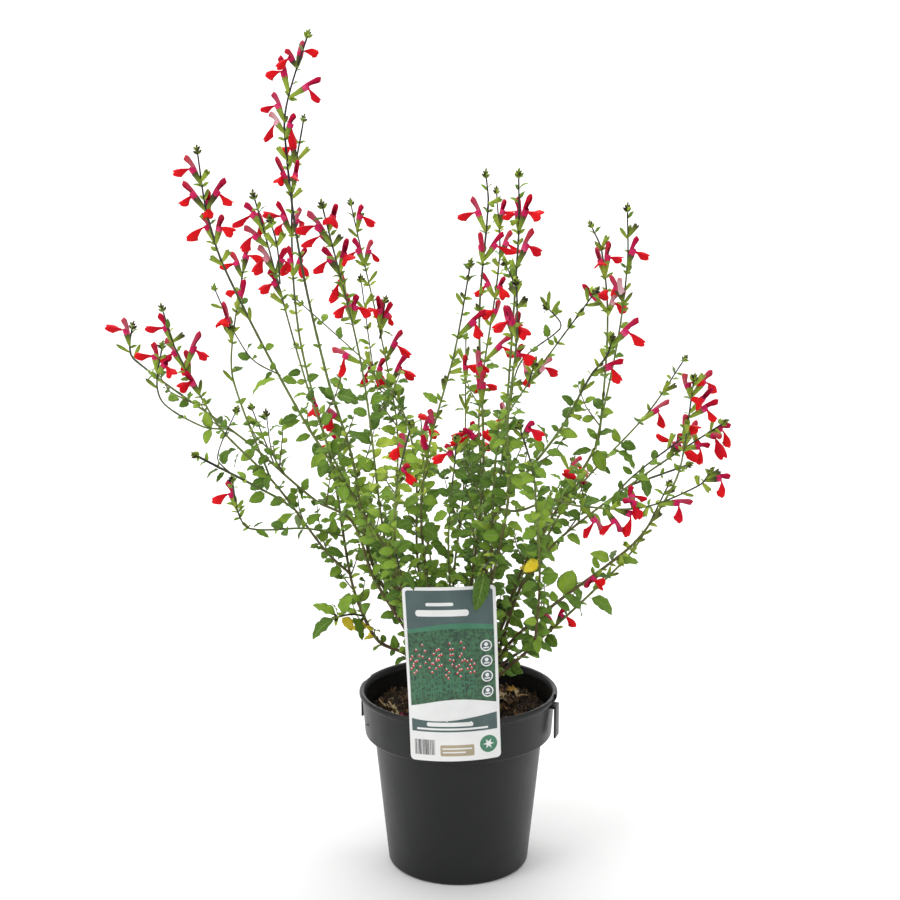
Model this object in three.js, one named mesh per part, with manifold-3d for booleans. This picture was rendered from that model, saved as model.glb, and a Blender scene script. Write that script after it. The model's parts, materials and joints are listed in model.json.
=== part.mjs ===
// A potted hot lips sage: a bushy shrub with red lipped flowers, in a black nursery pot with a plastic label.
// Millimetres, +Z up, +Y away from the front. The origin is the centre of the pot's underside.
import * as THREE from "three";
import Module from "manifold-3d";
import { mergeVertices } from "three/addons/utils/BufferGeometryUtils.js";

const wasm = await Module();
wasm.setup();

// Pot
const POT_HEIGHT = 180;
const POT_SIDES = 32;
const LIP_RADIUS = 100;
const LIP_HEIGHT = 6;
const COLLAR_TOP_RADIUS = 97;
const COLLAR_FOOT_RADIUS = 94.2;
const COLLAR_FOOT = 134.6;
const BODY_TOP_RADIUS = 85;
const BODY_FOOT_RADIUS = 71.1;
const WALL = 2;
const FLOOR = 3;
const TONGUE_ANGLES = [-18, 162];
const TONGUE_WIDTH = 14;
const TONGUE_DROP = 33;
const TONGUE_THICK = 2;
const DRAIN_COUNT = 8;
const DRAIN_RADIUS = 5;
const DRAIN_CIRCLE = 52;
const DRAIN_SIDES = 8;

// Potting mix and the stems' feet
const SOIL_TOP = 156;
const SOIL_BUMP = 2.2;
const SOIL_SIDES = 16;
const SOIL_MIDDLE = 0.55;
const SOIL_GAP = 0.3;
const FOOT_TOP = 161;
const FOOT_END = 140;
const HOLE_END = 139.6;

// Label
const LABEL_WIDTH = 88;
const LABEL_HEIGHT = 170;
const LABEL_FOOT = 141.5;
const LABEL_CENTRE = -3;
const LABEL_LEAN = THREE.MathUtils.degToRad(2.4);
const LABEL_THICK = 0.8;
const LABEL_FLATTER = 160;
const LABEL_GAP = 0.4;
const HOOK_WIDTH = 24;
const HOOK_REACH = 13;
const HOOK_DROP = 20;
const LABEL_COLUMNS = 6;
const LABEL_ROWS = 3;

// Plant. A route, a flower or a leaf is given as seen from VIEW_POINT, on the plane through the pot's axis, and
// its depth then moves it along that line of sight.
const VIEW_POINT = [-8.5, -1400, 664.6];
const STEM_GAP = 1.2;
const SQUARE = 1.2;
const THIN_TOLERANCE = 2.8;
const DEPTH_POWER = 1.45;
const LEAF_GAP = 0.7;
const NODE_SPREAD = 1.8;
const FIRST_CALYCES = 1;
const LARGE_LEAF = 17.2;
const FACING_ROLL = 0.95;
const LIP_REACH = 12.5;
const MERGE_TOLERANCE = 0.04;
const SEED = 20;

// "foot" is where a main stem stands in the soil, "on" the stem that a side shoot grows from, "depth" the tip's
// depth and "thick" the radius at foot and tip. Flowers: node x z, hood tip x z, lip x z. Calyces: node x z,
// tip x z. Leaves: root x z, tip x z, width as a share of the length.
const STEMS = [
  {"name": "left_outer_stem", "foot": [-25, 8], "depth": 150, "thick": [2.3, 0.9],
    "route": [-50, 212, -66, 220, -80, 228, -91, 243, -98, 262, -103, 280, -108, 297, -113, 338, -120, 382,
      -124, 404, -130, 430, -136, 455, -143, 480, -149, 515, -155, 540, -158, 565, -159, 600, -158, 640,
      -159, 668, -155, 700, -150, 735, -147, 739],
    "flowers": [[-155, 699, -158, 727, -164, 714], [-158, 669, -171, 702, -169, 684],
      [-158, 669, -159, 698, -182, 687], [-159, 633, -171, 662, -182, 654],
      [-159, 631, -165, 655, -173, 642], [-159, 629, -179, 648, -187, 634],
      [-159, 592, -164, 620, -171, 599], [-159, 592, -146, 617, -145, 595],
      [-139, 455, -145, 470, -146, 459]],
    "calyces": [[-155, 699, -168, 710], [-155, 699, -143, 712], [-159, 668, -150, 677],
      [-159, 632, -154, 645]],
    "leaves": [[-130, 421, -148, 408, 0.7], [-118, 372, -134, 370, 0.75]]},
  {"name": "left_fan_shoot", "on": "left_outer_stem", "depth": -30, "thick": [1.5, 0.8],
    "route": [-108, 298, -120, 309, -131, 320, -140, 331, -150, 345, -160, 358, -170, 373, -181, 389,
      -190, 400, -200, 410, -215, 424, -228, 438, -236, 450, -243, 460, -253, 480, -262, 498, -268, 508,
      -275, 523, -279, 537, -284, 553, -286, 560],
    "flowers": [[-276, 528, -290, 556, -301, 547], [-265, 502, -284, 530, -286, 516],
      [-265, 502, -250, 535, -245, 516], [-262, 497, -272, 520, -273, 503],
      [-252, 477, -267, 500, -272, 489]],
    "calyces": [[-253, 478, -252, 492], [-276, 528, -266, 535]],
    "leaves": [[-276, 545, -276, 556, 0.5], [-164, 359, -187, 338, 0.42], [-163, 356, -167, 338, 0.5],
      [-172, 374, -189, 368, 0.62], [-183, 394, -206, 384, 0.6], [-185, 396, -204, 402, 0.62],
      [-178, 385, -172, 368, 0.7], [-131, 321, -148, 325, 0.42], [-214, 424, -232, 412, 0.62],
      [-215, 424, -221, 406, 0.7], [-205, 414, -196, 430, 0.66], [-133, 323, -112, 315, 0.5]]},
  {"name": "left_low_spray", "on": "left_fan_shoot", "depth": -75, "thick": [1.1, 0.7],
    "route": [-232, 444, -250, 446, -262, 453, -275, 460, -287, 468, -292, 478, -294, 487, -292, 498,
      -290, 510, -288, 524],
    "flowers": [[-292, 500, -296, 528, -309, 521], [-292, 499, -274, 515, -268, 503]],
    "calyces": [[-293, 484, -303, 494]],
    "leaves": []},
  {"name": "left_bow_shoot", "on": "left_fan_shoot", "depth": 60, "thick": [1.2, 0.8],
    "route": [-184, 394, -190, 408, -194, 420, -200, 435, -205, 447, -210, 460, -215, 475, -219, 490,
      -220, 505, -220, 525, -218, 540, -216, 555, -213, 577, -208, 595, -206, 606],
    "flowers": [[-208, 593, -218, 615, -226, 607], [-207, 597, -202, 620, -192, 612],
      [-216, 558, -210, 586, -222, 577], [-220, 531, -228, 567, -240, 553]],
    "calyces": [[-220, 490, -230, 502], [-220, 531, -231, 543], [-216, 556, -207, 566]],
    "leaves": [[-204, 443, -193, 452, 0.4]]},
  {"name": "left_bow_spray", "on": "left_bow_shoot", "depth": 90, "thick": [0.9, 0.7],
    "route": [-220, 538, -222, 550, -226, 562, -231, 573, -235, 580],
    "flowers": [],
    "calyces": [[-226, 562, -238, 566]],
    "leaves": []},
  {"name": "left_cut_shoot", "on": "left_fan_shoot", "depth": -60, "thick": [1.3, 1.2],
    "route": [-164, 363, -177, 374, -195, 383, -210, 391, -230, 401, -245, 410, -257, 417],
    "flowers": [], "calyces": [],
    "leaves": [[-232, 402, -241, 391, 0.45]]},
  {"name": "left_drooping_shoot", "on": "left_outer_stem", "depth": -70, "thick": [1.1, 0.8],
    "route": [-113, 336, -130, 341, -150, 344, -170, 343, -190, 342, -207, 344, -213, 350, -218, 360,
      -220, 372, -220, 385, -223, 392],
    "flowers": [[-219, 363, -229, 391, -241, 377]],
    "calyces": [[-219, 364, -212, 374]],
    "leaves": [[-204, 344, -189, 336, 0.42], [-204, 345, -192, 353, 0.22]]},
  {"name": "left_low_twig", "on": "left_outer_stem", "depth": -35, "thick": [1.1, 0.8],
    "route": [-98, 252, -107, 256, -117, 255, -122, 253],
    "flowers": [], "calyces": [],
    "leaves": [[-121, 254, -148, 265, 0.52], [-118, 256, -107, 278, 0.85], [-120, 252, -146, 229, 0.6],
      [-119, 252, -106, 238, 0.75], [-108, 256, -97, 229, 0.55], [-121, 255, -126, 271, 0.45]]},
  {"name": "left_far_stem", "foot": [-27, -3], "depth": 40, "thick": [2.2, 0.8],
    "route": [-44, 222, -60, 248, -73, 272, -84, 294, -92, 316, -98, 336, -106, 352, -122, 364, -142, 373,
      -158, 386, -170, 398, -180, 407, -190, 415, -210, 433, -238, 453, -268, 477, -285, 491, -304, 503,
      -316, 513, -319, 528, -316, 543],
    "flowers": [[-318, 527, -322, 553, -336, 547]],
    "calyces": [[-316, 513, -309, 527], [-317, 518, -330, 526]],
    "leaves": [[-316, 537, -308, 544, 0.4], [-142, 373, -158, 376, 0.45], [-102, 345, -86, 352, 0.6],
      [-97, 330, -112, 331, 0.5], [-86, 298, -101, 307, 0.6], [-160, 388, -153, 371, 0.4]]},
  {"name": "left_low_spray_two", "on": "left_far_stem", "depth": 60, "thick": [0.9, 0.7],
    "route": [-180, 408, -184, 425, -190, 440, -196, 452, -202, 464],
    "flowers": [],
    "calyces": [[-196, 451, -206, 455]],
    "leaves": [[-194, 449, -206, 454, 0.35], [-187, 432, -196, 443, 0.45]]},
  {"name": "left_low_spray_three", "on": "left_far_stem", "depth": -5, "thick": [0.9, 0.6],
    "route": [-171, 399, -183, 420, -185, 432, -187, 445, -188, 457],
    "flowers": [], "calyces": [],
    "leaves": [[-186, 440, -176, 451, 0.35], [-187, 452, -196, 458, 0.35], [-172, 402, -164, 418, 0.5]]},
  {"name": "left_low_spray_four", "on": "left_cut_shoot", "depth": -66, "thick": [0.8, 0.6],
    "route": [-226, 399, -233, 405, -237, 415, -232, 430, -228, 438, -221, 450, -218, 461],
    "flowers": [], "calyces": [],
    "leaves": [[-222, 449, -213, 449, 0.25], [-222, 450, -229, 458, 0.3]]},
  {"name": "left_tall_stem", "foot": [-21, -12], "depth": -95, "thick": [2.2, 0.8],
    "route": [-36, 222, -48, 250, -58, 272, -68, 293, -79, 318, -89, 343, -98, 364, -108, 384, -118, 401,
      -130, 419, -145, 441, -155, 459, -165, 480, -174, 497, -188, 525, -201, 550, -213, 575, -225, 600,
      -234, 625, -241, 655, -245, 690, -248, 709],
    "flowers": [[-244, 681, -257, 706, -266, 695], [-241, 654, -263, 680, -264, 666],
      [-241, 654, -224, 681, -218, 664], [-240, 650, -238, 674, -243, 655],
      [-234, 624, -246, 650, -259, 632], [-233, 621, -226, 647, -217, 636]],
    "calyces": [[-228, 606, -221, 617], [-201, 551, -212, 563], [-202, 552, -204, 566],
      [-227, 603, -238, 611], [-244, 681, -237, 690]],
    "leaves": [[-175, 496, -206, 480, 0.4], [-174, 495, -158, 489, 0.62], [-170, 488, -163, 500, 0.6],
      [-155, 459, -176, 450, 0.5], [-152, 453, -177, 442, 0.42], [-142, 437, -159, 431, 0.5],
      [-128, 416, -137, 398, 0.75], [-118, 401, -105, 390, 0.6], [-148, 447, -133, 449, 0.6],
      [-110, 387, -127, 378, 0.6], [-80, 322, -95, 328, 0.6], [-60, 276, -73, 262, 0.6]]},
  {"name": "left_thin_shoot", "on": "left_tall_stem", "depth": -110, "thick": [0.8, 0.6],
    "route": [-175, 497, -185, 500, -200, 512, -207, 521, -212, 528, -219, 541],
    "flowers": [], "calyces": [],
    "leaves": [[-206, 520, -200, 530, 0.7]]},
  {"name": "left_mid_shoot", "foot": [-15, -20], "depth": -135, "thick": [2.1, 0.8],
    "route": [-27, 222, -37, 250, -48, 275, -60, 300, -74, 326, -87, 350, -99, 370, -110, 390, -121, 410,
      -128, 427, -133, 443, -138, 462, -143, 480, -148, 500, -154, 525, -162, 549, -169, 566, -175, 585,
      -182, 612, -187, 635, -193, 660, -195, 667],
    "flowers": [[-189, 641, -205, 663, -216, 648], [-187, 634, -200, 652, -204, 634],
      [-185, 620, -206, 638, -209, 622], [-179, 600, -193, 624, -198, 604],
      [-178, 597, -171, 620, -164, 604], [-172, 573, -181, 598, -187, 583]],
    "calyces": [[-170, 569, -182, 578], [-187, 636, -177, 645]],
    "leaves": [[-190, 655, -182, 663, 0.4], [-149, 505, -163, 502, 0.6], [-142, 478, -158, 478, 0.5],
      [-121, 410, -104, 413, 0.6], [-110, 391, -113, 371, 0.8], [-88, 352, -77, 340, 0.85],
      [-75, 328, -92, 335, 0.55], [-61, 302, -48, 316, 0.6]]},
  {"name": "left_mid_spray", "on": "left_mid_shoot", "depth": -160, "thick": [0.9, 0.7],
    "route": [-176, 588, -174, 605, -174, 620, -178, 632, -180, 645],
    "flowers": [],
    "calyces": [[-174, 620, -184, 633], [-174, 620, -167, 632]],
    "leaves": []},
  {"name": "tallest_stem", "foot": [-17, 3], "depth": 25, "thick": [2.3, 0.9],
    "route": [-34, 215, -48, 240, -62, 262, -74, 282, -84, 303, -91, 325, -94, 345, -96, 365, -99, 388,
      -104, 412, -110, 430, -117, 455, -122, 475, -128, 495, -132, 515, -135, 540, -140, 556, -147, 585,
      -153, 615, -158, 650, -163, 690, -165, 730, -161, 760, -154, 782, -148, 800, -142, 816],
    "flowers": [[-151, 787, -143, 812, -134, 806], [-151, 787, -138, 801, -133, 789],
      [-160, 761, -168, 794, -178, 782], [-160, 761, -131, 778, -131, 762],
      [-166, 738, -176, 763, -185, 752], [-165, 725, -178, 743, -184, 722],
      [-165, 724, -156, 745, -156, 718], [-117, 450, -129, 462, -131, 448]],
    "calyces": [[-151, 787, -157, 801], [-164, 700, -172, 712], [-164, 700, -155, 712]],
    "leaves": [[-146, 803, -153, 811, 0.4], [-128, 494, -113, 482, 0.8], [-122, 476, -95, 468, 0.85],
      [-121, 472, -137, 488, 0.5], [-113, 440, -98, 436, 0.6], [-112, 438, -129, 446, 0.6],
      [-104, 410, -121, 421, 0.5], [-99, 388, -112, 372, 0.8], [-96, 362, -84, 372, 0.6],
      [-93, 338, -112, 345, 0.6], [-90, 322, -78, 314, 0.6], [-85, 306, -103, 314, 0.66],
      [-76, 287, -88, 296, 0.62], [-62, 264, -52, 250, 0.6]]},
  {"name": "front_left_stem", "foot": [-8, -26], "depth": -175, "thick": [2.2, 0.8],
    "route": [-20, 215, -32, 240, -45, 262, -57, 285, -66, 305, -72, 325, -75, 345, -77, 370, -80, 400,
      -84, 428, -87, 455, -90, 480, -94, 503, -99, 525, -104, 545, -111, 565, -116, 590, -121, 622,
      -125, 645, -130, 658],
    "flowers": [[-124, 638, -120, 662, -131, 650], [-122, 624, -143, 653, -152, 640],
      [-122, 620, -141, 638, -152, 625], [-117, 597, -133, 621, -141, 604],
      [-117, 597, -111, 627, -101, 612], [-112, 573, -119, 597, -128, 572],
      [-107, 553, -113, 577, -121, 562], [-104, 548, -99, 574, -92, 562], [-94, 507, -120, 520, -116, 499]],
    "calyces": [[-121, 622, -113, 633], [-112, 571, -128, 578], [-107, 555, -117, 553]],
    "leaves": [[-127, 650, -138, 647, 0.35], [-111, 572, -102, 577, 0.4], [-88, 466, -69, 475, 0.5],
      [-84, 430, -104, 443, 0.55], [-84, 428, -62, 432, 0.7], [-80, 402, -98, 414, 0.72],
      [-80, 400, -62, 410, 0.7], [-77, 372, -60, 379, 0.7], [-77, 371, -94, 380, 0.62],
      [-75, 345, -60, 352, 0.6], [-74, 342, -90, 334, 0.7], [-66, 307, -53, 322, 0.62],
      [-65, 303, -80, 292, 0.7], [-46, 265, -62, 252, 0.6]]},
  {"name": "back_left_stem", "foot": [-14, 20], "depth": 165, "thick": [2.2, 0.8],
    "route": [-30, 215, -45, 243, -60, 275, -67, 305, -66, 330, -63, 355, -61, 380, -61, 410, -61, 440,
      -62, 462, -65, 483, -71, 508, -77, 532, -83, 570, -88, 600, -95, 628, -101, 650, -103, 661],
    "flowers": [[-98, 636, -93, 659, -83, 645], [-89, 601, -99, 625, -106, 610],
      [-88, 600, -82, 622, -76, 607], [-73, 511, -58, 538, -51, 518], [-65, 487, -51, 514, -44, 497]],
    "calyces": [[-95, 628, -105, 637], [-84, 583, -76, 594], [-84, 583, -94, 592], [-88, 600, -99, 606]],
    "leaves": [[-101, 647, -109, 655, 0.4], [-100, 644, -90, 652, 0.4], [-61, 400, -45, 394, 0.62],
      [-61, 378, -76, 367, 0.7], [-62, 440, -50, 452, 0.6], [-65, 480, -80, 486, 0.55],
      [-63, 352, -48, 344, 0.62], [-66, 328, -84, 320, 0.6], [-66, 318, -50, 310, 0.6],
      [-60, 278, -47, 268, 0.62]]},
  {"name": "back_left_spray", "on": "back_left_stem", "depth": 110, "thick": [1.0, 0.7],
    "route": [-76, 530, -76, 545, -74, 556, -71, 568],
    "flowers": [[-76, 543, -70, 568, -59, 556], [-76, 541, -81, 570, -92, 560],
      [-77, 538, -88, 563, -86, 545]],
    "calyces": [[-75, 548, -64, 548]],
    "leaves": [[-76, 540, -64, 534, 0.3]]},
  {"name": "back_left_shoot", "on": "back_left_stem", "depth": 95, "thick": [1.0, 0.7],
    "route": [-64, 476, -76, 482, -82, 497, -86, 525, -89, 545, -91, 560, -94, 588],
    "flowers": [[-83, 498, -90, 511, -98, 491], [-81, 492, -74, 512, -73, 490]],
    "calyces": [[-91, 560, -100, 570], [-91, 562, -83, 573]],
    "leaves": [[-87, 528, -98, 534, 0.45]]},
  {"name": "centre_thin_stem", "foot": [-8, 12], "depth": 120, "thick": [1.9, 0.7],
    "route": [-20, 215, -29, 245, -36, 275, -40, 305, -42, 335, -42, 370, -42, 400, -45, 430, -51, 452,
      -60, 472, -70, 488, -85, 505, -105, 521, -125, 542, -145, 562, -157, 571],
    "flowers": [],
    "calyces": [[-59, 470, -58, 486], [-85, 505, -88, 519]],
    "leaves": [[-45, 428, -33, 421, 0.6], [-43, 405, -58, 398, 0.6], [-42, 372, -27, 364, 0.65],
      [-42, 350, -56, 358, 0.62], [-40, 310, -26, 322, 0.62], [-41, 318, -54, 330, 0.6],
      [-36, 278, -22, 270, 0.6]]},
  {"name": "front_centre_stem", "foot": [0, -17], "depth": -140, "thick": [2.2, 0.8],
    "route": [-12, 215, -21, 245, -28, 275, -33, 305, -36, 335, -37, 360, -35, 385, -31, 410, -28, 430,
      -23, 455, -18, 475, -10, 500, -4, 520, 1, 548, 6, 575, 9, 590, 11, 603],
    "flowers": [[-1, 537, 24, 560, 21, 541], [-31, 416, -22, 438, -40, 434],
      [-27, 440, -20, 462, -33, 456]],
    "calyces": [[4, 565, -3, 577], [-9, 503, 0, 511], [-9, 501, 3, 504], [-16, 482, -16, 494]],
    "leaves": [[8, 587, 17, 597, 0.35], [10, 598, 4, 605, 0.4], [-21, 466, -38, 478, 0.5],
      [-21, 466, -9, 470, 0.2], [-25, 446, -42, 442, 0.5], [-28, 430, -46, 423, 0.42],
      [-28, 428, -10, 421, 0.3], [-32, 405, -14, 394, 0.55], [-32, 402, -48, 392, 0.6],
      [-36, 378, -20, 372, 0.8], [-36, 376, -54, 366, 0.75], [-36, 345, -20, 334, 0.85],
      [-34, 315, -52, 300, 0.5], [-31, 292, -10, 300, 0.5], [-30, 290, -45, 278, 0.6]]},
  {"name": "back_centre_stem", "foot": [1, 22], "depth": 190, "thick": [2.2, 0.8],
    "route": [-3, 215, -5, 250, -5, 290, -2, 325, 2, 355, 5, 385, 6, 415, 5, 440, 5, 460, 6, 480, 8, 505,
      8, 520, 7, 533],
    "flowers": [[6, 490, 6, 514, 14, 507], [5, 425, 12, 448, -5, 436]],
    "calyces": [[8, 507, 1, 521], [8, 507, 11, 522], [5, 462, -1, 477], [5, 462, 10, 477]],
    "leaves": [[5, 462, -6, 461, 0.4], [6, 425, -8, 421, 0.6], [5, 388, -12, 380, 0.8],
      [5, 385, 24, 378, 0.7], [1, 350, -16, 342, 0.7], [1, 346, 16, 338, 0.7], [-4, 300, -19, 309, 0.62],
      [-4, 298, 11, 290, 0.6]]},
  {"name": "centre_tall_stem", "foot": [2, 4], "depth": 40, "thick": [2.2, 0.8],
    "route": [4, 215, 7, 250, 10, 285, 14, 320, 19, 355, 24, 395, 25, 425, 25, 455, 23, 485, 21, 520,
      20, 555, 21, 580, 23, 605, 25, 635, 28, 662, 27, 680, 26, 687],
    "flowers": [[25, 636, 12, 667, 1, 654], [24, 604, 29, 632, 25, 616], [24, 605, 43, 630, 53, 617],
      [22, 496, 16, 521, 27, 505], [22, 470, 14, 500, 21, 486], [24, 468, 40, 494, 42, 478],
      [25, 430, 6, 445, -5, 434], [25, 424, 39, 430, 29, 440]],
    "calyces": [[28, 661, 40, 666], [28, 661, 37, 657], [23, 485, 33, 483]],
    "leaves": [[28, 675, 21, 682, 0.4], [28, 676, 35, 681, 0.4], [25, 446, 37, 450, 0.45],
      [25, 445, 12, 438, 0.45], [24, 418, 8, 410, 0.75], [22, 380, 36, 372, 0.7], [21, 375, 6, 366, 0.7],
      [16, 336, 32, 328, 0.75], [15, 331, 0, 322, 0.6], [10, 290, -8, 299, 0.5], [9, 280, 22, 268, 0.75]]},
  {"name": "back_right_stem", "foot": [9, 14], "depth": 135, "thick": [2.1, 0.8],
    "route": [14, 215, 19, 250, 23, 285, 25, 320, 26, 355, 25, 390, 22, 430, 20, 460, 22, 490, 26, 515,
      31, 545, 35, 568, 37, 590, 39, 610, 40, 640, 38, 662, 36, 672],
    "flowers": [[40, 640, 42, 665, 52, 657], [39, 609, 50, 634, 57, 620], [35, 569, 23, 591, 17, 576],
      [35, 572, 44, 591, 50, 577], [31, 545, 38, 567, 28, 556], [27, 508, 51, 531, 54, 517]],
    "calyces": [[40, 638, 34, 650], [38, 600, 33, 607]],
    "leaves": [[39, 648, 46, 644, 0.35], [30, 540, 41, 536, 0.45], [24, 500, 40, 503, 0.8],
      [22, 430, 38, 440, 0.5], [24, 400, 40, 394, 0.75], [26, 350, 12, 360, 0.7], [25, 330, 40, 340, 0.6],
      [23, 290, 38, 300, 0.6], [20, 262, 34, 254, 0.6]]},
  {"name": "right_tall_stem", "foot": [8, -6], "depth": -70, "thick": [2.2, 0.8],
    "route": [12, 215, 20, 250, 27, 285, 32, 320, 37, 355, 40, 390, 43, 420, 45, 445, 46, 485, 48, 520,
      50, 545, 52, 575, 54, 600, 57, 625, 57, 650, 57, 680, 57, 687],
    "flowers": [[57, 636, 56, 667, 64, 654], [57, 636, 77, 667, 87, 653], [55, 600, 69, 634, 75, 617],
      [50, 540, 46, 566, 55, 551], [45, 446, 42, 469, 40, 452]],
    "calyces": [[54, 598, 48, 609], [52, 572, 57, 586], [57, 648, 65, 645]],
    "leaves": [[57, 675, 54, 682, 0.4], [57, 675, 66, 681, 0.4], [57, 662, 64, 672, 0.4],
      [53, 583, 46, 589, 0.4], [44, 438, 28, 444, 0.5], [44, 436, 62, 450, 0.7], [41, 400, 27, 388, 0.62],
      [39, 382, 24, 392, 0.62], [36, 345, 50, 338, 0.7], [33, 322, 18, 312, 0.62], [28, 290, 14, 300, 0.5],
      [26, 280, 40, 272, 0.75], [20, 252, 32, 240, 0.6]]},
  {"name": "right_tall_spray", "on": "right_tall_stem", "depth": -95, "thick": [0.9, 0.7],
    "route": [52, 586, 49, 597, 45, 604],
    "flowers": [], "calyces": [], "leaves": []},
  {"name": "front_right_stem", "foot": [7, -27], "depth": -180, "thick": [2.2, 0.8],
    "route": [16, 215, 22, 245, 28, 275, 33, 300, 39, 325, 45, 345, 48, 365, 49, 390, 47, 420, 48, 450,
      50, 480, 53, 505, 56, 530, 57, 560, 56, 585],
    "flowers": [[56, 529, 58, 558, 63, 541], [57, 532, 69, 562, 78, 545], [53, 504, 61, 524, 68, 514]],
    "calyces": [[56, 562, 64, 572], [56, 563, 66, 564], [56, 575, 50, 584], [51, 487, 61, 490]],
    "leaves": [[56, 523, 66, 528, 0.4], [50, 470, 62, 478, 0.4], [47, 440, 64, 452, 0.55],
      [47, 435, 32, 428, 0.6], [49, 396, 64, 384, 0.6], [49, 374, 32, 380, 0.6], [49, 372, 64, 364, 0.75],
      [46, 348, 66, 340, 0.75], [42, 336, 22, 334, 0.85], [36, 312, 53, 306, 0.7],
      [34, 306, 15, 297, 0.55], [31, 292, 16, 268, 0.8]]},
  {"name": "front_right_twig", "on": "front_right_stem", "depth": -106, "thick": [0.9, 0.7],
    "route": [38, 325, 33, 318, 29, 309, 25, 302],
    "flowers": [], "calyces": [],
    "leaves": [[26, 304, 10, 262, 0.44], [34, 320, 46, 309, 0.6]]},
  {"name": "right_back_stem", "foot": [15, -20], "depth": -150, "thick": [2.0, 0.7],
    "route": [24, 215, 28, 250, 32, 290, 34, 330, 34, 370, 36, 410, 43, 440, 50, 462, 62, 479, 72, 491,
      88, 515, 100, 533, 112, 549, 125, 566, 131, 577],
    "flowers": [[72, 492, 91, 515, 96, 503], [71, 490, 94, 505, 87, 488]],
    "calyces": [[124, 564, 139, 566], [113, 551, 121, 562], [127, 569, 125, 583]],
    "leaves": [[54, 468, 62, 460, 0.4], [44, 442, 30, 452, 0.5], [36, 408, 52, 402, 0.7],
      [34, 372, 18, 362, 0.7], [34, 335, 50, 326, 0.7], [32, 295, 48, 302, 0.6]]},
  {"name": "right_curly_shoot", "on": "right_back_stem", "depth": -40, "thick": [0.9, 0.7],
    "route": [48, 458, 53, 478, 55, 492, 60, 509, 75, 523, 92, 537, 98, 542, 98, 549, 95, 553, 88, 560,
      86, 562],
    "flowers": [],
    "calyces": [[88, 560, 79, 573], [87, 561, 86, 577], [89, 560, 97, 571], [89, 559, 100, 559]],
    "leaves": []},
  {"name": "right_curly_spray", "on": "right_back_stem", "depth": -120, "thick": [0.8, 0.7],
    "route": [68, 487, 71, 497, 73, 505],
    "flowers": [],
    "calyces": [[72, 501, 76, 515], [72, 500, 82, 511]],
    "leaves": []},
  {"name": "right_upright_stem", "foot": [21, 9], "depth": 105, "thick": [2.2, 0.8],
    "route": [37, 222, 45, 250, 55, 282, 67, 310, 80, 335, 93, 355, 105, 372, 113, 385, 124, 404, 134, 425,
      139, 450, 141, 485, 143, 520, 144, 550, 141, 590, 137, 617, 132, 632, 127, 640],
    "flowers": [[141, 592, 133, 619, 126, 608], [141, 592, 143, 623, 155, 611],
      [143, 557, 121, 581, 137, 574], [143, 557, 151, 577, 158, 566], [119, 393, 127, 387, 108, 397]],
    "calyces": [[137, 617, 130, 626], [137, 617, 142, 629], [143, 556, 150, 564], [143, 510, 140, 522]],
    "leaves": [[141, 592, 149, 598, 0.4], [131, 632, 124, 636, 0.4], [131, 632, 137, 639, 0.4],
      [134, 425, 112, 420, 0.42], [135, 427, 142, 401, 0.6], [136, 430, 124, 442, 0.5],
      [115, 388, 98, 383, 0.6], [96, 360, 112, 352, 0.62], [94, 356, 78, 366, 0.6],
      [80, 337, 66, 346, 0.62], [68, 313, 84, 308, 0.7], [57, 288, 74, 280, 0.75], [46, 255, 62, 246, 0.6]]},
  {"name": "right_upright_shoot", "on": "right_upright_stem", "depth": 35, "thick": [1.2, 0.8],
    "route": [134, 427, 144, 465, 150, 500, 154, 530, 158, 570, 162, 605, 162, 640, 161, 655],
    "flowers": [[161, 602, 169, 630, 178, 615], [157, 566, 153, 590, 161, 579],
      [157, 566, 171, 589, 179, 577]],
    "calyces": [[162, 628, 154, 639], [162, 628, 170, 640], [158, 567, 166, 579]],
    "leaves": [[161, 602, 155, 607, 0.4], [161, 602, 169, 606, 0.4], [162, 645, 168, 653, 0.4],
      [137, 434, 148, 431, 0.55]]},
  {"name": "right_leaning_stem", "foot": [20, -12], "depth": -125, "thick": [2.1, 0.8],
    "route": [26, 218, 27, 260, 26, 300, 28, 335, 38, 362, 54, 381, 68, 400, 84, 420, 98, 441, 109, 460,
      121, 481, 129, 497, 138, 508, 144, 516, 146, 526, 148, 530],
    "flowers": [[146, 526, 171, 552, 177, 534], [129, 498, 157, 511, 156, 496]],
    "calyces": [[146, 526, 153, 538], [142, 512, 150, 519], [121, 481, 123, 495], [121, 481, 133, 491],
      [109, 460, 121, 463], [109, 460, 120, 457]],
    "leaves": [[88, 427, 78, 452, 0.5], [90, 429, 110, 424, 0.4], [90, 430, 103, 436, 0.4],
      [70, 402, 56, 406, 0.55], [70, 403, 87, 397, 0.75], [56, 384, 44, 394, 0.6], [40, 366, 56, 358, 0.7],
      [30, 340, 14, 348, 0.7], [27, 305, 42, 314, 0.7], [27, 270, 40, 280, 0.7]]},
  {"name": "right_level_shoot", "on": "right_leaning_stem", "depth": -75, "thick": [1.4, 0.8],
    "route": [40, 363, 60, 362, 78, 368, 92, 373, 104, 372, 118, 367, 140, 365, 160, 364, 180, 365,
      198, 370, 214, 379, 230, 386, 238, 388, 243, 394, 247, 400],
    "flowers": [[199, 370, 231, 371, 224, 356], [186, 366, 164, 372, 175, 359],
      [170, 364, 178, 384, 170, 377], [126, 366, 143, 343, 131, 337], [145, 365, 159, 344, 145, 341],
      [152, 365, 176, 357, 166, 341], [243, 394, 268, 397, 264, 382]],
    "calyces": [[236, 388, 235, 397], [239, 389, 246, 381], [190, 366, 186, 356], [150, 365, 160, 372],
      [165, 364, 156, 353], [134, 366, 128, 378], [243, 395, 256, 403]],
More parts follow.
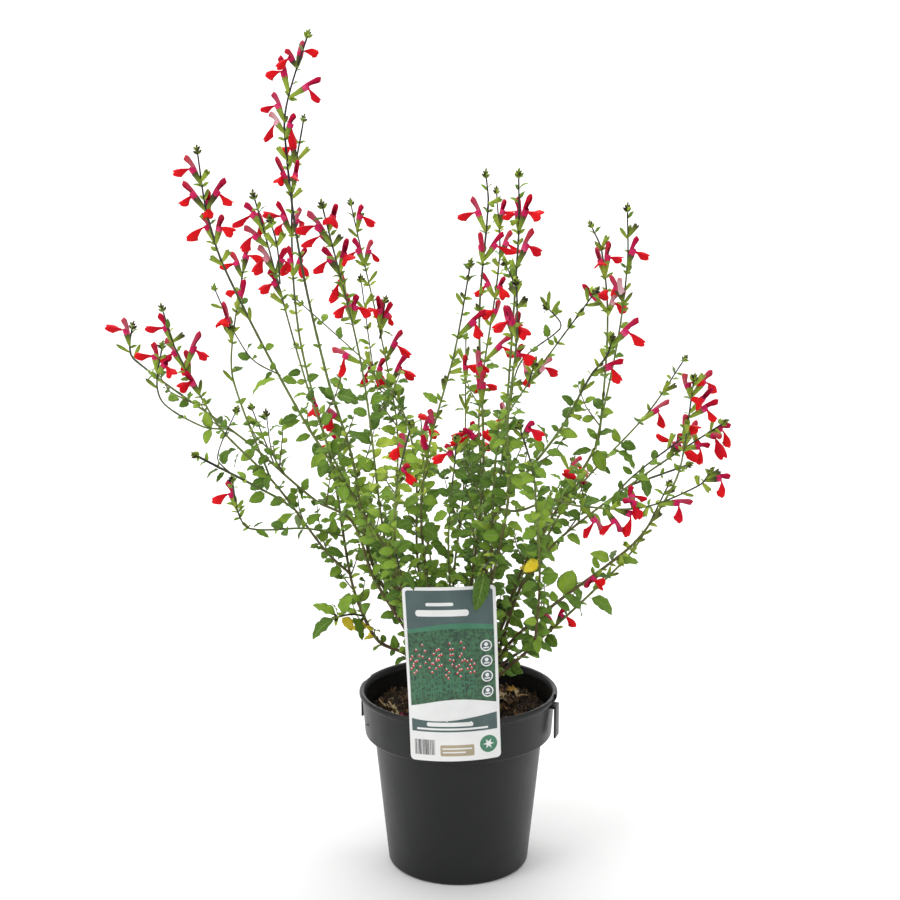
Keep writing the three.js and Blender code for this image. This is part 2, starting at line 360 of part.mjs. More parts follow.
    "leaves": [[104, 372, 112, 389, 0.8], [93, 373, 80, 362, 0.75], [120, 367, 138, 374, 0.8],
      [112, 369, 100, 356, 0.7], [128, 366, 118, 352, 0.6], [150, 365, 160, 382, 0.6],
      [180, 365, 192, 370, 0.5], [214, 379, 204, 379, 0.4]]},
  {"name": "right_high_stem", "foot": [16, 21], "depth": 135, "thick": [2.1, 0.8],
    "route": [36, 225, 48, 255, 60, 280, 72, 304, 84, 325, 95, 343, 104, 360, 113, 378, 122, 390, 138, 408,
      150, 421, 168, 441, 185, 460, 200, 479, 209, 493, 214, 502, 219, 512],
    "flowers": [[178, 452, 205, 471, 203, 451]],
    "calyces": [[200, 479, 205, 490], [200, 478, 211, 485], [152, 423, 162, 421]],
    "leaves": [[213, 499, 223, 496, 0.35], [211, 496, 216, 506, 0.4], [152, 422, 173, 402, 0.45],
      [138, 408, 150, 400, 0.6], [122, 391, 128, 405, 0.5], [105, 362, 92, 372, 0.7],
      [104, 358, 120, 352, 0.7], [84, 327, 100, 322, 0.8], [72, 306, 60, 318, 0.7],
      [61, 283, 78, 276, 0.7]]},
  {"name": "right_fan_stem", "foot": [28, 3], "depth": 5, "thick": [2.3, 0.9],
    "route": [43, 225, 52, 255, 61, 282, 73, 302, 88, 320, 104, 337, 120, 350, 135, 361, 148, 371,
      168, 387, 187, 401, 205, 414, 222, 425, 232, 432, 243, 438, 252, 443, 258, 449],
    "flowers": [[208, 417, 219, 439, 200, 441], [213, 420, 206, 434, 192, 418],
      [218, 423, 237, 447, 240, 431], [223, 426, 246, 429, 241, 415], [243, 439, 267, 446, 268, 430],
      [240, 437, 258, 437, 264, 421]],
    "calyces": [[212, 419, 217, 434], [222, 425, 214, 437], [236, 435, 228, 448], [247, 441, 248, 453],
      [250, 443, 256, 436]],
    "leaves": [[182, 397, 188, 377, 0.75], [184, 399, 199, 375, 0.3], [176, 393, 180, 408, 0.45],
      [150, 372, 146, 356, 0.6], [122, 352, 108, 362, 0.7], [104, 337, 120, 328, 0.7],
      [90, 322, 78, 334, 0.7], [106, 338, 100, 318, 0.6], [74, 304, 92, 298, 0.7], [62, 284, 50, 296, 0.7],
      [54, 259, 68, 252, 0.7]]},
  {"name": "right_fan_shoot", "on": "right_fan_stem", "depth": -35, "thick": [1.1, 0.8],
    "route": [149, 372, 158, 384, 172, 397, 188, 410, 205, 425, 222, 437],
    "flowers": [],
    "calyces": [[205, 425, 210, 440], [214, 431, 226, 436]],
    "leaves": [[174, 399, 163, 407, 0.5]]},
  {"name": "right_cut_shoot", "on": "right_fan_stem", "depth": 35, "thick": [1.2, 1.1],
    "route": [170, 389, 182, 393, 200, 401, 212, 404, 225, 408],
    "flowers": [], "calyces": [], "leaves": []},
  {"name": "right_low_stem", "foot": [27, -6], "depth": -90, "thick": [2.1, 0.8],
    "route": [42, 213, 56, 228, 70, 243, 86, 258, 104, 273, 122, 287, 140, 302, 155, 313, 167, 322,
      180, 335, 187, 345, 197, 365, 212, 388, 220, 415, 223, 440, 225, 460, 227, 478, 229, 492],
    "flowers": [[227, 476, 221, 499, 235, 494], [227, 476, 250, 498, 255, 484],
      [225, 458, 245, 482, 236, 471], [225, 457, 251, 473, 249, 460], [223, 435, 230, 456, 215, 447],
      [141, 303, 125, 287, 137, 290]],
    "calyces": [[223, 440, 232, 453], [228, 484, 236, 496], [163, 319, 156, 310]],
    "leaves": [[153, 312, 132, 322, 0.62], [154, 312, 179, 310, 0.5], [150, 309, 160, 325, 0.4],
      [133, 297, 155, 294, 0.42], [141, 302, 133, 314, 0.5], [122, 288, 140, 291, 0.35],
      [108, 276, 125, 262, 0.6], [104, 273, 118, 300, 0.8], [90, 262, 78, 274, 0.6],
      [72, 245, 92, 240, 0.6], [58, 231, 48, 243, 0.6]]},
  {"name": "right_lowest_stem", "foot": [24, 14], "depth": 70, "thick": [2.0, 0.8],
    "route": [44, 203, 60, 214, 74, 225, 84, 232, 98, 246, 118, 267, 142, 289, 158, 304, 170, 318,
      180, 332, 190, 350, 198, 368, 203, 378, 207, 388],
    "flowers": [[98, 247, 109, 262, 118, 249], [96, 244, 86, 256, 80, 242]],
    "calyces": [[190, 350, 200, 360], [172, 321, 163, 329], [203, 380, 212, 386]],
    "leaves": [[118, 268, 122, 256, 0.8], [127, 276, 154, 258, 0.55], [120, 270, 108, 286, 0.7],
      [100, 248, 88, 232, 0.4], [202, 378, 192, 385, 0.4], [165, 312, 176, 306, 0.4],
      [78, 229, 66, 238, 0.6]]},
  {"name": "front_low_stem", "foot": [24, -21], "depth": -165, "thick": [2.1, 0.8],
    "route": [38, 188, 50, 200, 64, 214, 74, 223, 78, 240, 80, 265, 81, 295, 80, 325, 78, 350, 76, 378,
      73, 403, 67, 420, 61, 437, 60, 445],
    "flowers": [[61, 437, 70, 452, 76, 442]],
    "calyces": [[62, 434, 52, 444]],
    "leaves": [[62, 433, 74, 433, 0.5], [73, 403, 58, 408, 0.5], [73, 402, 88, 394, 0.75],
      [76, 380, 62, 388, 0.6], [77, 376, 92, 384, 0.6], [78, 352, 96, 350, 0.4], [79, 345, 63, 336, 0.7],
      [80, 320, 96, 312, 0.75], [80, 312, 64, 300, 0.7], [81, 290, 62, 282, 0.7], [81, 288, 100, 296, 0.7],
      [80, 262, 68, 270, 0.6], [77, 234, 55, 231, 0.42], [76, 232, 84, 218, 0.7], [74, 224, 62, 217, 0.9],
      [76, 228, 95, 219, 0.5], [79, 250, 90, 240, 0.5]]},
  {"name": "back_bushy_stem", "foot": [-3, 30], "depth": 210, "thick": [1.9, 0.8],
    "route": [-10, 215, -18, 250, -25, 290, -30, 330, -32, 370, -33, 405, -35, 435, -37, 455],
    "flowers": [[-35, 432, -28, 455, -22, 440]],
    "calyces": [[-35, 434, -44, 446]],
    "leaves": [[-34, 425, -48, 416, 0.7], [-33, 400, -18, 404, 0.7], [-32, 375, -48, 366, 0.7],
      [-32, 372, -16, 380, 0.7], [-29, 330, -14, 326, 0.7], [-29, 325, -46, 316, 0.7],
      [-24, 288, -8, 282, 0.7], [-21, 268, -36, 262, 0.7]]},
  {"name": "front_bushy_stem", "foot": [-17, -29], "depth": -190, "thick": [1.9, 0.8],
    "route": [-34, 222, -46, 250, -56, 280, -62, 310, -64, 345, -62, 380, -58, 410, -52, 432, -47, 447],
    "flowers": [[-56, 417, -57, 440, -66, 421], [-60, 396, -50, 408, -46, 396]],
    "calyces": [[-50, 437, -41, 446]],
    "leaves": [[-49, 442, -38, 456, 0.45], [-50, 440, -64, 448, 0.45], [-56, 418, -40, 412, 0.7],
      [-58, 409, -76, 420, 0.7], [-61, 388, -46, 380, 0.6], [-62, 380, -80, 372, 0.6],
      [-64, 345, -48, 352, 0.7], [-64, 340, -82, 346, 0.62], [-61, 305, -78, 310, 0.6],
      [-56, 282, -40, 298, 0.45], [-56, 280, -74, 272, 0.6]]},
  {"name": "front_bushy_twig", "on": "front_bushy_stem", "depth": -107, "thick": [0.9, 0.7],
    "route": [-62, 318, -61, 311, -60, 304, -58, 299],
    "flowers": [], "calyces": [],
    "leaves": [[-58, 301, -43, 280, 0.55], [-61, 310, -78, 304, 0.6]]},
  {"name": "back_mid_stem", "foot": [8, 30], "depth": 170, "thick": [1.9, 0.8],
    "route": [12, 215, 15, 250, 17, 290, 16, 330, 14, 365, 14, 400, 12, 425, 10, 440],
    "flowers": [[12, 424, 22, 440, 30, 428]],
    "calyces": [[11, 432, 3, 442]],
    "leaves": [[14, 405, 30, 398, 0.8], [14, 402, -2, 410, 0.75], [14, 370, 30, 376, 0.7],
      [15, 360, -2, 352, 0.75], [16, 325, 32, 318, 0.7], [16, 320, 0, 312, 0.7], [16, 280, 32, 286, 0.7],
      [16, 272, 0, 264, 0.7]]},
  {"name": "front_mid_stem", "foot": [-3, -7], "depth": -105, "thick": [1.9, 0.8],
    "route": [-4, 215, -8, 250, -10, 290, -10, 330, -8, 365, -5, 400, -3, 420, -2, 432],
    "flowers": [[-4, 412, -12, 430, -22, 418]],
    "calyces": [[-3, 418, 5, 430]],
    "leaves": [[-4, 405, 10, 398, 0.8], [-5, 402, -20, 396, 0.75], [-7, 372, 8, 378, 0.8],
      [-8, 362, -24, 352, 0.75], [-10, 325, 6, 318, 0.7], [-10, 318, -25, 324, 0.6],
      [-10, 296, 8, 290, 0.5], [-9, 282, -24, 276, 0.6]]},
  {"name": "back_bushy_right_stem", "foot": [21, 31], "depth": 200, "thick": [1.9, 0.8],
    "route": [34, 222, 48, 255, 62, 290, 76, 320, 88, 348, 98, 372, 106, 395, 112, 412],
    "flowers": [[107, 400, 120, 415, 126, 402]],
    "calyces": [[108, 402, 102, 415]],
    "leaves": [[105, 392, 118, 386, 0.6], [104, 388, 90, 396, 0.6], [97, 372, 112, 366, 0.7],
      [88, 350, 74, 356, 0.7], [87, 345, 104, 338, 0.7], [75, 318, 92, 312, 0.7], [73, 314, 58, 322, 0.7],
      [61, 289, 76, 280, 0.7], [58, 282, 44, 290, 0.7]]},
  {"name": "back_bushy_left_stem", "foot": [-25, 19], "depth": 165, "thick": [1.9, 0.8],
    "route": [-42, 222, -58, 255, -74, 290, -88, 322, -100, 352, -108, 380, -114, 405, -118, 425,
      -119, 436],
    "flowers": [[-117, 420, -127, 440, -136, 428]],
    "calyces": [[-116, 415, -108, 428]],
    "leaves": [[-114, 404, -130, 396, 0.7], [-113, 400, -98, 408, 0.6], [-108, 378, -124, 386, 0.6],
      [-106, 372, -92, 364, 0.7], [-99, 350, -116, 356, 0.6], [-96, 342, -82, 334, 0.7],
      [-87, 320, -104, 312, 0.7], [-80, 304, -66, 298, 0.7], [-72, 286, -88, 278, 0.7]]},
];

// Small vector sums on [x, y, z]
const add = (a, b, t = 1) => [a[0] + b[0] * t, a[1] + b[1] * t, a[2] + b[2] * t];
const sub = (a, b) => [a[0] - b[0], a[1] - b[1], a[2] - b[2]];
const mix = (a, b, t) => add(a, sub(b, a), t);
const dot = (a, b) => a[0] * b[0] + a[1] * b[1] + a[2] * b[2];
const cross = (a, b) => [a[1] * b[2] - a[2] * b[1], a[2] * b[0] - a[0] * b[2], a[0] * b[1] - a[1] * b[0]];
const size = (a) => Math.sqrt(dot(a, a));
const unit = (a) => add([0, 0, 0], a, 1 / (size(a) || 1));

// A point seen at x, z, moved along its line of sight to depth y.
function sight(x, z, y) {
  const t = (y - VIEW_POINT[1]) / -VIEW_POINT[1];
  return [VIEW_POINT[0] + (x - VIEW_POINT[0]) * t, y, VIEW_POINT[2] + (z - VIEW_POINT[2]) * t];
}

// A seeded draw between 0 and 1: the same numbers on every run.
function draws(seed) {
  let state = seed;
  return () => {
    state = (state * 1664525 + 1013904223) % 4294967296;
    return state / 4294967296;
  };
}

// The nearest place to q on a line of points, as { at, t }, where t counts points.
function nearest(line, q) {
  let best = { gap: Infinity };
  for (let i = 0; i + 1 < line.length; i++) {
    const run = sub(line[i + 1], line[i]);
    const s = Math.min(1, Math.max(0, dot(sub(q, line[i]), run) / (dot(run, run) || 1)));
    const at = add(line[i], run, s);
    const gap = size(sub(q, at));
    if (gap < best.gap) best = { gap, at, t: i + s };
  }
  return best;
}

// A flat route without the points that lie within the tolerance of a straight run (Douglas and Peucker).
function thinned(points, tolerance) {
  if (points.length < 3) return points;
  const [a, b] = [points[0], points[points.length - 1]];
  let far = 0, worst = 0;
  for (let i = 1; i + 1 < points.length; i++) {
    const gap = nearest([a, b], points[i]).gap;
    if (gap > worst) [worst, far] = [gap, i];
  }
  if (worst < tolerance) return [a, b];
  const before = thinned(points.slice(0, far + 1), tolerance);
  return [...before.slice(0, -1), ...thinned(points.slice(far), tolerance)];
}

// Each stem's centre line in space, its radius at each point, and the tree it belongs to.
function layOutStems() {
  const laid = new Map();
  for (const stem of STEMS) {
    const flat = [];
    for (let i = 0; i < stem.route.length; i += 2) flat.push([stem.route[i], 0, stem.route[i + 1]]);
    const seen = thinned(flat, THIN_TOLERANCE);
    const parent = laid.get(stem.on);
    let start = [stem.foot ? stem.foot[0] : 0, stem.foot ? stem.foot[1] : 0, FOOT_TOP];
    if (parent) {
      const root = nearest(parent.seen, seen[0]);
      const i = Math.min(parent.seen.length - 2, Math.floor(root.t));
      const low = parent.points[i + parent.extra], high = parent.points[i + 1 + parent.extra];
      start = mix(low, high, root.t - i);
      seen[0] = root.at;
    }
    const lengths = [0];
    for (let i = 1; i < seen.length; i++) lengths.push(lengths[i - 1] + size(sub(seen[i], seen[i - 1])));
    const whole = lengths[lengths.length - 1];
    const points = seen.map((p, i) => {
      const share = Math.pow(lengths[i] / whole, parent ? 1 : DEPTH_POWER);
      const from = parent ? start[1] : stem.foot[1];
      return sight(p[0], p[2], from + (stem.depth - from) * share);
    });
    if (parent) points[0] = start;
    else points.unshift([stem.foot[0], stem.foot[1], FOOT_END], start);
    const radii = points.map((p, i) => {
      const share = i / (points.length - 1);
      return stem.thick[0] + (stem.thick[1] - stem.thick[0]) * share;
    });
    const tree = parent ? parent.tree : stem.name;
    laid.set(stem.name, { name: stem.name, tree, on: stem.on, seen, points, radii, extra: parent ? 0 : 2 });
  }
  return laid;
}

// The closest points of two runs a to b and c to d, as their shares along each.
function closest(a, b, c, d) {
  const u = sub(b, a), v = sub(d, c), w = sub(a, c);
  const uu = dot(u, u), uv = dot(u, v), vv = dot(v, v), uw = dot(u, w), vw = dot(v, w);
  const flat = uu * vv - uv * uv;
  const clamp = (x) => Math.min(1, Math.max(0, x));
  let s = flat > 1e-9 ? clamp((uv * vw - vv * uw) / flat) : 0;
  const t = clamp((uv * s + vw) / (vv || 1));
  s = clamp((uv * t - uw) / (uu || 1));
  return [s, t];
}

// Stems of different trees that come too close are eased apart, mostly in depth. A shoot follows its parent.
function easeApart(laid) {
  const lines = [...laid.values()];
  for (let pass = 0; pass < 60; pass++) {
    let moved = false;
    lines.forEach((one, m) => {
      for (const other of lines.slice(m + 1)) {
        if (one.tree !== other.tree && easedPair(one, other)) moved = true;
      }
    });
    for (const line of lines) {
      const parent = laid.get(line.on);
      if (parent) line.points[0] = nearest(parent.points, line.points[0]).at;
    }
    if (!moved) break;
  }
}

// Pushes the runs of two stems apart where they are too close, and says whether any was.
function easedPair(one, other) {
  let moved = false;
  for (let i = 0; i + 1 < one.points.length; i++) {
    for (let j = 0; j + 1 < other.points.length; j++) {
      const [a, b, c, d] = [one.points[i], one.points[i + 1], other.points[j], other.points[j + 1]];
      const above = Math.min(a[2], b[2]) > Math.max(c[2], d[2]) + 8;
      const below = Math.min(c[2], d[2]) > Math.max(a[2], b[2]) + 8;
      if (above || below) continue;
      const [s, t] = closest(a, b, c, d);
      const gap = sub(mix(a, b, s), mix(c, d, t));
      const need = (one.radii[i] + other.radii[j]) * SQUARE + STEM_GAP;
      const far = size(gap);
      if (far >= need) continue;
      moved = true;
      const away = unit([gap[0] * 0.4, gap[1] || 0.01, 0]);
      const push = (need - far) * 0.6 + 0.05;
      shift(a, away, push * (1 - s));
      shift(b, away, push * s);
      shift(c, away, push * (t - 1));
      shift(d, away, -push * t);
    }
  }
  return moved;
}

// Moves a point of a stem, except in its foot.
function shift(p, away, by) {
  if (p[2] <= FOOT_TOP) return;
  p[0] += away[0] * by;
  p[1] += away[1] * by;
}

// Room taken so far, as beads in a coarse grid. A new piece asks whether its own beads fit.
const CELL = 9;
const NEAR_ROOT = 14;
const AROUND = [-1, 0, 1].flatMap((i) => [-1, 0, 1].flatMap((j) => [-1, 0, 1].map((k) => [i, j, k])));

class Room {
  constructor() {
    this.cells = new Map();
  }

  cellOf(p) {
    return p.map((c) => Math.floor(c / CELL));
  }

  claim(beads, owner) {
    for (const [p, radius] of beads) {
      const key = this.cellOf(p).join();
      if (!this.cells.has(key)) this.cells.set(key, []);
      this.cells.get(key).push([p, radius, owner]);
    }
  }

  // How deep the beads reach into what is there, summed. The piece's own stem doesn't count near its root.
  clash(beads, owner, root) {
    let sum = 0;
    for (const [p, radius] of beads) {
      for (const offset of AROUND) {
        for (const [q, other, who] of this.cells.get(add(this.cellOf(p), offset).join()) || []) {
          if (who === owner && size(sub(q, root)) < NEAR_ROOT) continue;
          sum += Math.max(0, radius + other + LEAF_GAP - size(sub(p, q)));
        }
      }
    }
    return sum;
  }
}

// A ring of points about a centre, where front is its first direction and ahead the way it faces.
function ringAt(centre, radius, front, ahead, sides) {
  const across = cross(ahead, front);
  return Array.from({ length: sides }, (_, k) => {
    const turn = (2 * Math.PI * (k + 0.5)) / sides;
    return add(add(centre, front, radius * Math.cos(turn)), across, radius * Math.sin(turn));
  });
}

// The skin over rings of equal count. An end is a point, or flat where there is none.
function skin(rings, startPoint, endPoint) {
  const count = rings[0].length;
  const points = rings.flat();
  const faces = [];
  for (let r = 0; r + 1 < rings.length; r++) {
    for (let i = 0; i < count; i++) {
      const a = r * count + i, b = r * count + ((i + 1) % count);
      faces.push([a, b, b + count], [a, b + count, a + count]);
    }
  }
  const last = (rings.length - 1) * count;
  if (startPoint) {
    const start = points.push(startPoint) - 1;
    for (let i = 0; i < count; i++) faces.push([start, (i + 1) % count, i]);
  } else {
    for (let i = 1; i + 1 < count; i++) faces.push([0, i + 1, i]);
  }
  if (endPoint) {
    const end = points.push(endPoint) - 1;
    for (let i = 0; i < count; i++) faces.push([end, last + i, last + ((i + 1) % count)]);
  } else {
    for (let i = 1; i + 1 < count; i++) faces.push([last, last + i, last + i + 1]);
  }
  return { points, faces };
}

// The rings of a tapered tube along points.
function tubeRings(points, radii, sides) {
  let front = null;
  return points.map((p, i) => {
    const ahead = unit(sub(points[Math.min(points.length - 1, i + 1)], points[Math.max(0, i - 1)]));
    const guide = front || (Math.abs(ahead[1]) > 0.9 ? [1, 0, 0] : [0, 1, 0]);
    front = unit(add(guide, ahead, -dot(guide, ahead)));
    return ringAt(p, radii[i], front, ahead, sides);
  });
}

// A blade between two faces that share one outline, whose first point is its root: a fan from the rib's middle
// on each face, split alike. One face lies over the root, so that the stalk has three edges.
function blade(outline, middle, normal, thick) {
  const count = outline.length;
  const points = [...outline, add(middle, normal, thick / 2), add(middle, normal, -thick / 2)];
  const faces = [[0, 1, count - 1], [count - 1, 1, count]];
  for (let i = 0; i < count; i++) faces.push([(i + 1) % count, i, count + 1]);
  for (let i = 1; i + 1 < count; i++) faces.push([i, i + 1, count]);
  return { points, faces };
}

// Half widths along an ovate leaf as shares of its length and width, from the stalk to the last tooth.
const LEAF_EDGE = [[0.2, 0.08], [0.38, 0.47], [0.53, 0.38], [0.7, 0.44]];
const LEAF_THICK = 1.8;

// A leaf's own axes: along, across and its upper face, drooping toward the tip.
function leafFrame(root, tip, roll) {
  const along = unit(sub(tip, root));
  const level = Math.abs(along[2]) > 0.95 ? [0, -1, 0] : [0, 0, 1];
  const across0 = unit(cross(along, level));
  const up0 = cross(across0, along);
  const across = add(add([0, 0, 0], across0, Math.cos(roll)), up0, Math.sin(roll));
  return { along, across, up: cross(across, along), length: size(sub(tip, root)) };
}

function leafShape(root, tip, share, roll) {
  const { along, across, up, length } = leafFrame(root, tip, roll);
  const place = (u, v) => {
    const arch = 0.1 * length * (1 - (2 * u - 1) * (2 * u - 1));
    const cup = Math.abs(v) * 0.22 * share * length;
    return add(add(add(root, along, u * length), across, v * share * length), up, arch + cup);
  };
  const one = LEAF_EDGE.map(([u, v]) => place(u, v));
  const other = LEAF_EDGE.map(([u, v]) => place(u, -v)).reverse();
  const outline = [root, ...one, tip, ...other];
  return blade(outline, place(0.5, 0), up, LEAF_THICK);
}

function leafBeads(root, tip, share, roll) {
  const { along, across, length } = leafFrame(root, tip, roll);
  const beads = [];
  const rows = Math.max(2, Math.round(length / 5));
  for (let i = 0; i <= rows; i++) {
    const u = 0.28 + (0.68 * i) / rows;
    const half = share * length * 0.42 * Math.sin(Math.PI * Math.min(0.95, u * 0.9 + 0.05));
    const across0 = Math.max(0, Math.round(half / 3));
    for (let j = -across0; j <= across0; j++) {
      const v = across0 ? (j / across0) * half : 0;
      beads.push([add(add(root, along, u * length), across, v), 2]);
    }
  }
  return beads;
}

// A flower: a funnel calyx, a tube, a narrow hood that rises from it, and a lobed lower lip. One closed skin of
// three sides. The lip grows out of the side that faces it, between the tube's mouth and the hood's foot.
const CALYX_SHARE = 0.4, MOUTH_SHARE = 0.6, HOOD_SHARE = 0.76;
const CALYX_RADIUS = 3.2, MOUTH_RADIUS = 2.9, HOOD_RADIUS = 2.4;
const LIP_LOBES = [[0.55, 0.5], [0.97, 0.4]];
const LIP_NOTCH = [0.8, 0];
const LIP_THICK = 1.6;
const LIP_BREADTH = 16;
const LIP_BEYOND = 4;
const LIP_DROOP = 0.28;
const LIP_FOLD = 0.6;
const LIP_TURN = 0.9;

// A flower's own axes. The lip is turned about its own length, to show its upper face at the front.
function flowerFrame({ root, hood, lip }) {
  const axis = unit(sub(hood, root));
  const mouth = mix(root, hood, MOUTH_SHARE);
  const out = sub(lip, mouth);
  const front = unit(add(out, axis, -dot(out, axis)));
  const along = unit(out);
  const level = cross(axis, front);
  const level0 = unit(cross(along, level));
  const open = add([0, -1, 0], along, along[1]);
  const angle = size(open) > 0.3 ? Math.atan2(dot(open, level), dot(open, level0)) : 0;
  const turn = Math.min(LIP_TURN, Math.max(-LIP_TURN, 0.8 * angle));
  const across = add(add([0, 0, 0], level, Math.cos(turn)), level0, -Math.sin(turn));
  return { axis, mouth, front, along, across, upper: unit(cross(along, across)), reach: size(out) + LIP_BEYOND };
}

function flowerShape(flower) {
  const { root, hood } = flower;
  const { axis, mouth, front, along, across, upper, reach } = flowerFrame(flower);
  const { points, faces } = skin([
    ringAt(mix(root, hood, CALYX_SHARE), CALYX_RADIUS, front, axis, 3),
    ringAt(mouth, MOUTH_RADIUS, front, axis, 3),
    ringAt(add(mix(root, hood, HOOD_SHARE), front, -1), HOOD_RADIUS, front, axis, 3),
  ], root, hood);
  const [a, b, c, d] = [5, 3, 8, 6];
  const open = faces.filter((face) => face.filter((i) => [a, b, c, d].includes(i)).length < 3);
  const place = (u, v) => {
    const flat = add(add(mouth, along, u * reach), across, v * LIP_BREADTH);
    return add(flat, upper, -LIP_DROOP * reach * u * u - LIP_FOLD * LIP_BREADTH * Math.abs(v));
  };
  const one = LIP_LOBES.map(([u, v]) => place(u, -v));
  const other = LIP_LOBES.map(([u, v]) => place(u, v)).reverse();
  const edge = [...one, place(...LIP_NOTCH), ...other];
  const first = points.length;
  points.push(...edge, add(place(0.55, 0), upper, -LIP_THICK / 2), add(place(0.55, 0), upper, LIP_THICK / 2));
  const rim = edge.map((_, i) => first + i);
  const [low, high] = [first + edge.length, first + edge.length + 1];
  const fan = (cycle, centre) => {
    cycle.forEach((p, i) => open.push([p, cycle[(i + 1) % cycle.length], centre]));
  };
  fan([a, b, ...[...rim].reverse()], low);
  fan([d, c, ...rim], high);
  open.push([c, a, rim[0]], [b, d, rim[rim.length - 1]]);
  return { points, faces: open };
}

function flowerBeads(flower) {
  const { root, hood, lip } = flower;
  const { mouth, across } = flowerFrame(flower);
  const beads = [0.25, 0.45, 0.65].map((s) => [mix(root, hood, s), 3]);
  beads.push([mix(root, hood, 0.84), 2], [hood, 1.5]);
  for (const s of [0.5, 1]) {
    for (const v of [-5, 0, 5]) beads.push([add(mix(mouth, lip, s), across, v * s), 2.4]);
  }
  return beads;
}

function calyxBeads(root, tip) {
  return [0.5, 0.75, 1].map((s) => [mix(root, tip, s), 2]);
}

// An empty calyx: a funnel.
function calyxShape(root, tip) {
  return skin(tubeRings([mix(root, tip, 0.99), tip], [2.3, 2.3], 3).slice(1), root, null);
}

// A stem's skin, square as in the mint family, which swells at its end into a cluster of buds. Side shoots have
// three sides.
const BUD_ALONG = 4.5, BUD_RADIUS = 2.9, BUD_END = 10;
function stemShape(line) {
  const end = line.points.length - 1;
  const ahead = unit(sub(line.points[end], line.points[end - 1]));
  const points = [...line.points, add(line.points[end], ahead, BUD_ALONG)];
  const radii = [...line.radii.map((r) => r * SQUARE), BUD_RADIUS];
  return skin(tubeRings(points, radii, line.on ? 3 : 4), null, add(line.points[end], ahead, BUD_END));
}

// Turns q about the upright line through p.
function turned(p, q, angle) {
  const d = sub(q, p), c = Math.cos(angle), s = Math.sin(angle);
  return [p[0] + d[0] * c - d[1] * s, p[1] + d[0] * s + d[1] * c, q[2]];
}

// The way that a small turn is tried in, from none to wide.
const TURNS = [0, 0.25, -0.25, 0.5, -0.5, 0.8, -0.8, 1.1, -1.1, 1.5, -1.5, 2, -2, 2.6, -2.6];

// A draw of its own for each piece, from its kind and its place in the lists.
function drawFor(kind, stem, item) {
  const draw = draws((((kind * 50 + stem) * 50 + item + SEED) * 1103515245) % 4294967296);
  draw();
  draw();
  return draw;
}

// A place on a stem's centre line, for a spot seen at x, z. Pieces at one node sit a little apart along it.
function nodeOn(line, x, z, item) {
  const seen = nearest(line.seen, [x, 0, z]);
  const i = Math.min(line.seen.length - 2, Math.floor(seen.t));
  const [low, high] = [line.points[i + line.extra], line.points[i + 1 + line.extra]];
  return add(mix(low, high, seen.t - i), unit(sub(high, low)), ((item % 3) - 1) * NODE_SPREAD);
}

// From a root, the spot seen from b to c, with a lean in depth.
function seenFrom(root, b, c, lean) {
  const t = (root[1] - VIEW_POINT[1]) / -VIEW_POINT[1];
  return [root[0] + (c[0] - b[0]) * t, root[1] + lean, root[2] + (c[1] - b[1]) * t];
}

// The first of some ways to place a piece that is clear of all else, or the clearest, if it is good enough.
function clearest(room, owner, root, ways, beadsOf, limit) {
  let chosen = null, least = Infinity;
  for (const way of ways) {
    const beads = beadsOf(way);
    const clash = room.clash(beads, owner, root);
    if (clash < least) [chosen, least] = [{ way, beads }, clash];
    if (least === 0) break;
  }
  if (least > limit) return null;
  room.claim(chosen.beads, owner + " dress");
  return chosen.way;
}

// The beads of the pot's lip and of the label, which stems and leaves stay clear of.
function potBeads() {
  const turns = Array.from({ length: 120 }, (_, i) => (i * Math.PI) / 60);
  const heights = [POT_HEIGHT - 8, POT_HEIGHT - 3, POT_HEIGHT + 2];
  const at = (turn, z) => [(LIP_RADIUS - 2) * Math.cos(turn), (LIP_RADIUS - 2) * Math.sin(turn), z];
  return turns.flatMap((turn) => heights.map((z) => [at(turn, z), 4]));
}

function labelBeads() {
  const beads = [];
  for (let u = 0; u <= 1; u += 0.05) {
    for (let v = 0; v <= 1; v += 0.025) beads.push([labelPoint(u, v, LABEL_THICK / 2), 2.5]);
  }
  return beads;
}

function lineBeads(line) {
  return line.points.slice(1).flatMap((b, i) => {
    const a = line.points[i];
    const steps = Math.max(1, Math.ceil(size(sub(b, a)) / 3));
    return Array.from({ length: steps }, (_, k) => [mix(a, b, k / steps), line.radii[i] * SQUARE]);
  });
}

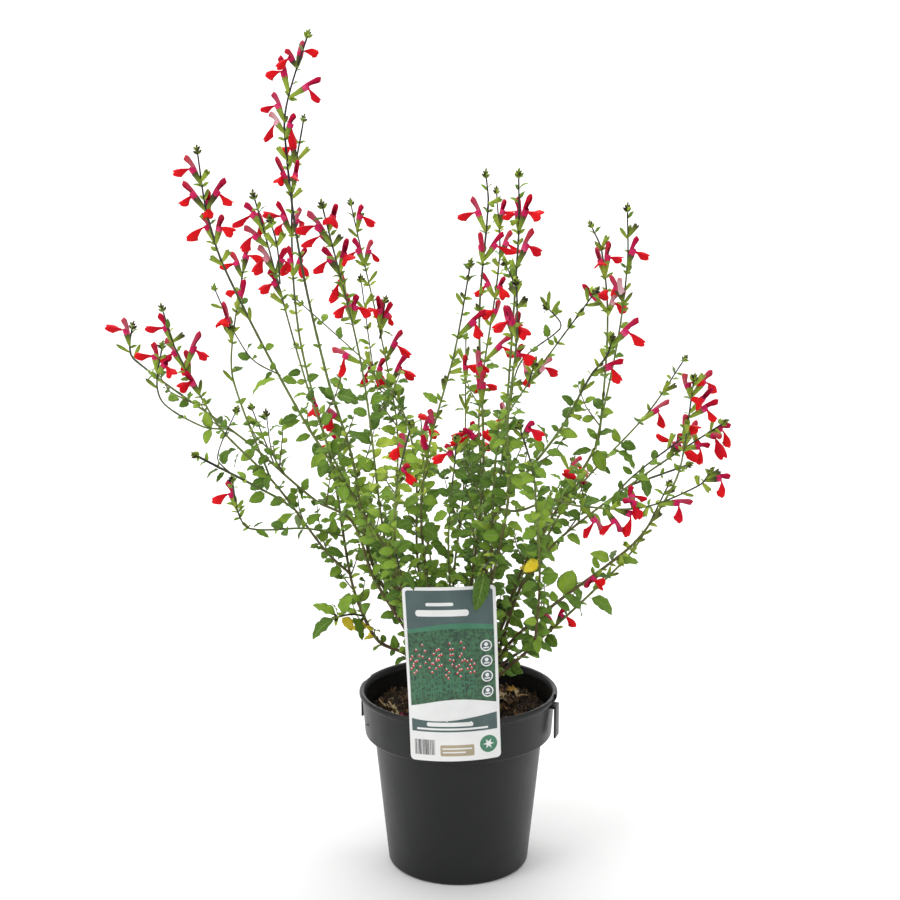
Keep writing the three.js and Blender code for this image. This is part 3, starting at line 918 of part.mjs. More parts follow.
// The skins of each tree's stems, flowers, first calyces and large leaves, each in free room, by tree name.
function dress(laid, room) {
  const shapes = new Map();
  for (const line of laid.values()) {
    shapes.set(line.tree, [...(shapes.get(line.tree) || []), stemShape(line)]);
    room.claim(lineBeads(line), line.name);
  }
  STEMS.forEach((stem, n) => {
    const line = laid.get(stem.name);
    stem.flowers.forEach(([nx, nz, hx, hz, lx, lz], item) => {
      const draw = drawFor(1, n, item);
      const root = nodeOn(line, nx, nz, item);
      const lean = (draw() - 0.5) * 16;
      const hood = seenFrom(root, [nx, nz], [hx, hz], lean);
      const reach = Math.hypot(lx - nx - (hx - nx) * MOUTH_SHARE, lz - nz - (hz - nz) * MOUTH_SHARE);
      const toward = Math.sqrt(Math.max(9, LIP_REACH * LIP_REACH - reach * reach));
      const lip = seenFrom(root, [nx, nz], [lx, lz], lean * MOUTH_SHARE - toward * (0.8 + 0.3 * draw()));
      const ways = TURNS.map((a) => ({ root, hood: turned(root, hood, a), lip: turned(root, lip, a) }));
      shapes.get(line.tree).push(flowerShape(clearest(room, line.name, root, ways, flowerBeads, Infinity)));
    });
  });
  STEMS.forEach((stem, n) => {
    const line = laid.get(stem.name);
    stem.calyces.slice(0, FIRST_CALYCES).forEach(([nx, nz, tx, tz], item) => {
      const draw = drawFor(2, n, item);
      const root = nodeOn(line, nx, nz, item + 1);
      const tip = seenFrom(root, [nx, nz], [tx, tz], (draw() - 0.5) * 12);
      const ways = TURNS.map((a) => turned(root, tip, a));
      const way = clearest(room, line.name, root, ways, (q) => calyxBeads(root, q), 0.5);
      if (way) shapes.get(line.tree).push(calyxShape(root, way));
    });
  });
  STEMS.forEach((stem, n) => {
    const line = laid.get(stem.name);
    stem.leaves.forEach(([nx, nz, tx, tz, share], item) => {
      const draw = drawFor(3, n, item);
      const root = nodeOn(line, nx, nz, item);
      const tip = seenFrom(root, [nx, nz], [tx, tz], (draw() - 0.5) * 14);
      const spread = (draw() - 0.5) * 1.2;
      const roll = (q) => spread - FACING_ROLL * unit(sub(q, root))[0];
      if (size(sub(tip, root)) < LARGE_LEAF) return;
      const ways = TURNS.map((a) => turned(root, tip, a));
      const way = clearest(room, line.name, root, ways, (q) => leafBeads(root, q, share, roll(q)), 0.5);
      if (way) shapes.get(line.tree).push(leafShape(root, way, share, roll(way)));
    });
  });
  return shapes;
}

// Solids
function solid({ points, faces }) {
  const made = new wasm.Manifold(new wasm.Mesh({
    numProp: 3, vertProperties: new Float32Array(points.flat()), triVerts: new Uint32Array(faces.flat()),
  }));
  return made.volume() < 0 ? solid({ points, faces: faces.map(([a, b, c]) => [a, c, b]) }) : made;
}

function solidOf(geometry) {
  const bare = geometry.clone();
  bare.deleteAttribute("normal");
  bare.deleteAttribute("uv");
  const merged = mergeVertices(bare, 1e-3);
  const triVerts = new Uint32Array(merged.index.array);
  return new wasm.Manifold(new wasm.Mesh({
    numProp: 3, vertProperties: merged.attributes.position.array, triVerts,
  }));
}

function meshOf(name, made, color, roughness) {
  const { numProp, numVert, vertProperties, triVerts } = made.getMesh();
  const spots = new Float32Array(numVert * 3);
  for (let i = 0; i < numVert; i++) spots.set(vertProperties.subarray(i * numProp, i * numProp + 3), i * 3);
  const geometry = new THREE.BufferGeometry()
    .setAttribute("position", new THREE.BufferAttribute(spots, 3))
    .setIndex(new THREE.BufferAttribute(new Uint32Array(triVerts), 1));
  geometry.computeVertexNormals();
  const mesh = new THREE.Mesh(geometry, new THREE.MeshStandardMaterial({ color, roughness, metalness: 0 }));
  mesh.name = name;
  return mesh;
}

// A box, turned about Z and then moved.
function block(width, depth, height, at, angle = 0) {
  return solidOf(new THREE.BoxGeometry(width, depth, height).rotateZ(angle).translate(...at));
}

// A solid turned about the pot's axis, from a closed outline of [radius, height].
function turnedSolid(outline, sides = POT_SIDES) {
  const profile = [...outline].reverse().map(([r, z]) => new THREE.Vector2(r, z));
  return solidOf(new THREE.LatheGeometry(profile, sides).rotateX(Math.PI / 2));
}

// The radius inside the pot at a height.
function boreRadius(z) {
  if (z > COLLAR_FOOT + WALL) return COLLAR_FOOT_RADIUS - WALL - 1;
  return BODY_FOOT_RADIUS + (BODY_TOP_RADIUS - BODY_FOOT_RADIUS) * (z / COLLAR_FOOT) - WALL;
}

// The pot: lip, collar, tapered body and floor in one shell, with two tongues in slots and drain holes.
function makePot() {
  const bore = COLLAR_FOOT_RADIUS - WALL;
  let pot = turnedSolid([
    [0, FLOOR], [BODY_FOOT_RADIUS - WALL - 1, FLOOR], [BODY_TOP_RADIUS - WALL, COLLAR_FOOT],
    [bore - 1, COLLAR_FOOT + WALL], [COLLAR_TOP_RADIUS - WALL - 1.5, POT_HEIGHT - LIP_HEIGHT],
    [LIP_RADIUS - 4.5, POT_HEIGHT - 1],
    [LIP_RADIUS - 2, POT_HEIGHT], [LIP_RADIUS, POT_HEIGHT - 1.6], [LIP_RADIUS, POT_HEIGHT - LIP_HEIGHT + 1],
    [COLLAR_TOP_RADIUS, POT_HEIGHT - LIP_HEIGHT - 1], [COLLAR_FOOT_RADIUS, COLLAR_FOOT + 1.5],
    [COLLAR_FOOT_RADIUS - 1.5, COLLAR_FOOT], [BODY_TOP_RADIUS, COLLAR_FOOT], [BODY_FOOT_RADIUS, 2],
    [BODY_FOOT_RADIUS - 2, 0], [0, 0],
  ]);
  for (const degrees of TONGUE_ANGLES) {
    const angle = THREE.MathUtils.degToRad(degrees);
    const at = (radius, z) => [radius * Math.cos(angle), radius * Math.sin(angle), z];
    const slot = block(5, TONGUE_WIDTH + 8, 8, at(LIP_RADIUS - 0.5, POT_HEIGHT - 1), angle);
    const hang = at(LIP_RADIUS + 2, POT_HEIGHT - 7 - TONGUE_DROP / 2);
    const tongue = block(TONGUE_THICK, TONGUE_WIDTH, TONGUE_DROP, hang, angle);
    const bridge = block(6, TONGUE_WIDTH, 3, at(LIP_RADIUS - 0.5, POT_HEIGHT - 8.5), angle);
    pot = pot.subtract(slot).add(tongue).add(bridge);
  }
  for (let i = 0; i < DRAIN_COUNT; i++) {
    const angle = (2 * Math.PI * (i + 0.5)) / DRAIN_COUNT;
    const drain = new THREE.CylinderGeometry(DRAIN_RADIUS, DRAIN_RADIUS, 4 * FLOOR, DRAIN_SIDES);
    drain.rotateX(Math.PI / 2);
    drain.translate(DRAIN_CIRCLE * Math.cos(angle), DRAIN_CIRCLE * Math.sin(angle), FLOOR / 2);
    pot = pot.subtract(solidOf(drain));
  }
  return pot;
}

// The soil fills the pot, with a rough top and a square hole for each stem's foot.
function makeSoil() {
  const draw = draws(SEED + 5);
  const ring = (radius, heightAt) => Array.from({ length: SOIL_SIDES }, (_, i) => {
    const turn = (2 * Math.PI * i) / SOIL_SIDES;
    return [radius * Math.cos(turn), radius * Math.sin(turn), heightAt()];
  });
  const rough = () => SOIL_TOP + (draw() - 0.4) * 2 * SOIL_BUMP;
  const [low, step, top] = [FLOOR + SOIL_GAP, COLLAR_FOOT + 1, COLLAR_FOOT + WALL + 2];
  const { points, faces } = skin([
    ring(BODY_FOOT_RADIUS - WALL - 1 - 2 * SOIL_GAP, () => low),
    ring(BODY_TOP_RADIUS - WALL - 3 * SOIL_GAP, () => step),
    ring(boreRadius(top) - SOIL_GAP, () => top),
    ring(boreRadius(SOIL_TOP) - SOIL_GAP, () => SOIL_TOP - 1),
    ring(SOIL_MIDDLE * boreRadius(SOIL_TOP), rough),
  ], [0, 0, low], [0, 0, SOIL_TOP]);
  let soil = solid({ points, faces });
  for (const stem of STEMS.filter((s) => s.foot)) {
    const wide = stem.thick[0] * SQUARE * Math.SQRT2 + 2 * SOIL_GAP;
    soil = soil.subtract(block(wide, wide, 40, [...stem.foot, HOLE_END + 20]));
  }
  return soil;
}

// A point of the label's sheet: u across it, v up it and out from its inner face. It is curved round the collar
// at its foot and flatter above.
function labelPoint(u, v, out) {
  const inner = LIP_RADIUS + LABEL_GAP;
  const radius = inner + LABEL_FLATTER * Math.max(0, v - 0.25) ** 2;
  const across = (u - 0.5) * LABEL_WIDTH;
  const height = v * LABEL_HEIGHT;
  const angle = (LABEL_CENTRE + across * Math.cos(LABEL_LEAN) - height * Math.sin(LABEL_LEAN)) / radius;
  const z = LABEL_FOOT + height * Math.cos(LABEL_LEAN) + across * Math.sin(LABEL_LEAN);
  return [(radius + out) * Math.sin(angle), radius - inner - (radius + out) * Math.cos(angle), z];
}

// The label: the sheet, and the hook tongue that goes over the lip and down inside it.
function makeLabel() {
  const rings = Array.from({ length: LABEL_COLUMNS + 1 }, (_, i) => {
    const rows = Array.from({ length: LABEL_ROWS + 1 }, (_, j) => j / LABEL_ROWS);
    const face = (out) => rows.map((v) => labelPoint(i / LABEL_COLUMNS, v, out));
    return [...face(0), ...face(LABEL_THICK).reverse()];
  });
  const inner = LIP_RADIUS + LABEL_GAP;
  const over = POT_HEIGHT + LABEL_GAP;
  const middle = [0, HOOK_REACH / 2 - 0.5 - inner, over + LABEL_THICK / 2];
  const bridge = block(HOOK_WIDTH, HOOK_REACH, LABEL_THICK, middle);
  const end = [0, HOOK_REACH - 0.9 - inner, over + LABEL_THICK - HOOK_DROP / 2];
  const drop = block(HOOK_WIDTH, LABEL_THICK, HOOK_DROP, end);
  return sheetSolid(rings).add(bridge).add(drop);
}

// A sheet made of rings that each go up one face and down the other, split alike on both.
function sheetSolid(rings) {
  const count = rings[0].length, half = count / 2;
  const points = rings.flat();
  const faces = [];
  for (let r = 0; r + 1 < rings.length; r++) {
    for (let i = 0; i < count; i++) {
      const a = r * count + i, b = r * count + ((i + 1) % count);
      const back = i >= half && i < count - 1;
      if (back) faces.push([a, b, a + count], [b, b + count, a + count]);
      else faces.push([a, b, b + count], [a, b + count, a + count]);
    }
  }
  const last = (rings.length - 1) * count;
  for (let i = 0; i + 1 < half; i++) {
    const j = count - 1 - i;
    faces.push([i, j, j - 1], [i, j - 1, i + 1]);
    faces.push([last + i, last + j - 1, last + j], [last + i, last + i + 1, last + j - 1]);
  }
  return solid({ points, faces });
}

// What has dropped on the soil: each piece is made above it and lowered until it lies there.
function makeLitter(soil) {
  const stick = (points, radii) => solid(skin(tubeRings(points, radii, 4), null, null));
  const leaf = (root, tip, share, roll) => solid(leafShape(root, tip, share, roll));
  const twig = stick([[-60, -12, 166], [-66, 2, 167], [-71, 16, 169]], [1.3, 1.2, 0.8])
    .add(stick([[-66, 2, 167], [-75, 6, 168], [-81, 15, 172]], [1.1, 0.9, 0.6]));
  const litter = {
    dry_twig: [twig, "#b08a5c"],
    dry_stick: [stick([[60, 33, 165], [66, 36, 166], [72, 38, 165]], [1.4, 1.1, 0.9]), "#cdbb96"],
    dry_leaf_pale: [leaf([40, 20, 166], [58, 34, 167], 0.6, 0.3), "#b49a72"],
    dry_leaf_ochre: [leaf([50, 56, 168], [63, 52, 170], 0.65, -0.5), "#a9782f"],
    fallen_petal: [leaf([-61, -22, 166], [-52, -17, 167], 0.7, 0.2), "#b3305a"],
  };
  return Object.entries(litter).map(([name, [piece, color]]) => [name, lowered(piece, soil), color]);
}

// A piece lowered onto a solid, to a small gap.
function lowered(piece, below) {
  let down = piece;
  for (let i = 0; i < 12; i++) down = down.translate([0, 0, SOIL_GAP - down.minGap(below, 30)]);
  return down;
}

// The largest body of all shapes fused, without the sealed hollows and loose scraps that fusing can leave.
function fused(shapes) {
  const bodies = wasm.Manifold.union(shapes.map(solid)).simplify(MERGE_TOLERANCE).decompose();
  return bodies.sort((a, b) => b.volume() - a.volume())[0];
}

// The plant in its pot
const laid = layOutStems();
easeApart(laid);
const room = new Room();
room.claim(potBeads(), "pot");
room.claim(labelBeads(), "plant_label");
const soil = makeSoil();

const plant = new THREE.Group();
plant.add(meshOf("pot", makePot(), "#262729", 0.45));
plant.add(meshOf("potting_mix", soil, "#2b2018", 0.95));
plant.add(meshOf("plant_label", makeLabel(), "#e8ebe6", 0.4));
for (const [name, piece, color] of makeLitter(soil)) plant.add(meshOf(name, piece, color, 0.8));
for (const [name, shapes] of dress(laid, room)) plant.add(meshOf(name, fused(shapes), "#5d7a2c", 0.6));

export default plant;
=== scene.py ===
# A potted hot lips sage: a bushy shrub with red lipped flowers, in a black nursery pot with a plastic label.
# Metres, +Z up, +Y away from the front. The origin is the centre of the pot's underside.
import collections
import json
import math
import random

import bmesh
import bpy
from mathutils import Matrix, Vector
from mathutils import noise as rough

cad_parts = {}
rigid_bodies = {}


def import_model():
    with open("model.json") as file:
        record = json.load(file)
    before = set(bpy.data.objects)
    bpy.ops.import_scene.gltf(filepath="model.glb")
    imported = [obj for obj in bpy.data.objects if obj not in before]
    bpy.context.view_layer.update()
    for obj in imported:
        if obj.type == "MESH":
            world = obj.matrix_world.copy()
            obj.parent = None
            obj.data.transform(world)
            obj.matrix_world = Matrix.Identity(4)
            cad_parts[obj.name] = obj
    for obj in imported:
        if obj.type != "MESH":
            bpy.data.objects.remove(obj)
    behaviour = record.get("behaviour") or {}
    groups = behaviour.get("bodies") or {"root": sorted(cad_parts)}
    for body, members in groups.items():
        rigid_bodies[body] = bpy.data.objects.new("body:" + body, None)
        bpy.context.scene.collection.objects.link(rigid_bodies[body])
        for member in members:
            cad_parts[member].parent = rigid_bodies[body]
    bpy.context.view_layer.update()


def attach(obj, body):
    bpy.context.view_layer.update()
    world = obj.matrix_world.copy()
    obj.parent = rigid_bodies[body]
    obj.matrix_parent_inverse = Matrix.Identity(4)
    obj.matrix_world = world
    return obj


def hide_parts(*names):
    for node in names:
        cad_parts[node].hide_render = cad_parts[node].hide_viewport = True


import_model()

# The view of the photograph: from the front and a little above, about two arm's lengths away. The lens and
# the frame that it fills are in millimetres.
EYE = (-0.00846, -1.4, 0.6646)
LOOK_DOWN = math.radians(9.79)
LENS = 57.86
FRAME_WIDTH = 36
NEAREST_SEEN = 0.01

camera = bpy.data.objects.new("camera", bpy.data.cameras.new("camera"))
camera.location = EYE
camera.rotation_euler = (math.pi / 2 - LOOK_DOWN, 0, 0)
camera.data.lens = LENS
camera.data.sensor_width = FRAME_WIDTH
camera.data.clip_start = NEAREST_SEEN
bpy.context.scene.collection.objects.link(camera)
bpy.context.scene.camera = camera

# The pot is moulded from black polypropylene: a rounded lip, a deep collar and a tapered body in one thin
# wall, with two lifting tongues that hang in front of slots in the lip, and drain holes round the floor.
# Sizes are in millimetres from here on, and MM turns them to metres.
MM = 0.001
POT_HEIGHT = 180
LIP_RADIUS = 100
LIP_HEIGHT = 6
COLLAR_TOP_RADIUS = 97
COLLAR_FOOT_RADIUS = 94.2
COLLAR_FOOT = 134.6
BODY_TOP_RADIUS = 85
BODY_FOOT_RADIUS = 71.1
WALL = 2
FLOOR = 3
TONGUE_ANGLES = (-18, 162)
TONGUE_WIDTH = 14
TONGUE_DROP = 33
TONGUE_THICK = 2
TONGUE_OUT = 2
TONGUE_ROOT = (6, TONGUE_WIDTH, 3)
TONGUE_TOP = 7
SLOT = (5, TONGUE_WIDTH + 8, 8)
SLOT_IN = 0.5
DRAIN_COUNT = 8
DRAIN_RADIUS = 5
DRAIN_CIRCLE = 52
DRAIN_SIDES = 32
POT_SIDES = 160
POT_EASE = 1.2
SHARP = math.radians(40)


def piece_of(name, points, faces, material, scale=MM):
    """A mesh object from points and faces, smooth where its faces meet gently."""
    mesh = bpy.data.meshes.new(name)
    mesh.from_pydata([Vector(p) * scale for p in points], [], faces)
    mesh.materials.append(material)
    mesh.polygons.foreach_set("use_smooth", [True] * len(mesh.polygons))
    made = bpy.data.objects.new(name, mesh)
    bpy.context.scene.collection.objects.link(made)
    return made


def plain_mesh(made):
    """Turns an object with its modifiers into one plain mesh."""
    bpy.context.view_layer.update()
    graph = bpy.context.evaluated_depsgraph_get()
    mesh = bpy.data.meshes.new_from_object(
        made.evaluated_get(graph), preserve_all_data_layers=True, depsgraph=graph)
    made.modifiers.clear()
    made.data = mesh
    mesh.name = made.name
    return made


def mounted(made, slot, *nodes):
    """Puts a finished piece on the pot's body, in place of CAD nodes."""
    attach(made, "root")
    if nodes:
        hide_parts(*nodes)
    return made


class Finish:
    """A node material: plain numbers on the shader's own sockets, and patterns linked to them."""

    def __init__(self, name, **sockets):
        self.material = bpy.data.materials.new(name)
        self.material.use_nodes = True
        self.nodes = self.material.node_tree.nodes
        self.links = self.material.node_tree.links
        self.shader = self.nodes["Principled BSDF"]
        self.place = self.node("TexCoord").outputs["Object"]
        for socket, value in sockets.items():
            self.shader.inputs[socket.replace("_", " ")].default_value = value

    def node(self, kind, inputs=None, **settings):
        made = self.nodes.new("ShaderNode" + kind)
        for key, value in settings.items():
            setattr(made, key, value)
        for key, value in (inputs or {}).items():
            self.feed(made.inputs[key], value)
        return made

    def feed(self, socket, value):
        if isinstance(value, bpy.types.NodeSocket):
            self.links.new(value, socket)
        else:
            socket.default_value = value

    def noise(self, scale, detail=4, stretch=(1, 1, 1)):
        """Fractal noise of so many waves a metre."""
        spread = self.node("Mapping", {"Vector": self.place, "Scale": stretch})
        made = self.node("TexNoise", {"Vector": spread.outputs[0], "Scale": scale, "Detail": detail})
        return made.outputs["Fac"]

    def steps(self, factor, stops):
        """A colour ramp over (position, colour) stops."""
        made = self.node("ValToRGB", {"Fac": factor})
        ramp = made.color_ramp
        while len(ramp.elements) < len(stops):
            ramp.elements.new(0.5)
        for element, (position, colour) in zip(ramp.elements, stops):
            element.position = position
            element.color = (*colour, 1)
        return made.outputs["Color"]

    def maths(self, operation, a, b=0.0):
        return self.node("Math", {0: a, 1: b}, operation=operation).outputs[0]

    def mixed(self, factor, a, b):
        """Two colours mixed."""
        made = self.node("Mix", data_type="RGBA")
        colours = [s for s in made.inputs if s.type == "RGBA"]
        self.feed(made.inputs[0], factor)
        for socket, value in zip(colours, (a, b)):
            self.feed(socket, (*value, 1) if isinstance(value, tuple) else value)
        return [s for s in made.outputs if s.type == "RGBA"][0]

    def attribute(self, name):
        return self.node("Attribute", attribute_name=name).outputs["Fac"]

    def colour(self, value):
        self.feed(self.shader.inputs["Base Color"], value)

    def roughness(self, factor, low, high):
        """Roughness between low and high as a pattern goes from 0 to 1."""
        made = self.node("MapRange", {"Value": factor, "To Min": low, "To Max": high})
        self.feed(self.shader.inputs["Roughness"], made.outputs[0])

    def bump(self, height, distance, strength=1.0):
        """Raises the surface by the pattern, so many metres high."""
        inputs = {"Height": height, "Distance": distance, "Strength": strength}
        before = self.shader.inputs["Normal"].links
        if before:
            inputs["Normal"] = before[0].from_socket
        made = self.node("Bump", inputs)
        self.feed(self.shader.inputs["Normal"], made.outputs[0])


pot_plastic = Finish("black_pot_plastic", Specular_IOR_Level=0.3)
POT_BLACK = (0.006, 0.0065, 0.007)
POT_WORN = (0.012, 0.0125, 0.013)
blotches = pot_plastic.noise(28, 5)
pot_plastic.colour(pot_plastic.mixed(blotches, POT_BLACK, POT_WORN))
pot_plastic.roughness(pot_plastic.noise(60, 6, (1, 1, 0.25)), 0.3, 0.5)
pot_plastic.bump(pot_plastic.noise(1700, 2), 0.00004, 0.5)
pot_plastic.bump(pot_plastic.noise(45, 3, (1, 1, 2.5)), 0.0004, 0.35)


def rounded(outline, radius, steps=4):
    """An open outline of [radius, height] with each corner eased by a short curve."""
    eased = [outline[0]]
    for before, corner, after in zip(outline, outline[1:], outline[2:]):
        a, b, c = Vector(before), Vector(corner), Vector(after)
        reach = min(radius, (a - b).length * 0.45, (c - b).length * 0.45)
        start, end = b + (a - b).normalized() * reach, b + (c - b).normalized() * reach
        for i in range(steps + 1):
            t = i / steps
            eased.append(tuple(start.lerp(b, t).lerp(b.lerp(end, t), t)))
    return eased + [outline[-1]]


def turned_skin(outline, sides):
    """Points and faces of a solid turned about the upright axis. The outline starts and ends on it."""
    points = [(0, 0, outline[0][1])]
    for r, z in outline[1:-1]:
        turns = [2 * math.pi * k / sides for k in range(sides)]
        points += [(r * math.cos(t), r * math.sin(t), z) for t in turns]
    points.append((0, 0, outline[-1][1]))
    faces = []
    for k in range(sides):
        after = (k + 1) % sides
        faces.append((0, 1 + k, 1 + after))
        for row in range(len(outline) - 3):
            low = 1 + row * sides
            faces.append((low + k, low + sides + k, low + sides + after, low + after))
        last = 1 + (len(outline) - 3) * sides
        faces.append((last + k, len(points) - 1, last + after))
    return points, faces


def block(width, depth, height, at, angle, ease=0.5):
    """A box with eased edges, turned about Z and then moved."""
    shape = bmesh.new()
    bmesh.ops.create_cube(shape, size=1)
    bmesh.ops.scale(shape, vec=(width, depth, height), verts=shape.verts)
    bmesh.ops.bevel(shape, geom=shape.edges[:], offset=ease, segments=2, affect="EDGES", profile=0.5)
    place = Matrix.Translation(at) @ Matrix.Rotation(angle, 4, "Z")
    bmesh.ops.transform(shape, verts=shape.verts, matrix=place)
    shape.verts.index_update()
    points = [tuple(v.co) for v in shape.verts]
    faces = [tuple(v.index for v in f.verts) for f in shape.faces]
    shape.free()
    return points, faces


def cut_or_joined(made, operation, tools):
    """Cuts tools out of a piece, or joins them to it."""
    group = bpy.data.collections.new(operation)
    for points, faces in tools:
        tool = piece_of("tool", points, faces, made.data.materials[0])
        bpy.context.scene.collection.objects.unlink(tool)
        group.objects.link(tool)
    bpy.context.scene.collection.children.link(group)
    work = made.modifiers.new(operation, "BOOLEAN")
    work.operation = operation
    work.operand_type = "COLLECTION"
    work.collection = group
    work.solver = "EXACT"
    plain_mesh(made)
    for tool in list(group.objects):
        bpy.data.objects.remove(tool)
    bpy.data.collections.remove(group)
    return made


bore = COLLAR_FOOT_RADIUS - WALL
pot_outline = rounded([
    (0, FLOOR), (BODY_FOOT_RADIUS - WALL - 1, FLOOR), (BODY_TOP_RADIUS - WALL, COLLAR_FOOT),
    (bore - 1, COLLAR_FOOT + WALL), (COLLAR_TOP_RADIUS - WALL - 1.5, POT_HEIGHT - LIP_HEIGHT),
    (LIP_RADIUS - 4.5, POT_HEIGHT - 1), (LIP_RADIUS - 2, POT_HEIGHT), (LIP_RADIUS, POT_HEIGHT - 1.6),
    (LIP_RADIUS, POT_HEIGHT - LIP_HEIGHT + 1), (COLLAR_TOP_RADIUS, POT_HEIGHT - LIP_HEIGHT - 1),
    (COLLAR_FOOT_RADIUS, COLLAR_FOOT + 1.5), (COLLAR_FOOT_RADIUS - 1.5, COLLAR_FOOT),
    (BODY_TOP_RADIUS, COLLAR_FOOT), (BODY_FOOT_RADIUS, 2), (BODY_FOOT_RADIUS - 2, 0), (0, 0),
], POT_EASE)
pot = piece_of("nursery_pot", *turned_skin(pot_outline, POT_SIDES), pot_plastic.material)
slots, tongues = [], []
for degrees in TONGUE_ANGLES:
    angle = math.radians(degrees)
    out = Vector((math.cos(angle), math.sin(angle), 0))
    up = Vector((0, 0, 1))
    slots.append(block(*SLOT, out * (LIP_RADIUS - SLOT_IN) + up * (POT_HEIGHT - 1), angle))
    hang = out * (LIP_RADIUS + TONGUE_OUT) + up * (POT_HEIGHT - TONGUE_TOP - TONGUE_DROP / 2)
    tongues.append(block(TONGUE_THICK, TONGUE_WIDTH, TONGUE_DROP, hang, angle))
    foot = out * (LIP_RADIUS - SLOT_IN) + up * (POT_HEIGHT - TONGUE_TOP - TONGUE_ROOT[2] / 2)
    tongues.append(block(*TONGUE_ROOT, foot, angle))
drains = []
for i in range(DRAIN_COUNT):
    angle = 2 * math.pi * (i + 0.5) / DRAIN_COUNT
    hole = turned_skin([(0, 4 * FLOOR), (DRAIN_RADIUS, 4 * FLOOR), (DRAIN_RADIUS, -FLOOR), (0, -FLOOR)],
                       DRAIN_SIDES)
    at = Vector((DRAIN_CIRCLE * math.cos(angle), DRAIN_CIRCLE * math.sin(angle), 0))
    drains.append(([Vector(p) + at for p in hole[0]], [tuple(reversed(f)) for f in hole[1]]))
cut_or_joined(pot, "DIFFERENCE", slots + drains)
cut_or_joined(pot, "UNION", tongues)
pot.data.set_sharp_from_angle(angle=SHARP)
mounted(pot, "pot_plastic", "pot")

# The potting mix fills the pot to a little under its lip. It is composted bark: a dark body with crumbs,
# chips of bark and a few pale grains of perlite lying loose on top.
SOIL_TOP = 156
SOIL_RINGS = 34
SOIL_SIDES = 120
SOIL_GAP = 0.3
SOIL_WET, SOIL_DRY = (0.012, 0.008, 0.0055), (0.055, 0.037, 0.023)
MOUND_WAVES, MOUND_HEIGHT = 0.018, 3.4
LUMP_WAVES, LUMP_HEIGHT = 0.11, 1.5
LEVEL_ENOUGH = 0.35
FULL_TURN = (6.28, 6.28, 6.28)


def bore_radius(z):
    """The radius inside the pot at a height."""
    if z > COLLAR_FOOT + WALL:
        return COLLAR_FOOT_RADIUS - WALL - 1
    return BODY_FOOT_RADIUS + (BODY_TOP_RADIUS - BODY_FOOT_RADIUS) * (z / COLLAR_FOOT) - WALL


def soil_height(x, y):
    """The rough top of the mix: low mounds with lumps on them."""
    mounds = rough.noise(Vector((x * MOUND_WAVES, y * MOUND_WAVES, 3.1))) * MOUND_HEIGHT
    lumps = rough.fractal(Vector((x * LUMP_WAVES, y * LUMP_WAVES, 7.7)), 0.8, 2.2, 4) * LUMP_HEIGHT
    return SOIL_TOP - 0.4 + mounds + lumps


def grained(name, colours, gloss, relief, **sockets):
    """A finish whose colour, roughness and relief each follow a noise, given with its values."""
    made = Finish(name, **sockets)
    made.colour(made.steps(made.noise(*colours[0]), colours[1]))
    made.roughness(made.noise(*gloss[0]), *gloss[1:])
    made.bump(made.noise(*relief[0]), *relief[1:])
    return made.material


soil_finish = grained("potting_mix_dark", ((260, 8), [(0.38, SOIL_WET), (0.66, SOIL_DRY)]),
                      ((300, 4), 0.75, 1.0), ((900, 6), 0.0012), Specular_IOR_Level=0.2)

soil_rim = bore_radius(SOIL_TOP) - SOIL_GAP
soil_outline = [(0, FLOOR + SOIL_GAP), (BODY_FOOT_RADIUS - WALL - 1.6, FLOOR + SOIL_GAP),
                (BODY_TOP_RADIUS - WALL - 0.9, COLLAR_FOOT + 1), (soil_rim, COLLAR_FOOT + WALL + 2)]
soil_outline += [(soil_rim * (1 - i / SOIL_RINGS), SOIL_TOP) for i in range(SOIL_RINGS + 1)]
points, faces = turned_skin(soil_outline, SOIL_SIDES)
points = [(x, y, soil_height(x, y)) if z >= SOIL_TOP else (x, y, z) for x, y, z in points]
soil = piece_of("potting_mix_body", points, [tuple(reversed(f)) for f in faces], soil_finish)
mounted(soil, "potting_mix", "potting_mix")


def lump(name, seed, stretch, uneven, subdivisions=1):
    """A rough little lump, about 1 across, as a mesh object outside the scene."""
    shape = bmesh.new()
    bmesh.ops.create_icosphere(shape, subdivisions=subdivisions, radius=0.5)
    for v in shape.verts:
        v.co *= 1 + uneven * rough.noise(v.co * 2.3 + Vector((seed * 5.1, 0, 0)))
        v.co = Vector(a * b for a, b in zip(v.co, stretch))
    mesh = bpy.data.meshes.new(name)
    shape.to_mesh(mesh)
    shape.free()
    return bpy.data.objects.new(name, mesh)


def group_of(name, objects):
    """A collection that only serves as a choice of shapes."""
    group = bpy.data.collections.new(name)
    for made in objects:
        group.objects.link(made)
    return group


def dropped(group):
    """Removes such a collection and what is in it."""
    for made in list(group.objects):
        bpy.data.objects.remove(made)
    bpy.data.collections.remove(group)


def tree_of(name, sockets):
    """An empty Geometry Nodes tree with named inputs, and its two end nodes."""
    tree = bpy.data.node_groups.new(name, "GeometryNodeTree")
    tree.interface.new_socket("Geometry", in_out="INPUT", socket_type="NodeSocketGeometry")
    for label, kind in sockets.items():
        tree.interface.new_socket(label, in_out="INPUT", socket_type="NodeSocket" + kind)
    tree.interface.new_socket("Geometry", in_out="OUTPUT", socket_type="NodeSocketGeometry")
    return tree, tree.nodes.new("NodeGroupInput"), tree.nodes.new("NodeGroupOutput")


def geometry_node(tree, kind, inputs=None, **settings):
    made = tree.nodes.new(kind)
    for key, value in settings.items():
        setattr(made, key, value)
    for key, value in (inputs or {}).items():
        if isinstance(value, bpy.types.NodeSocket):
            tree.links.new(value, made.inputs[key])
        else:
            made.inputs[key].default_value = value
    return made


def shapes_in(tree, given):
    """The choice of shapes in the collection that a tree is given."""
    return geometry_node(tree, "GeometryNodeCollectionInfo", {
        "Collection": given.outputs["Shapes"], "Separate Children": True, "Reset Children": True}).outputs[0]


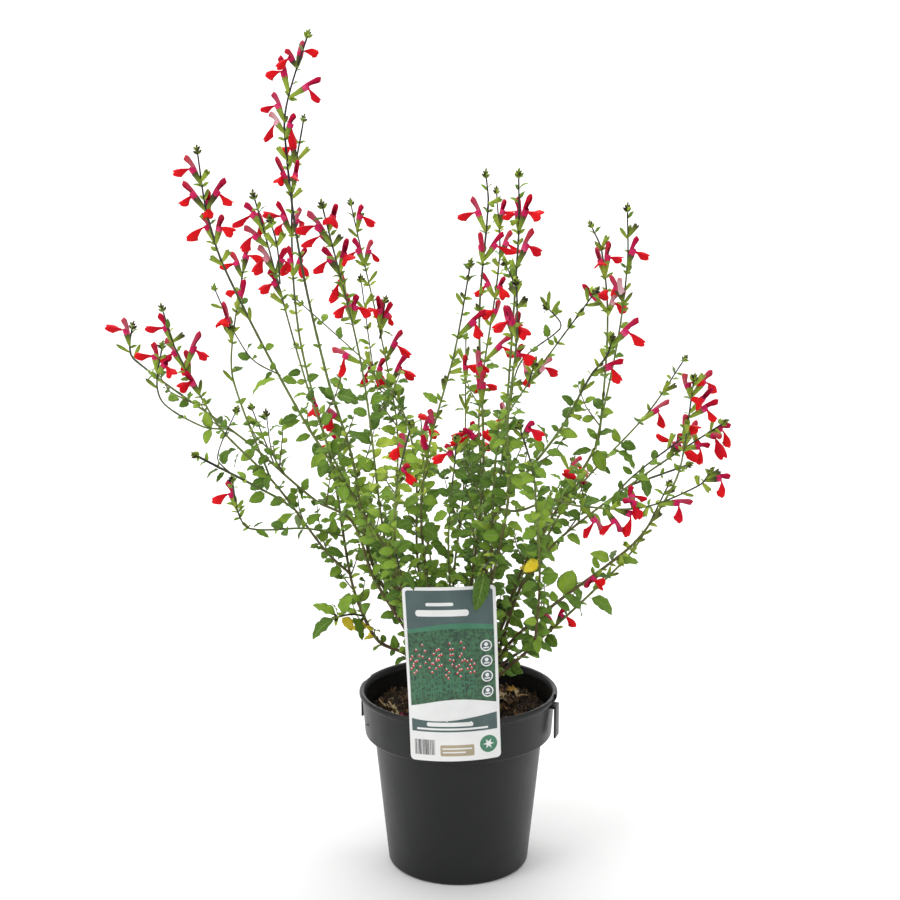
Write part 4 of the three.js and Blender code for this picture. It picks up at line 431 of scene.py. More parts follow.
def made_real(tree, copies, given):
    """A tree's end: its copies made plain geometry, in the material that it is given."""
    real = geometry_node(tree, "GeometryNodeRealizeInstances", {"Geometry": copies.outputs[0]})
    return geometry_node(tree, "GeometryNodeSetMaterial", {
        "Geometry": real.outputs[0], "Material": given.outputs["Material"]}).outputs[0]


def grown(made, tree, **values):
    """Adds a Geometry Nodes modifier and sets its named inputs."""
    work = made.modifiers.new(tree.name, "NODES")
    work.node_group = tree
    for item in tree.interface.items_tree:
        if item.item_type == "SOCKET" and item.in_out == "INPUT" and item.name in values:
            work[item.identifier] = values[item.name]
    return work


# Crumbs are strewn on the top alone, each with its own size and turn.
strewing, given, result = tree_of("strewn", {
    "Shapes": "Collection", "Material": "Material", "Density": "Float", "Smallest": "Float",
    "Largest": "Float", "Seed": "Int"})
normal = geometry_node(strewing, "GeometryNodeInputNormal")
apart = geometry_node(strewing, "ShaderNodeSeparateXYZ", {0: normal.outputs[0]})
level = geometry_node(strewing, "FunctionNodeCompare", {0: apart.outputs[2], 1: LEVEL_ENOUGH},
                      operation="GREATER_THAN")
strewn = geometry_node(strewing, "GeometryNodeDistributePointsOnFaces", {
    "Mesh": given.outputs["Geometry"], "Selection": level.outputs[0], "Density": given.outputs["Density"],
    "Seed": given.outputs["Seed"]})
turning = geometry_node(strewing, "FunctionNodeRandomValue", {
    0: (0, 0, 0), 1: FULL_TURN, "Seed": given.outputs["Seed"]}, data_type="FLOAT_VECTOR")
sizing = geometry_node(strewing, "FunctionNodeRandomValue", {
    2: given.outputs["Smallest"], 3: given.outputs["Largest"], "Seed": given.outputs["Seed"]})
copies = geometry_node(strewing, "GeometryNodeInstanceOnPoints", {
    "Points": strewn.outputs["Points"], "Instance": shapes_in(strewing, given), "Pick Instance": True,
    "Rotation": turning.outputs[0], "Scale": sizing.outputs[1]})
strewing.links.new(made_real(strewing, copies, given), result.inputs[0])

crumb_finish = grained("bark_crumbs", ((95, 3), [
    (0.3, (0.010, 0.007, 0.005)), (0.5, (0.032, 0.02, 0.012)), (0.62, (0.085, 0.05, 0.026)),
    (0.75, (0.16, 0.105, 0.06))]), ((500, 2), 0.7, 0.95), ((1500, 3), 0.0003), Specular_IOR_Level=0.25)
chip_finish = grained("bark_chips", ((70, 4), [
    (0.35, (0.04, 0.024, 0.013)), (0.55, (0.17, 0.1, 0.05)), (0.7, (0.3, 0.21, 0.12))]),
    ((400, 2), 0.6, 0.9), ((700, 4, (1, 1, 5)), 0.0003), Specular_IOR_Level=0.25)
perlite_finish = grained("perlite", ((600, 2), [(0.4, (0.5, 0.48, 0.42)), (0.6, (0.78, 0.76, 0.7))]),
                         ((600, 2), 0.7, 0.9), ((1800, 2), 0.0003), Specular_IOR_Level=0.3)
CRUMB_STRETCHES = [(1, 0.8, 0.7), (1.2, 0.6, 0.5), (0.8, 0.9, 0.6), (1.5, 0.5, 0.4)]
CHIP_STRETCHES = [(1.6, 0.6, 0.22), (1.2, 0.8, 0.2), (2, 0.4, 0.26)]
PERLITE_STRETCH = (1, 0.9, 0.8)
crumb_shapes = [lump("crumb_%d" % i, i, stretch, 0.7) for i, stretch in enumerate(CRUMB_STRETCHES)]
chip_shapes = [lump("chip_%d" % i, 10 + i, stretch, 0.5, 2) for i, stretch in enumerate(CHIP_STRETCHES)]
perlite_shapes = [lump("grain", 31, PERLITE_STRETCH, 0.5)]
# Each layer's pieces to the square metre, and its smallest and largest ones, in metres.
for name, shapes, finish, density, smallest, largest, seed in (
        ("potting_mix_crumbs", crumb_shapes, crumb_finish, 130000, 0.0012, 0.0045, 4),
        ("potting_mix_chips", chip_shapes, chip_finish, 9000, 0.003, 0.0075, 9),
        ("potting_mix_perlite", perlite_shapes, perlite_finish, 3200, 0.001, 0.0024, 13)):
    layer = bpy.data.objects.new(name, soil.data.copy())
    bpy.context.scene.collection.objects.link(layer)
    shapes = group_of(name + "_shapes", shapes)
    grown(layer, strewing, Shapes=shapes, Material=finish, Density=density, Smallest=smallest,
          Largest=largest, Seed=seed)
    plain_mesh(layer)
    mounted(layer, "potting_mix")
    dropped(shapes)

# The plant label is a thin white plastic tag, curved round the collar at its foot, with a hook tongue that
# goes over the lip and down inside. Its print is thin layers of ink, in a generic design.
LABEL_WIDTH = 88
LABEL_HEIGHT = 170
LABEL_FOOT = 141.5
LABEL_CENTRE = -3
LABEL_LEAN = math.radians(2.4)
LABEL_THICK = 0.8
LABEL_FLATTER = 160
LABEL_ROUND = 0.25
LABEL_GAP = 0.4
LABEL_CORNER = 4
HOOK_WIDTH = 24
HOOK_REACH = 13
HOOK_DROP = 20
HOOK_EASE = 0.2
INK = 0.05
CELL_ACROSS, CELL_UP = 2.0, 4.0


def label_point(x, z, out):
    """A point of the tag: x across from its middle, z up from its foot, out from its inner face."""
    inner = LIP_RADIUS + LABEL_GAP
    radius = inner + LABEL_FLATTER * max(0, z / LABEL_HEIGHT - LABEL_ROUND) ** 2
    angle = (LABEL_CENTRE + x * math.cos(LABEL_LEAN) - z * math.sin(LABEL_LEAN)) / radius
    height = LABEL_FOOT + z * math.cos(LABEL_LEAN) + x * math.sin(LABEL_LEAN)
    reach = radius + out
    return Vector((reach * math.sin(angle), radius - inner - reach * math.cos(angle), height))


def patch(x, z, width, height, corner=0.0, steps=5):
    """A flat outline with rounded corners, by its lower left corner."""
    if not corner:
        return [(x, z), (x + width, z), (x + width, z + height), (x, z + height)]
    outline = []
    left, right, low, high = x + corner, x + width - corner, z + corner, z + height - corner
    for cx, cz, start in ((right, low, -90), (right, high, 0), (left, high, 90), (left, low, 180)):
        for i in range(steps + 1):
            turn = math.radians(start + 90 * i / steps)
            outline.append((cx + corner * math.cos(turn), cz + corner * math.sin(turn)))
    return outline


def disc(x, z, radius, sides=20):
    turns = [2 * math.pi * k / sides for k in range(sides)]
    return [(x + radius * math.cos(t), z + radius * math.sin(t)) for t in turns]


def laid_on_label(name, outlines, low, high, material):
    """Flat outlines cut into cells, bent to the tag's curve and given their thickness, from low to high."""
    shape = bmesh.new()
    for outline in outlines:
        shape.faces.new([shape.verts.new((x, 0, z)) for x, z in outline])
    for axis, cell, length in ((0, CELL_ACROSS, LABEL_WIDTH), (2, CELL_UP, LABEL_HEIGHT)):
        for k in range(int(length / cell) + 1):
            at, facing = Vector((0, 0, 0)), Vector((0, 0, 0))
            at[axis] = k * cell - (LABEL_WIDTH / 2 if axis == 0 else 0)
            facing[axis] = 1
            bmesh.ops.bisect_plane(shape, geom=shape.verts[:] + shape.edges[:] + shape.faces[:],
                                   plane_co=at, plane_no=facing)
    shape.normal_update()
    bmesh.ops.reverse_faces(shape, faces=[f for f in shape.faces if f.normal.y > 0])
    flat = [v.co.copy() for v in shape.verts]
    shape.verts.index_update()
    front = [tuple(v.index for v in f.verts) for f in shape.faces]
    count = len(flat)
    points = [label_point(p.x, p.z, out) for out in (high, low) for p in flat]
    faces = front + [tuple(i + count for i in reversed(f)) for f in front]
    for edge in shape.edges:
        if edge.is_boundary:
            loop = edge.link_loops[0]
            a, b = loop.vert.index, loop.link_loop_next.vert.index
            faces.append((b, a, a + count, b + count))
    shape.free()
    made = piece_of(name, points, faces, material)
    made.data.set_sharp_from_angle(angle=SHARP)
    return mounted(made, "label_plastic")


tag_finish = grained("label_white_plastic", ((30, 3), [
    (0.3, (0.76, 0.765, 0.755)), (0.7, (0.83, 0.835, 0.825))]), ((90, 3), 0.3, 0.42),
    ((40, 2), 0.0003, 0.3), Specular_IOR_Level=0.5, Coat_Weight=0.25, Coat_Roughness=0.2)
sheet_outline = patch(-LABEL_WIDTH / 2, 0, LABEL_WIDTH, LABEL_HEIGHT, LABEL_CORNER)
tag = laid_on_label("label_tag", [sheet_outline], 0, LABEL_THICK, tag_finish)
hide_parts("plant_label")
inner = LIP_RADIUS + LABEL_GAP
over = POT_HEIGHT + LABEL_GAP + LABEL_THICK
hook_top = block(HOOK_WIDTH, HOOK_REACH, LABEL_THICK,
                 (0, HOOK_REACH / 2 - 0.5 - inner, over - LABEL_THICK / 2), 0, HOOK_EASE)
hook_tongue = block(HOOK_WIDTH, LABEL_THICK, HOOK_DROP,
                    (0, HOOK_REACH - 0.9 - inner, over - HOOK_DROP / 2), 0, HOOK_EASE)
hook = piece_of("label_hook", *hook_top, tag_finish)
cut_or_joined(hook, "UNION", [hook_tongue])
hook.data.set_sharp_from_angle(angle=SHARP)
mounted(hook, "label_plastic")


def ink(name, dark, light, scale=60):
    """A printed colour, a little uneven as screened ink is."""
    made = Finish(name, Specular_IOR_Level=0.5, Coat_Weight=0.2, Coat_Roughness=0.2)
    made.colour(made.steps(made.noise(scale, 5), [(0.35, dark), (0.65, light)]))
    made.roughness(made.noise(90, 3), 0.3, 0.42)
    return made.material


INKS = {
    "slate": ink("ink_slate_green", (0.045, 0.085, 0.082), (0.06, 0.105, 0.1)),
    "leaf": ink("ink_leaf_green", (0.006, 0.035, 0.018), (0.04, 0.15, 0.06), 330),
    "band": ink("ink_curved_band", (0.03, 0.16, 0.085), (0.045, 0.2, 0.11)),
    "white": ink("ink_white", (0.74, 0.75, 0.74), (0.8, 0.81, 0.8)),
    "red": ink("ink_red", (0.42, 0.012, 0.022), (0.6, 0.03, 0.04)),
    "black": ink("ink_black", (0.012, 0.012, 0.013), (0.02, 0.02, 0.021)),
    "sand": ink("ink_sand", (0.36, 0.3, 0.19), (0.42, 0.35, 0.23)),
}
HALF = LABEL_WIDTH / 2 - 3
prints = {}


def printed(colour, layer, *outlines):
    """Keeps outlines to be printed in an ink, the higher layers over the lower ones."""
    prints.setdefault((layer, colour), []).extend(outlines)


def arch(level, rise):
    """A curve across the label that is highest to the right of its middle."""
    return lambda x: level + rise * math.cos((x - 8) / 26)


def wave(level, rise, shift=30, length=22):
    """A curve across the label that goes up and down."""
    return lambda x: level + rise * math.sin((x + shift) / length)


def swept(low, high, count=22):
    """A band right across the label between two curves."""
    xs = [2 * HALF * i / count - HALF for i in range(count + 1)]
    return [(x, low(x)) for x in xs] + [(x, high(x)) for x in reversed(xs)]


# From the top: a slate banner with two pale bars, a curved band, the picture of a bed of red flowers, and a
# slate band with two more bars.
BANNER = patch(-HALF, 128, 2 * HALF, 39, 2.5)
BANNER_BARS = [patch(-22, 152, 26, 3.2, 1.4), patch(-32, 142, 50, 6.2, 2.6)]
LOW_BARS = [patch(-26, 34.4, 44, 4, 1.8), patch(-36, 30.8, 68, 1.9, 0.8)]
printed("slate", 1, BANNER)
printed("white", 2, *BANNER_BARS)
printed("band", 2, swept(wave(121, 0), arch(130, 5)))
printed("leaf", 3, swept(wave(54, 5), arch(126, 4)))
printed("white", 4, swept(wave(43, 0), wave(56, 5)))
printed("slate", 5, swept(wave(29, 0), wave(43, 3.5, -20, 24)))
printed("white", 6, *LOW_BARS)

# A column of four round marks at the picture's right.
MARKS_X, MARKS_TOP, MARKS_STEP = 33, 112, 15
MARK_RING, MARK_FIELD, MARK_DOT = 5.6, 4.4, 1.9
for i in range(4):
    z = MARKS_TOP - MARKS_STEP * i
    printed("white", 5, disc(MARKS_X, z, MARK_RING))
    printed("slate", 6, disc(MARKS_X, z, MARK_FIELD))
    printed("white", 7, disc(MARKS_X, z + 1.2, MARK_DOT, 12), patch(MARKS_X - 2.6, z - 2.7, 5.2, 1.3))

# The flowers are sprigs, each a leaning stalk with leaves below and red dots with a white fleck above.
SPRIGS, SPRIG_STEP, SPRIGS_LEFT, SPRIGS_RIGHT = 16, 3.7, -36, 22
SPRIG_HEIGHTS = (28, 58)
SPRIG_LEAF = [(0, 0), (1.7, 0.4), (3.2, 2.2), (1.2, 1.7)]
sprigs = random.Random(3)
for i in range(SPRIGS):
    x = SPRIGS_LEFT + SPRIG_STEP * i
    foot = (x + sprigs.uniform(-1, 1), wave(59.5, 5)(x))
    height, lean = sprigs.uniform(*SPRIG_HEIGHTS), sprigs.uniform(-5, 5)
    if foot[0] > SPRIGS_RIGHT:
        continue
    tip = (foot[0] + lean, foot[1] + height)
    printed("band", 4, [(foot[0] - 0.3, foot[1]), (foot[0] + 0.3, foot[1]), (tip[0] + 0.2, tip[1]),
                        (tip[0] - 0.2, tip[1])])
    for k in range(9):
        t = 0.12 + 0.1 * k
        side = 1 if k % 2 else -1
        x, z = foot[0] + lean * t, foot[1] + height * t
        if k < 5:
            printed("band", 4, [(x + side * across, z + up) for across, up in SPRIG_LEAF])
        else:
            printed("red", 5, disc(x + side * 1.3, z, 1.15, 8))
            printed("white", 6, disc(x + side * 1.3, z + 1.0, 0.6, 6))

# The label's foot: a sand panel with two bars, a round seal with a six-pointed star, and a block of stripes.
PANEL = patch(-14, 5, 32, 11, 1.2)
PANEL_BARS = [patch(-12, 11.6, 28, 1.4, 0.5), patch(-12, 8, 22, 1.4, 0.5)]
SEAL_AT, SEAL, STAR_TIP, STAR_DIP = (32, 15), 8.5, 5.4, 0.4
STRIPES_LEFT, STRIPES_RIGHT, STRIPES_FOOT, STRIPES_HEIGHT = -39.0, -19, 6, 15
STRIPE_WIDTHS, STRIPE_GAPS = (0.35, 0.7, 1.05), (0.35, 0.5, 0.8)
printed("sand", 1, PANEL)
printed("white", 2, *PANEL_BARS)
printed("band", 1, disc(*SEAL_AT, SEAL, 28))
star = []
for k in range(12):
    turn, reach = math.pi * k / 6, STAR_TIP * (1 if k % 2 else STAR_DIP)
    star.append((SEAL_AT[0] + reach * math.sin(turn), SEAL_AT[1] + reach * math.cos(turn)))
printed("white", 2, star)
stripes = random.Random(8)
x = STRIPES_LEFT
while x < STRIPES_RIGHT:
    width = stripes.choice(STRIPE_WIDTHS)
    printed("black", 1, patch(x, STRIPES_FOOT, width, STRIPES_HEIGHT))
    x += width + stripes.choice(STRIPE_GAPS)
for (layer, colour), outlines in prints.items():
    name = "label_print_%d_%s" % (layer, colour)
    laid_on_label(name, outlines, LABEL_THICK, LABEL_THICK + INK * layer, INKS[colour])

# The shrub: woody stems that come up from plain holes in the mix, their side shoots, and all that they carry.
# The table says in millimetres what shows from VIEW_POINT on the plane through the pot's axis. "foot" is where
# a main stem stands, "on" the stem that a shoot grows from, "depth" the tip's depth and "thick" the radius at
# foot and tip. A flower is node, hood tip and lip, a calyx node and tip, a leaf root, tip and width.
STEMS = [
  {"name": "left_outer_stem", "foot": [-25, 8], "depth": 150, "thick": [2.3, 0.9],
    "route": [-50, 212, -80, 228, -98, 262, -108, 297, -124, 404, -155, 540, -159, 668, -147, 739],
    "flowers": [[-155, 699, -158, 727, -164, 714], [-158, 669, -171, 702, -169, 684],
      [-158, 669, -159, 698, -182, 687], [-159, 633, -171, 662, -182, 654],
      [-159, 631, -165, 655, -173, 642], [-159, 629, -179, 648, -187, 634],
      [-159, 592, -164, 620, -171, 599], [-159, 592, -146, 617, -145, 595],
      [-139, 455, -145, 470, -146, 459]],
    "calyces": [[-155, 699, -168, 710], [-155, 699, -143, 712], [-159, 668, -150, 677],
      [-159, 632, -154, 645]],
    "leaves": [[-130, 421, -148, 408, 0.7], [-118, 372, -134, 370, 0.75]]},
  {"name": "left_fan_shoot", "on": "left_outer_stem", "depth": -30, "thick": [1.5, 0.8],
    "route": [-108, 298, -131, 320, -181, 389, -228, 438, -243, 460, -275, 523, -286, 560],
    "flowers": [[-276, 528, -290, 556, -301, 547], [-265, 502, -284, 530, -286, 516],
      [-265, 502, -250, 535, -245, 516], [-262, 497, -272, 520, -273, 503],
      [-252, 477, -267, 500, -272, 489]],
    "calyces": [[-253, 478, -252, 492], [-276, 528, -266, 535]],
    "leaves": [[-276, 545, -276, 556, 0.5], [-164, 359, -187, 338, 0.42], [-163, 356, -167, 338, 0.5],
      [-172, 374, -189, 368, 0.62], [-183, 394, -206, 384, 0.6], [-185, 396, -204, 402, 0.62],
      [-178, 385, -172, 368, 0.7], [-131, 321, -148, 325, 0.42], [-214, 424, -232, 412, 0.62],
      [-215, 424, -221, 406, 0.7], [-205, 414, -196, 430, 0.66], [-133, 323, -112, 315, 0.5]]},
  {"name": "left_low_spray", "on": "left_fan_shoot", "depth": -75, "thick": [1.1, 0.7],
    "route": [-232, 444, -250, 446, -287, 468, -294, 487, -288, 524],
    "flowers": [[-292, 500, -296, 528, -309, 521], [-292, 499, -274, 515, -268, 503]],
    "calyces": [[-293, 484, -303, 494]],
    "leaves": []},
  {"name": "left_bow_shoot", "on": "left_fan_shoot", "depth": 60, "thick": [1.2, 0.8],
    "route": [-184, 394, -219, 490, -220, 525, -206, 606],
    "flowers": [[-208, 593, -218, 615, -226, 607], [-207, 597, -202, 620, -192, 612],
      [-216, 558, -210, 586, -222, 577], [-220, 531, -228, 567, -240, 553]],
    "calyces": [[-220, 490, -230, 502], [-220, 531, -231, 543], [-216, 556, -207, 566]],
    "leaves": [[-204, 443, -193, 452, 0.4]]},
  {"name": "left_bow_spray", "on": "left_bow_shoot", "depth": 90, "thick": [0.9, 0.7],
    "route": [-220, 538, -235, 580],
    "flowers": [],
    "calyces": [[-226, 562, -238, 566]],
    "leaves": []},
  {"name": "left_cut_shoot", "on": "left_fan_shoot", "depth": -60, "thick": [1.3, 1.2],
    "route": [-164, 363, -177, 374, -257, 417],
    "flowers": [], "calyces": [],
    "leaves": [[-232, 402, -241, 391, 0.45]]},
  {"name": "left_drooping_shoot", "on": "left_outer_stem", "depth": -70, "thick": [1.1, 0.8],
    "route": [-113, 336, -150, 344, -207, 344, -218, 360, -223, 392],
    "flowers": [[-219, 363, -229, 391, -241, 377]],
    "calyces": [[-219, 364, -212, 374]],
    "leaves": [[-204, 344, -189, 336, 0.42], [-204, 345, -192, 353, 0.22]]},
  {"name": "left_low_twig", "on": "left_outer_stem", "depth": -35, "thick": [1.1, 0.8],
    "route": [-98, 252, -107, 256, -122, 253],
    "flowers": [], "calyces": [],
    "leaves": [[-121, 254, -148, 265, 0.52], [-118, 256, -107, 278, 0.85], [-120, 252, -146, 229, 0.6],
      [-119, 252, -106, 238, 0.75], [-108, 256, -97, 229, 0.55], [-121, 255, -126, 271, 0.45]]},
  {"name": "left_far_stem", "foot": [-27, -3], "depth": 40, "thick": [2.2, 0.8],
    "route": [-44, 222, -84, 294, -106, 352, -142, 373, -210, 433, -316, 513, -319, 528, -316, 543],
    "flowers": [[-318, 527, -322, 553, -336, 547]],
    "calyces": [[-316, 513, -309, 527], [-317, 518, -330, 526]],
    "leaves": [[-316, 537, -308, 544, 0.4], [-142, 373, -158, 376, 0.45], [-102, 345, -86, 352, 0.6],
      [-97, 330, -112, 331, 0.5], [-86, 298, -101, 307, 0.6], [-160, 388, -153, 371, 0.4]]},
  {"name": "left_low_spray_two", "on": "left_far_stem", "depth": 60, "thick": [0.9, 0.7],
    "route": [-180, 408, -202, 464],
    "flowers": [],
    "calyces": [[-196, 451, -206, 455]],
    "leaves": [[-194, 449, -206, 454, 0.35], [-187, 432, -196, 443, 0.45]]},
  {"name": "left_low_spray_three", "on": "left_far_stem", "depth": -5, "thick": [0.9, 0.6],
    "route": [-171, 399, -183, 420, -188, 457],
    "flowers": [], "calyces": [],
    "leaves": [[-186, 440, -176, 451, 0.35], [-187, 452, -196, 458, 0.35], [-172, 402, -164, 418, 0.5]]},
  {"name": "left_low_spray_four", "on": "left_cut_shoot", "depth": -66, "thick": [0.8, 0.6],
    "route": [-226, 399, -237, 415, -218, 461],
    "flowers": [], "calyces": [],
    "leaves": [[-222, 449, -213, 449, 0.25], [-222, 450, -229, 458, 0.3]]},
  {"name": "left_tall_stem", "foot": [-21, -12], "depth": -95, "thick": [2.2, 0.8],
    "route": [-36, 222, -98, 364, -155, 459, -225, 600, -241, 655, -248, 709],
    "flowers": [[-244, 681, -257, 706, -266, 695], [-241, 654, -263, 680, -264, 666],
      [-241, 654, -224, 681, -218, 664], [-240, 650, -238, 674, -243, 655],
      [-234, 624, -246, 650, -259, 632], [-233, 621, -226, 647, -217, 636]],
    "calyces": [[-228, 606, -221, 617], [-201, 551, -212, 563], [-202, 552, -204, 566],
      [-227, 603, -238, 611], [-244, 681, -237, 690]],
    "leaves": [[-175, 496, -206, 480, 0.4], [-174, 495, -158, 489, 0.62], [-170, 488, -163, 500, 0.6],
      [-155, 459, -176, 450, 0.5], [-152, 453, -177, 442, 0.42], [-142, 437, -159, 431, 0.5],
      [-128, 416, -137, 398, 0.75], [-118, 401, -105, 390, 0.6], [-148, 447, -133, 449, 0.6],
      [-110, 387, -127, 378, 0.6], [-80, 322, -95, 328, 0.6], [-60, 276, -73, 262, 0.6]]},
  {"name": "left_thin_shoot", "on": "left_tall_stem", "depth": -110, "thick": [0.8, 0.6],
    "route": [-175, 497, -200, 512, -219, 541],
    "flowers": [], "calyces": [],
    "leaves": [[-206, 520, -200, 530, 0.7]]},
  {"name": "left_mid_shoot", "foot": [-15, -20], "depth": -135, "thick": [2.1, 0.8],
    "route": [-27, 222, -60, 300, -128, 427, -195, 667],
    "flowers": [[-189, 641, -205, 663, -216, 648], [-187, 634, -200, 652, -204, 634],
      [-185, 620, -206, 638, -209, 622], [-179, 600, -193, 624, -198, 604],
      [-178, 597, -171, 620, -164, 604], [-172, 573, -181, 598, -187, 583]],
    "calyces": [[-170, 569, -182, 578], [-187, 636, -177, 645]],
    "leaves": [[-190, 655, -182, 663, 0.4], [-149, 505, -163, 502, 0.6], [-142, 478, -158, 478, 0.5],
      [-121, 410, -104, 413, 0.6], [-110, 391, -113, 371, 0.8], [-88, 352, -77, 340, 0.85],
      [-75, 328, -92, 335, 0.55], [-61, 302, -48, 316, 0.6]]},
  {"name": "left_mid_spray", "on": "left_mid_shoot", "depth": -160, "thick": [0.9, 0.7],
    "route": [-176, 588, -174, 620, -180, 645],
    "flowers": [],
    "calyces": [[-174, 620, -184, 633], [-174, 620, -167, 632]],
    "leaves": []},
  {"name": "tallest_stem", "foot": [-17, 3], "depth": 25, "thick": [2.3, 0.9],
    "route": [-34, 215, -74, 282, -91, 325, -104, 412, -128, 495, -153, 615, -165, 730, -161, 760,
      -142, 816],
    "flowers": [[-151, 787, -143, 812, -134, 806], [-151, 787, -138, 801, -133, 789],
      [-160, 761, -168, 794, -178, 782], [-160, 761, -131, 778, -131, 762],
      [-166, 738, -176, 763, -185, 752], [-165, 725, -178, 743, -184, 722],
      [-165, 724, -156, 745, -156, 718], [-117, 450, -129, 462, -131, 448]],
    "calyces": [[-151, 787, -157, 801], [-164, 700, -172, 712], [-164, 700, -155, 712]],
    "leaves": [[-146, 803, -153, 811, 0.4], [-128, 494, -113, 482, 0.8], [-122, 476, -95, 468, 0.85],
      [-121, 472, -137, 488, 0.5], [-113, 440, -98, 436, 0.6], [-112, 438, -129, 446, 0.6],
      [-104, 410, -121, 421, 0.5], [-99, 388, -112, 372, 0.8], [-96, 362, -84, 372, 0.6],
      [-93, 338, -112, 345, 0.6], [-90, 322, -78, 314, 0.6], [-85, 306, -103, 314, 0.66],
      [-76, 287, -88, 296, 0.62], [-62, 264, -52, 250, 0.6]]},
  {"name": "front_left_stem", "foot": [-8, -26], "depth": -175, "thick": [2.2, 0.8],
    "route": [-20, 215, -57, 285, -72, 325, -94, 503, -130, 658],
    "flowers": [[-124, 638, -120, 662, -131, 650], [-122, 624, -143, 653, -152, 640],
      [-122, 620, -141, 638, -152, 625], [-117, 597, -133, 621, -141, 604],
      [-117, 597, -111, 627, -101, 612], [-112, 573, -119, 597, -128, 572],
      [-107, 553, -113, 577, -121, 562], [-104, 548, -99, 574, -92, 562], [-94, 507, -120, 520, -116, 499]],
    "calyces": [[-121, 622, -113, 633], [-112, 571, -128, 578], [-107, 555, -117, 553]],
    "leaves": [[-127, 650, -138, 647, 0.35], [-111, 572, -102, 577, 0.4], [-88, 466, -69, 475, 0.5],
      [-84, 430, -104, 443, 0.55], [-84, 428, -62, 432, 0.7], [-80, 402, -98, 414, 0.72],
      [-80, 400, -62, 410, 0.7], [-77, 372, -60, 379, 0.7], [-77, 371, -94, 380, 0.62],
      [-75, 345, -60, 352, 0.6], [-74, 342, -90, 334, 0.7], [-66, 307, -53, 322, 0.62],
      [-65, 303, -80, 292, 0.7], [-46, 265, -62, 252, 0.6]]},
  {"name": "back_left_stem", "foot": [-14, 20], "depth": 165, "thick": [2.2, 0.8],
    "route": [-30, 215, -60, 275, -67, 305, -61, 380, -62, 462, -103, 661],
    "flowers": [[-98, 636, -93, 659, -83, 645], [-89, 601, -99, 625, -106, 610],
      [-88, 600, -82, 622, -76, 607], [-73, 511, -58, 538, -51, 518], [-65, 487, -51, 514, -44, 497]],
    "calyces": [[-95, 628, -105, 637], [-84, 583, -76, 594], [-84, 583, -94, 592], [-88, 600, -99, 606]],
    "leaves": [[-101, 647, -109, 655, 0.4], [-100, 644, -90, 652, 0.4], [-61, 400, -45, 394, 0.62],
      [-61, 378, -76, 367, 0.7], [-62, 440, -50, 452, 0.6], [-65, 480, -80, 486, 0.55],
      [-63, 352, -48, 344, 0.62], [-66, 328, -84, 320, 0.6], [-66, 318, -50, 310, 0.6],
      [-60, 278, -47, 268, 0.62]]},
  {"name": "back_left_spray", "on": "back_left_stem", "depth": 110, "thick": [1.0, 0.7],
    "route": [-76, 530, -71, 568],
    "flowers": [[-76, 543, -70, 568, -59, 556], [-76, 541, -81, 570, -92, 560],
      [-77, 538, -88, 563, -86, 545]],
    "calyces": [[-75, 548, -64, 548]],
    "leaves": [[-76, 540, -64, 534, 0.3]]},
  {"name": "back_left_shoot", "on": "back_left_stem", "depth": 95, "thick": [1.0, 0.7],
    "route": [-64, 476, -76, 482, -82, 497, -94, 588],
    "flowers": [[-83, 498, -90, 511, -98, 491], [-81, 492, -74, 512, -73, 490]],
    "calyces": [[-91, 560, -100, 570], [-91, 562, -83, 573]],
    "leaves": [[-87, 528, -98, 534, 0.45]]},
  {"name": "centre_thin_stem", "foot": [-8, 12], "depth": 120, "thick": [1.9, 0.7],
    "route": [-20, 215, -40, 305, -42, 400, -51, 452, -70, 488, -85, 505, -157, 571],
    "flowers": [],
    "calyces": [[-59, 470, -58, 486], [-85, 505, -88, 519]],
    "leaves": [[-45, 428, -33, 421, 0.6], [-43, 405, -58, 398, 0.6], [-42, 372, -27, 364, 0.65],
      [-42, 350, -56, 358, 0.62], [-40, 310, -26, 322, 0.62], [-41, 318, -54, 330, 0.6],
      [-36, 278, -22, 270, 0.6]]},
  {"name": "front_centre_stem", "foot": [0, -17], "depth": -140, "thick": [2.2, 0.8],
    "route": [-12, 215, -28, 275, -37, 360, -28, 430, -4, 520, 11, 603],
    "flowers": [[-1, 537, 24, 560, 21, 541], [-31, 416, -22, 438, -40, 434],
      [-27, 440, -20, 462, -33, 456]],
    "calyces": [[4, 565, -3, 577], [-9, 503, 0, 511], [-9, 501, 3, 504], [-16, 482, -16, 494]],
    "leaves": [[8, 587, 17, 597, 0.35], [10, 598, 4, 605, 0.4], [-21, 466, -38, 478, 0.5],
      [-21, 466, -9, 470, 0.2], [-25, 446, -42, 442, 0.5], [-28, 430, -46, 423, 0.42],
      [-28, 428, -10, 421, 0.3], [-32, 405, -14, 394, 0.55], [-32, 402, -48, 392, 0.6],
      [-36, 378, -20, 372, 0.8], [-36, 376, -54, 366, 0.75], [-36, 345, -20, 334, 0.85],
      [-34, 315, -52, 300, 0.5], [-31, 292, -10, 300, 0.5], [-30, 290, -45, 278, 0.6]]},
  {"name": "back_centre_stem", "foot": [1, 22], "depth": 190, "thick": [2.2, 0.8],
    "route": [-3, 215, -5, 290, 5, 385, 7, 533],
    "flowers": [[6, 490, 6, 514, 14, 507], [5, 425, 12, 448, -5, 436]],
    "calyces": [[8, 507, 1, 521], [8, 507, 11, 522], [5, 462, -1, 477], [5, 462, 10, 477]],
    "leaves": [[5, 462, -6, 461, 0.4], [6, 425, -8, 421, 0.6], [5, 388, -12, 380, 0.8],
      [5, 385, 24, 378, 0.7], [1, 350, -16, 342, 0.7], [1, 346, 16, 338, 0.7], [-4, 300, -19, 309, 0.62],
      [-4, 298, 11, 290, 0.6]]},
  {"name": "centre_tall_stem", "foot": [2, 4], "depth": 40, "thick": [2.2, 0.8],
    "route": [4, 215, 24, 395, 20, 555, 28, 662, 26, 687],
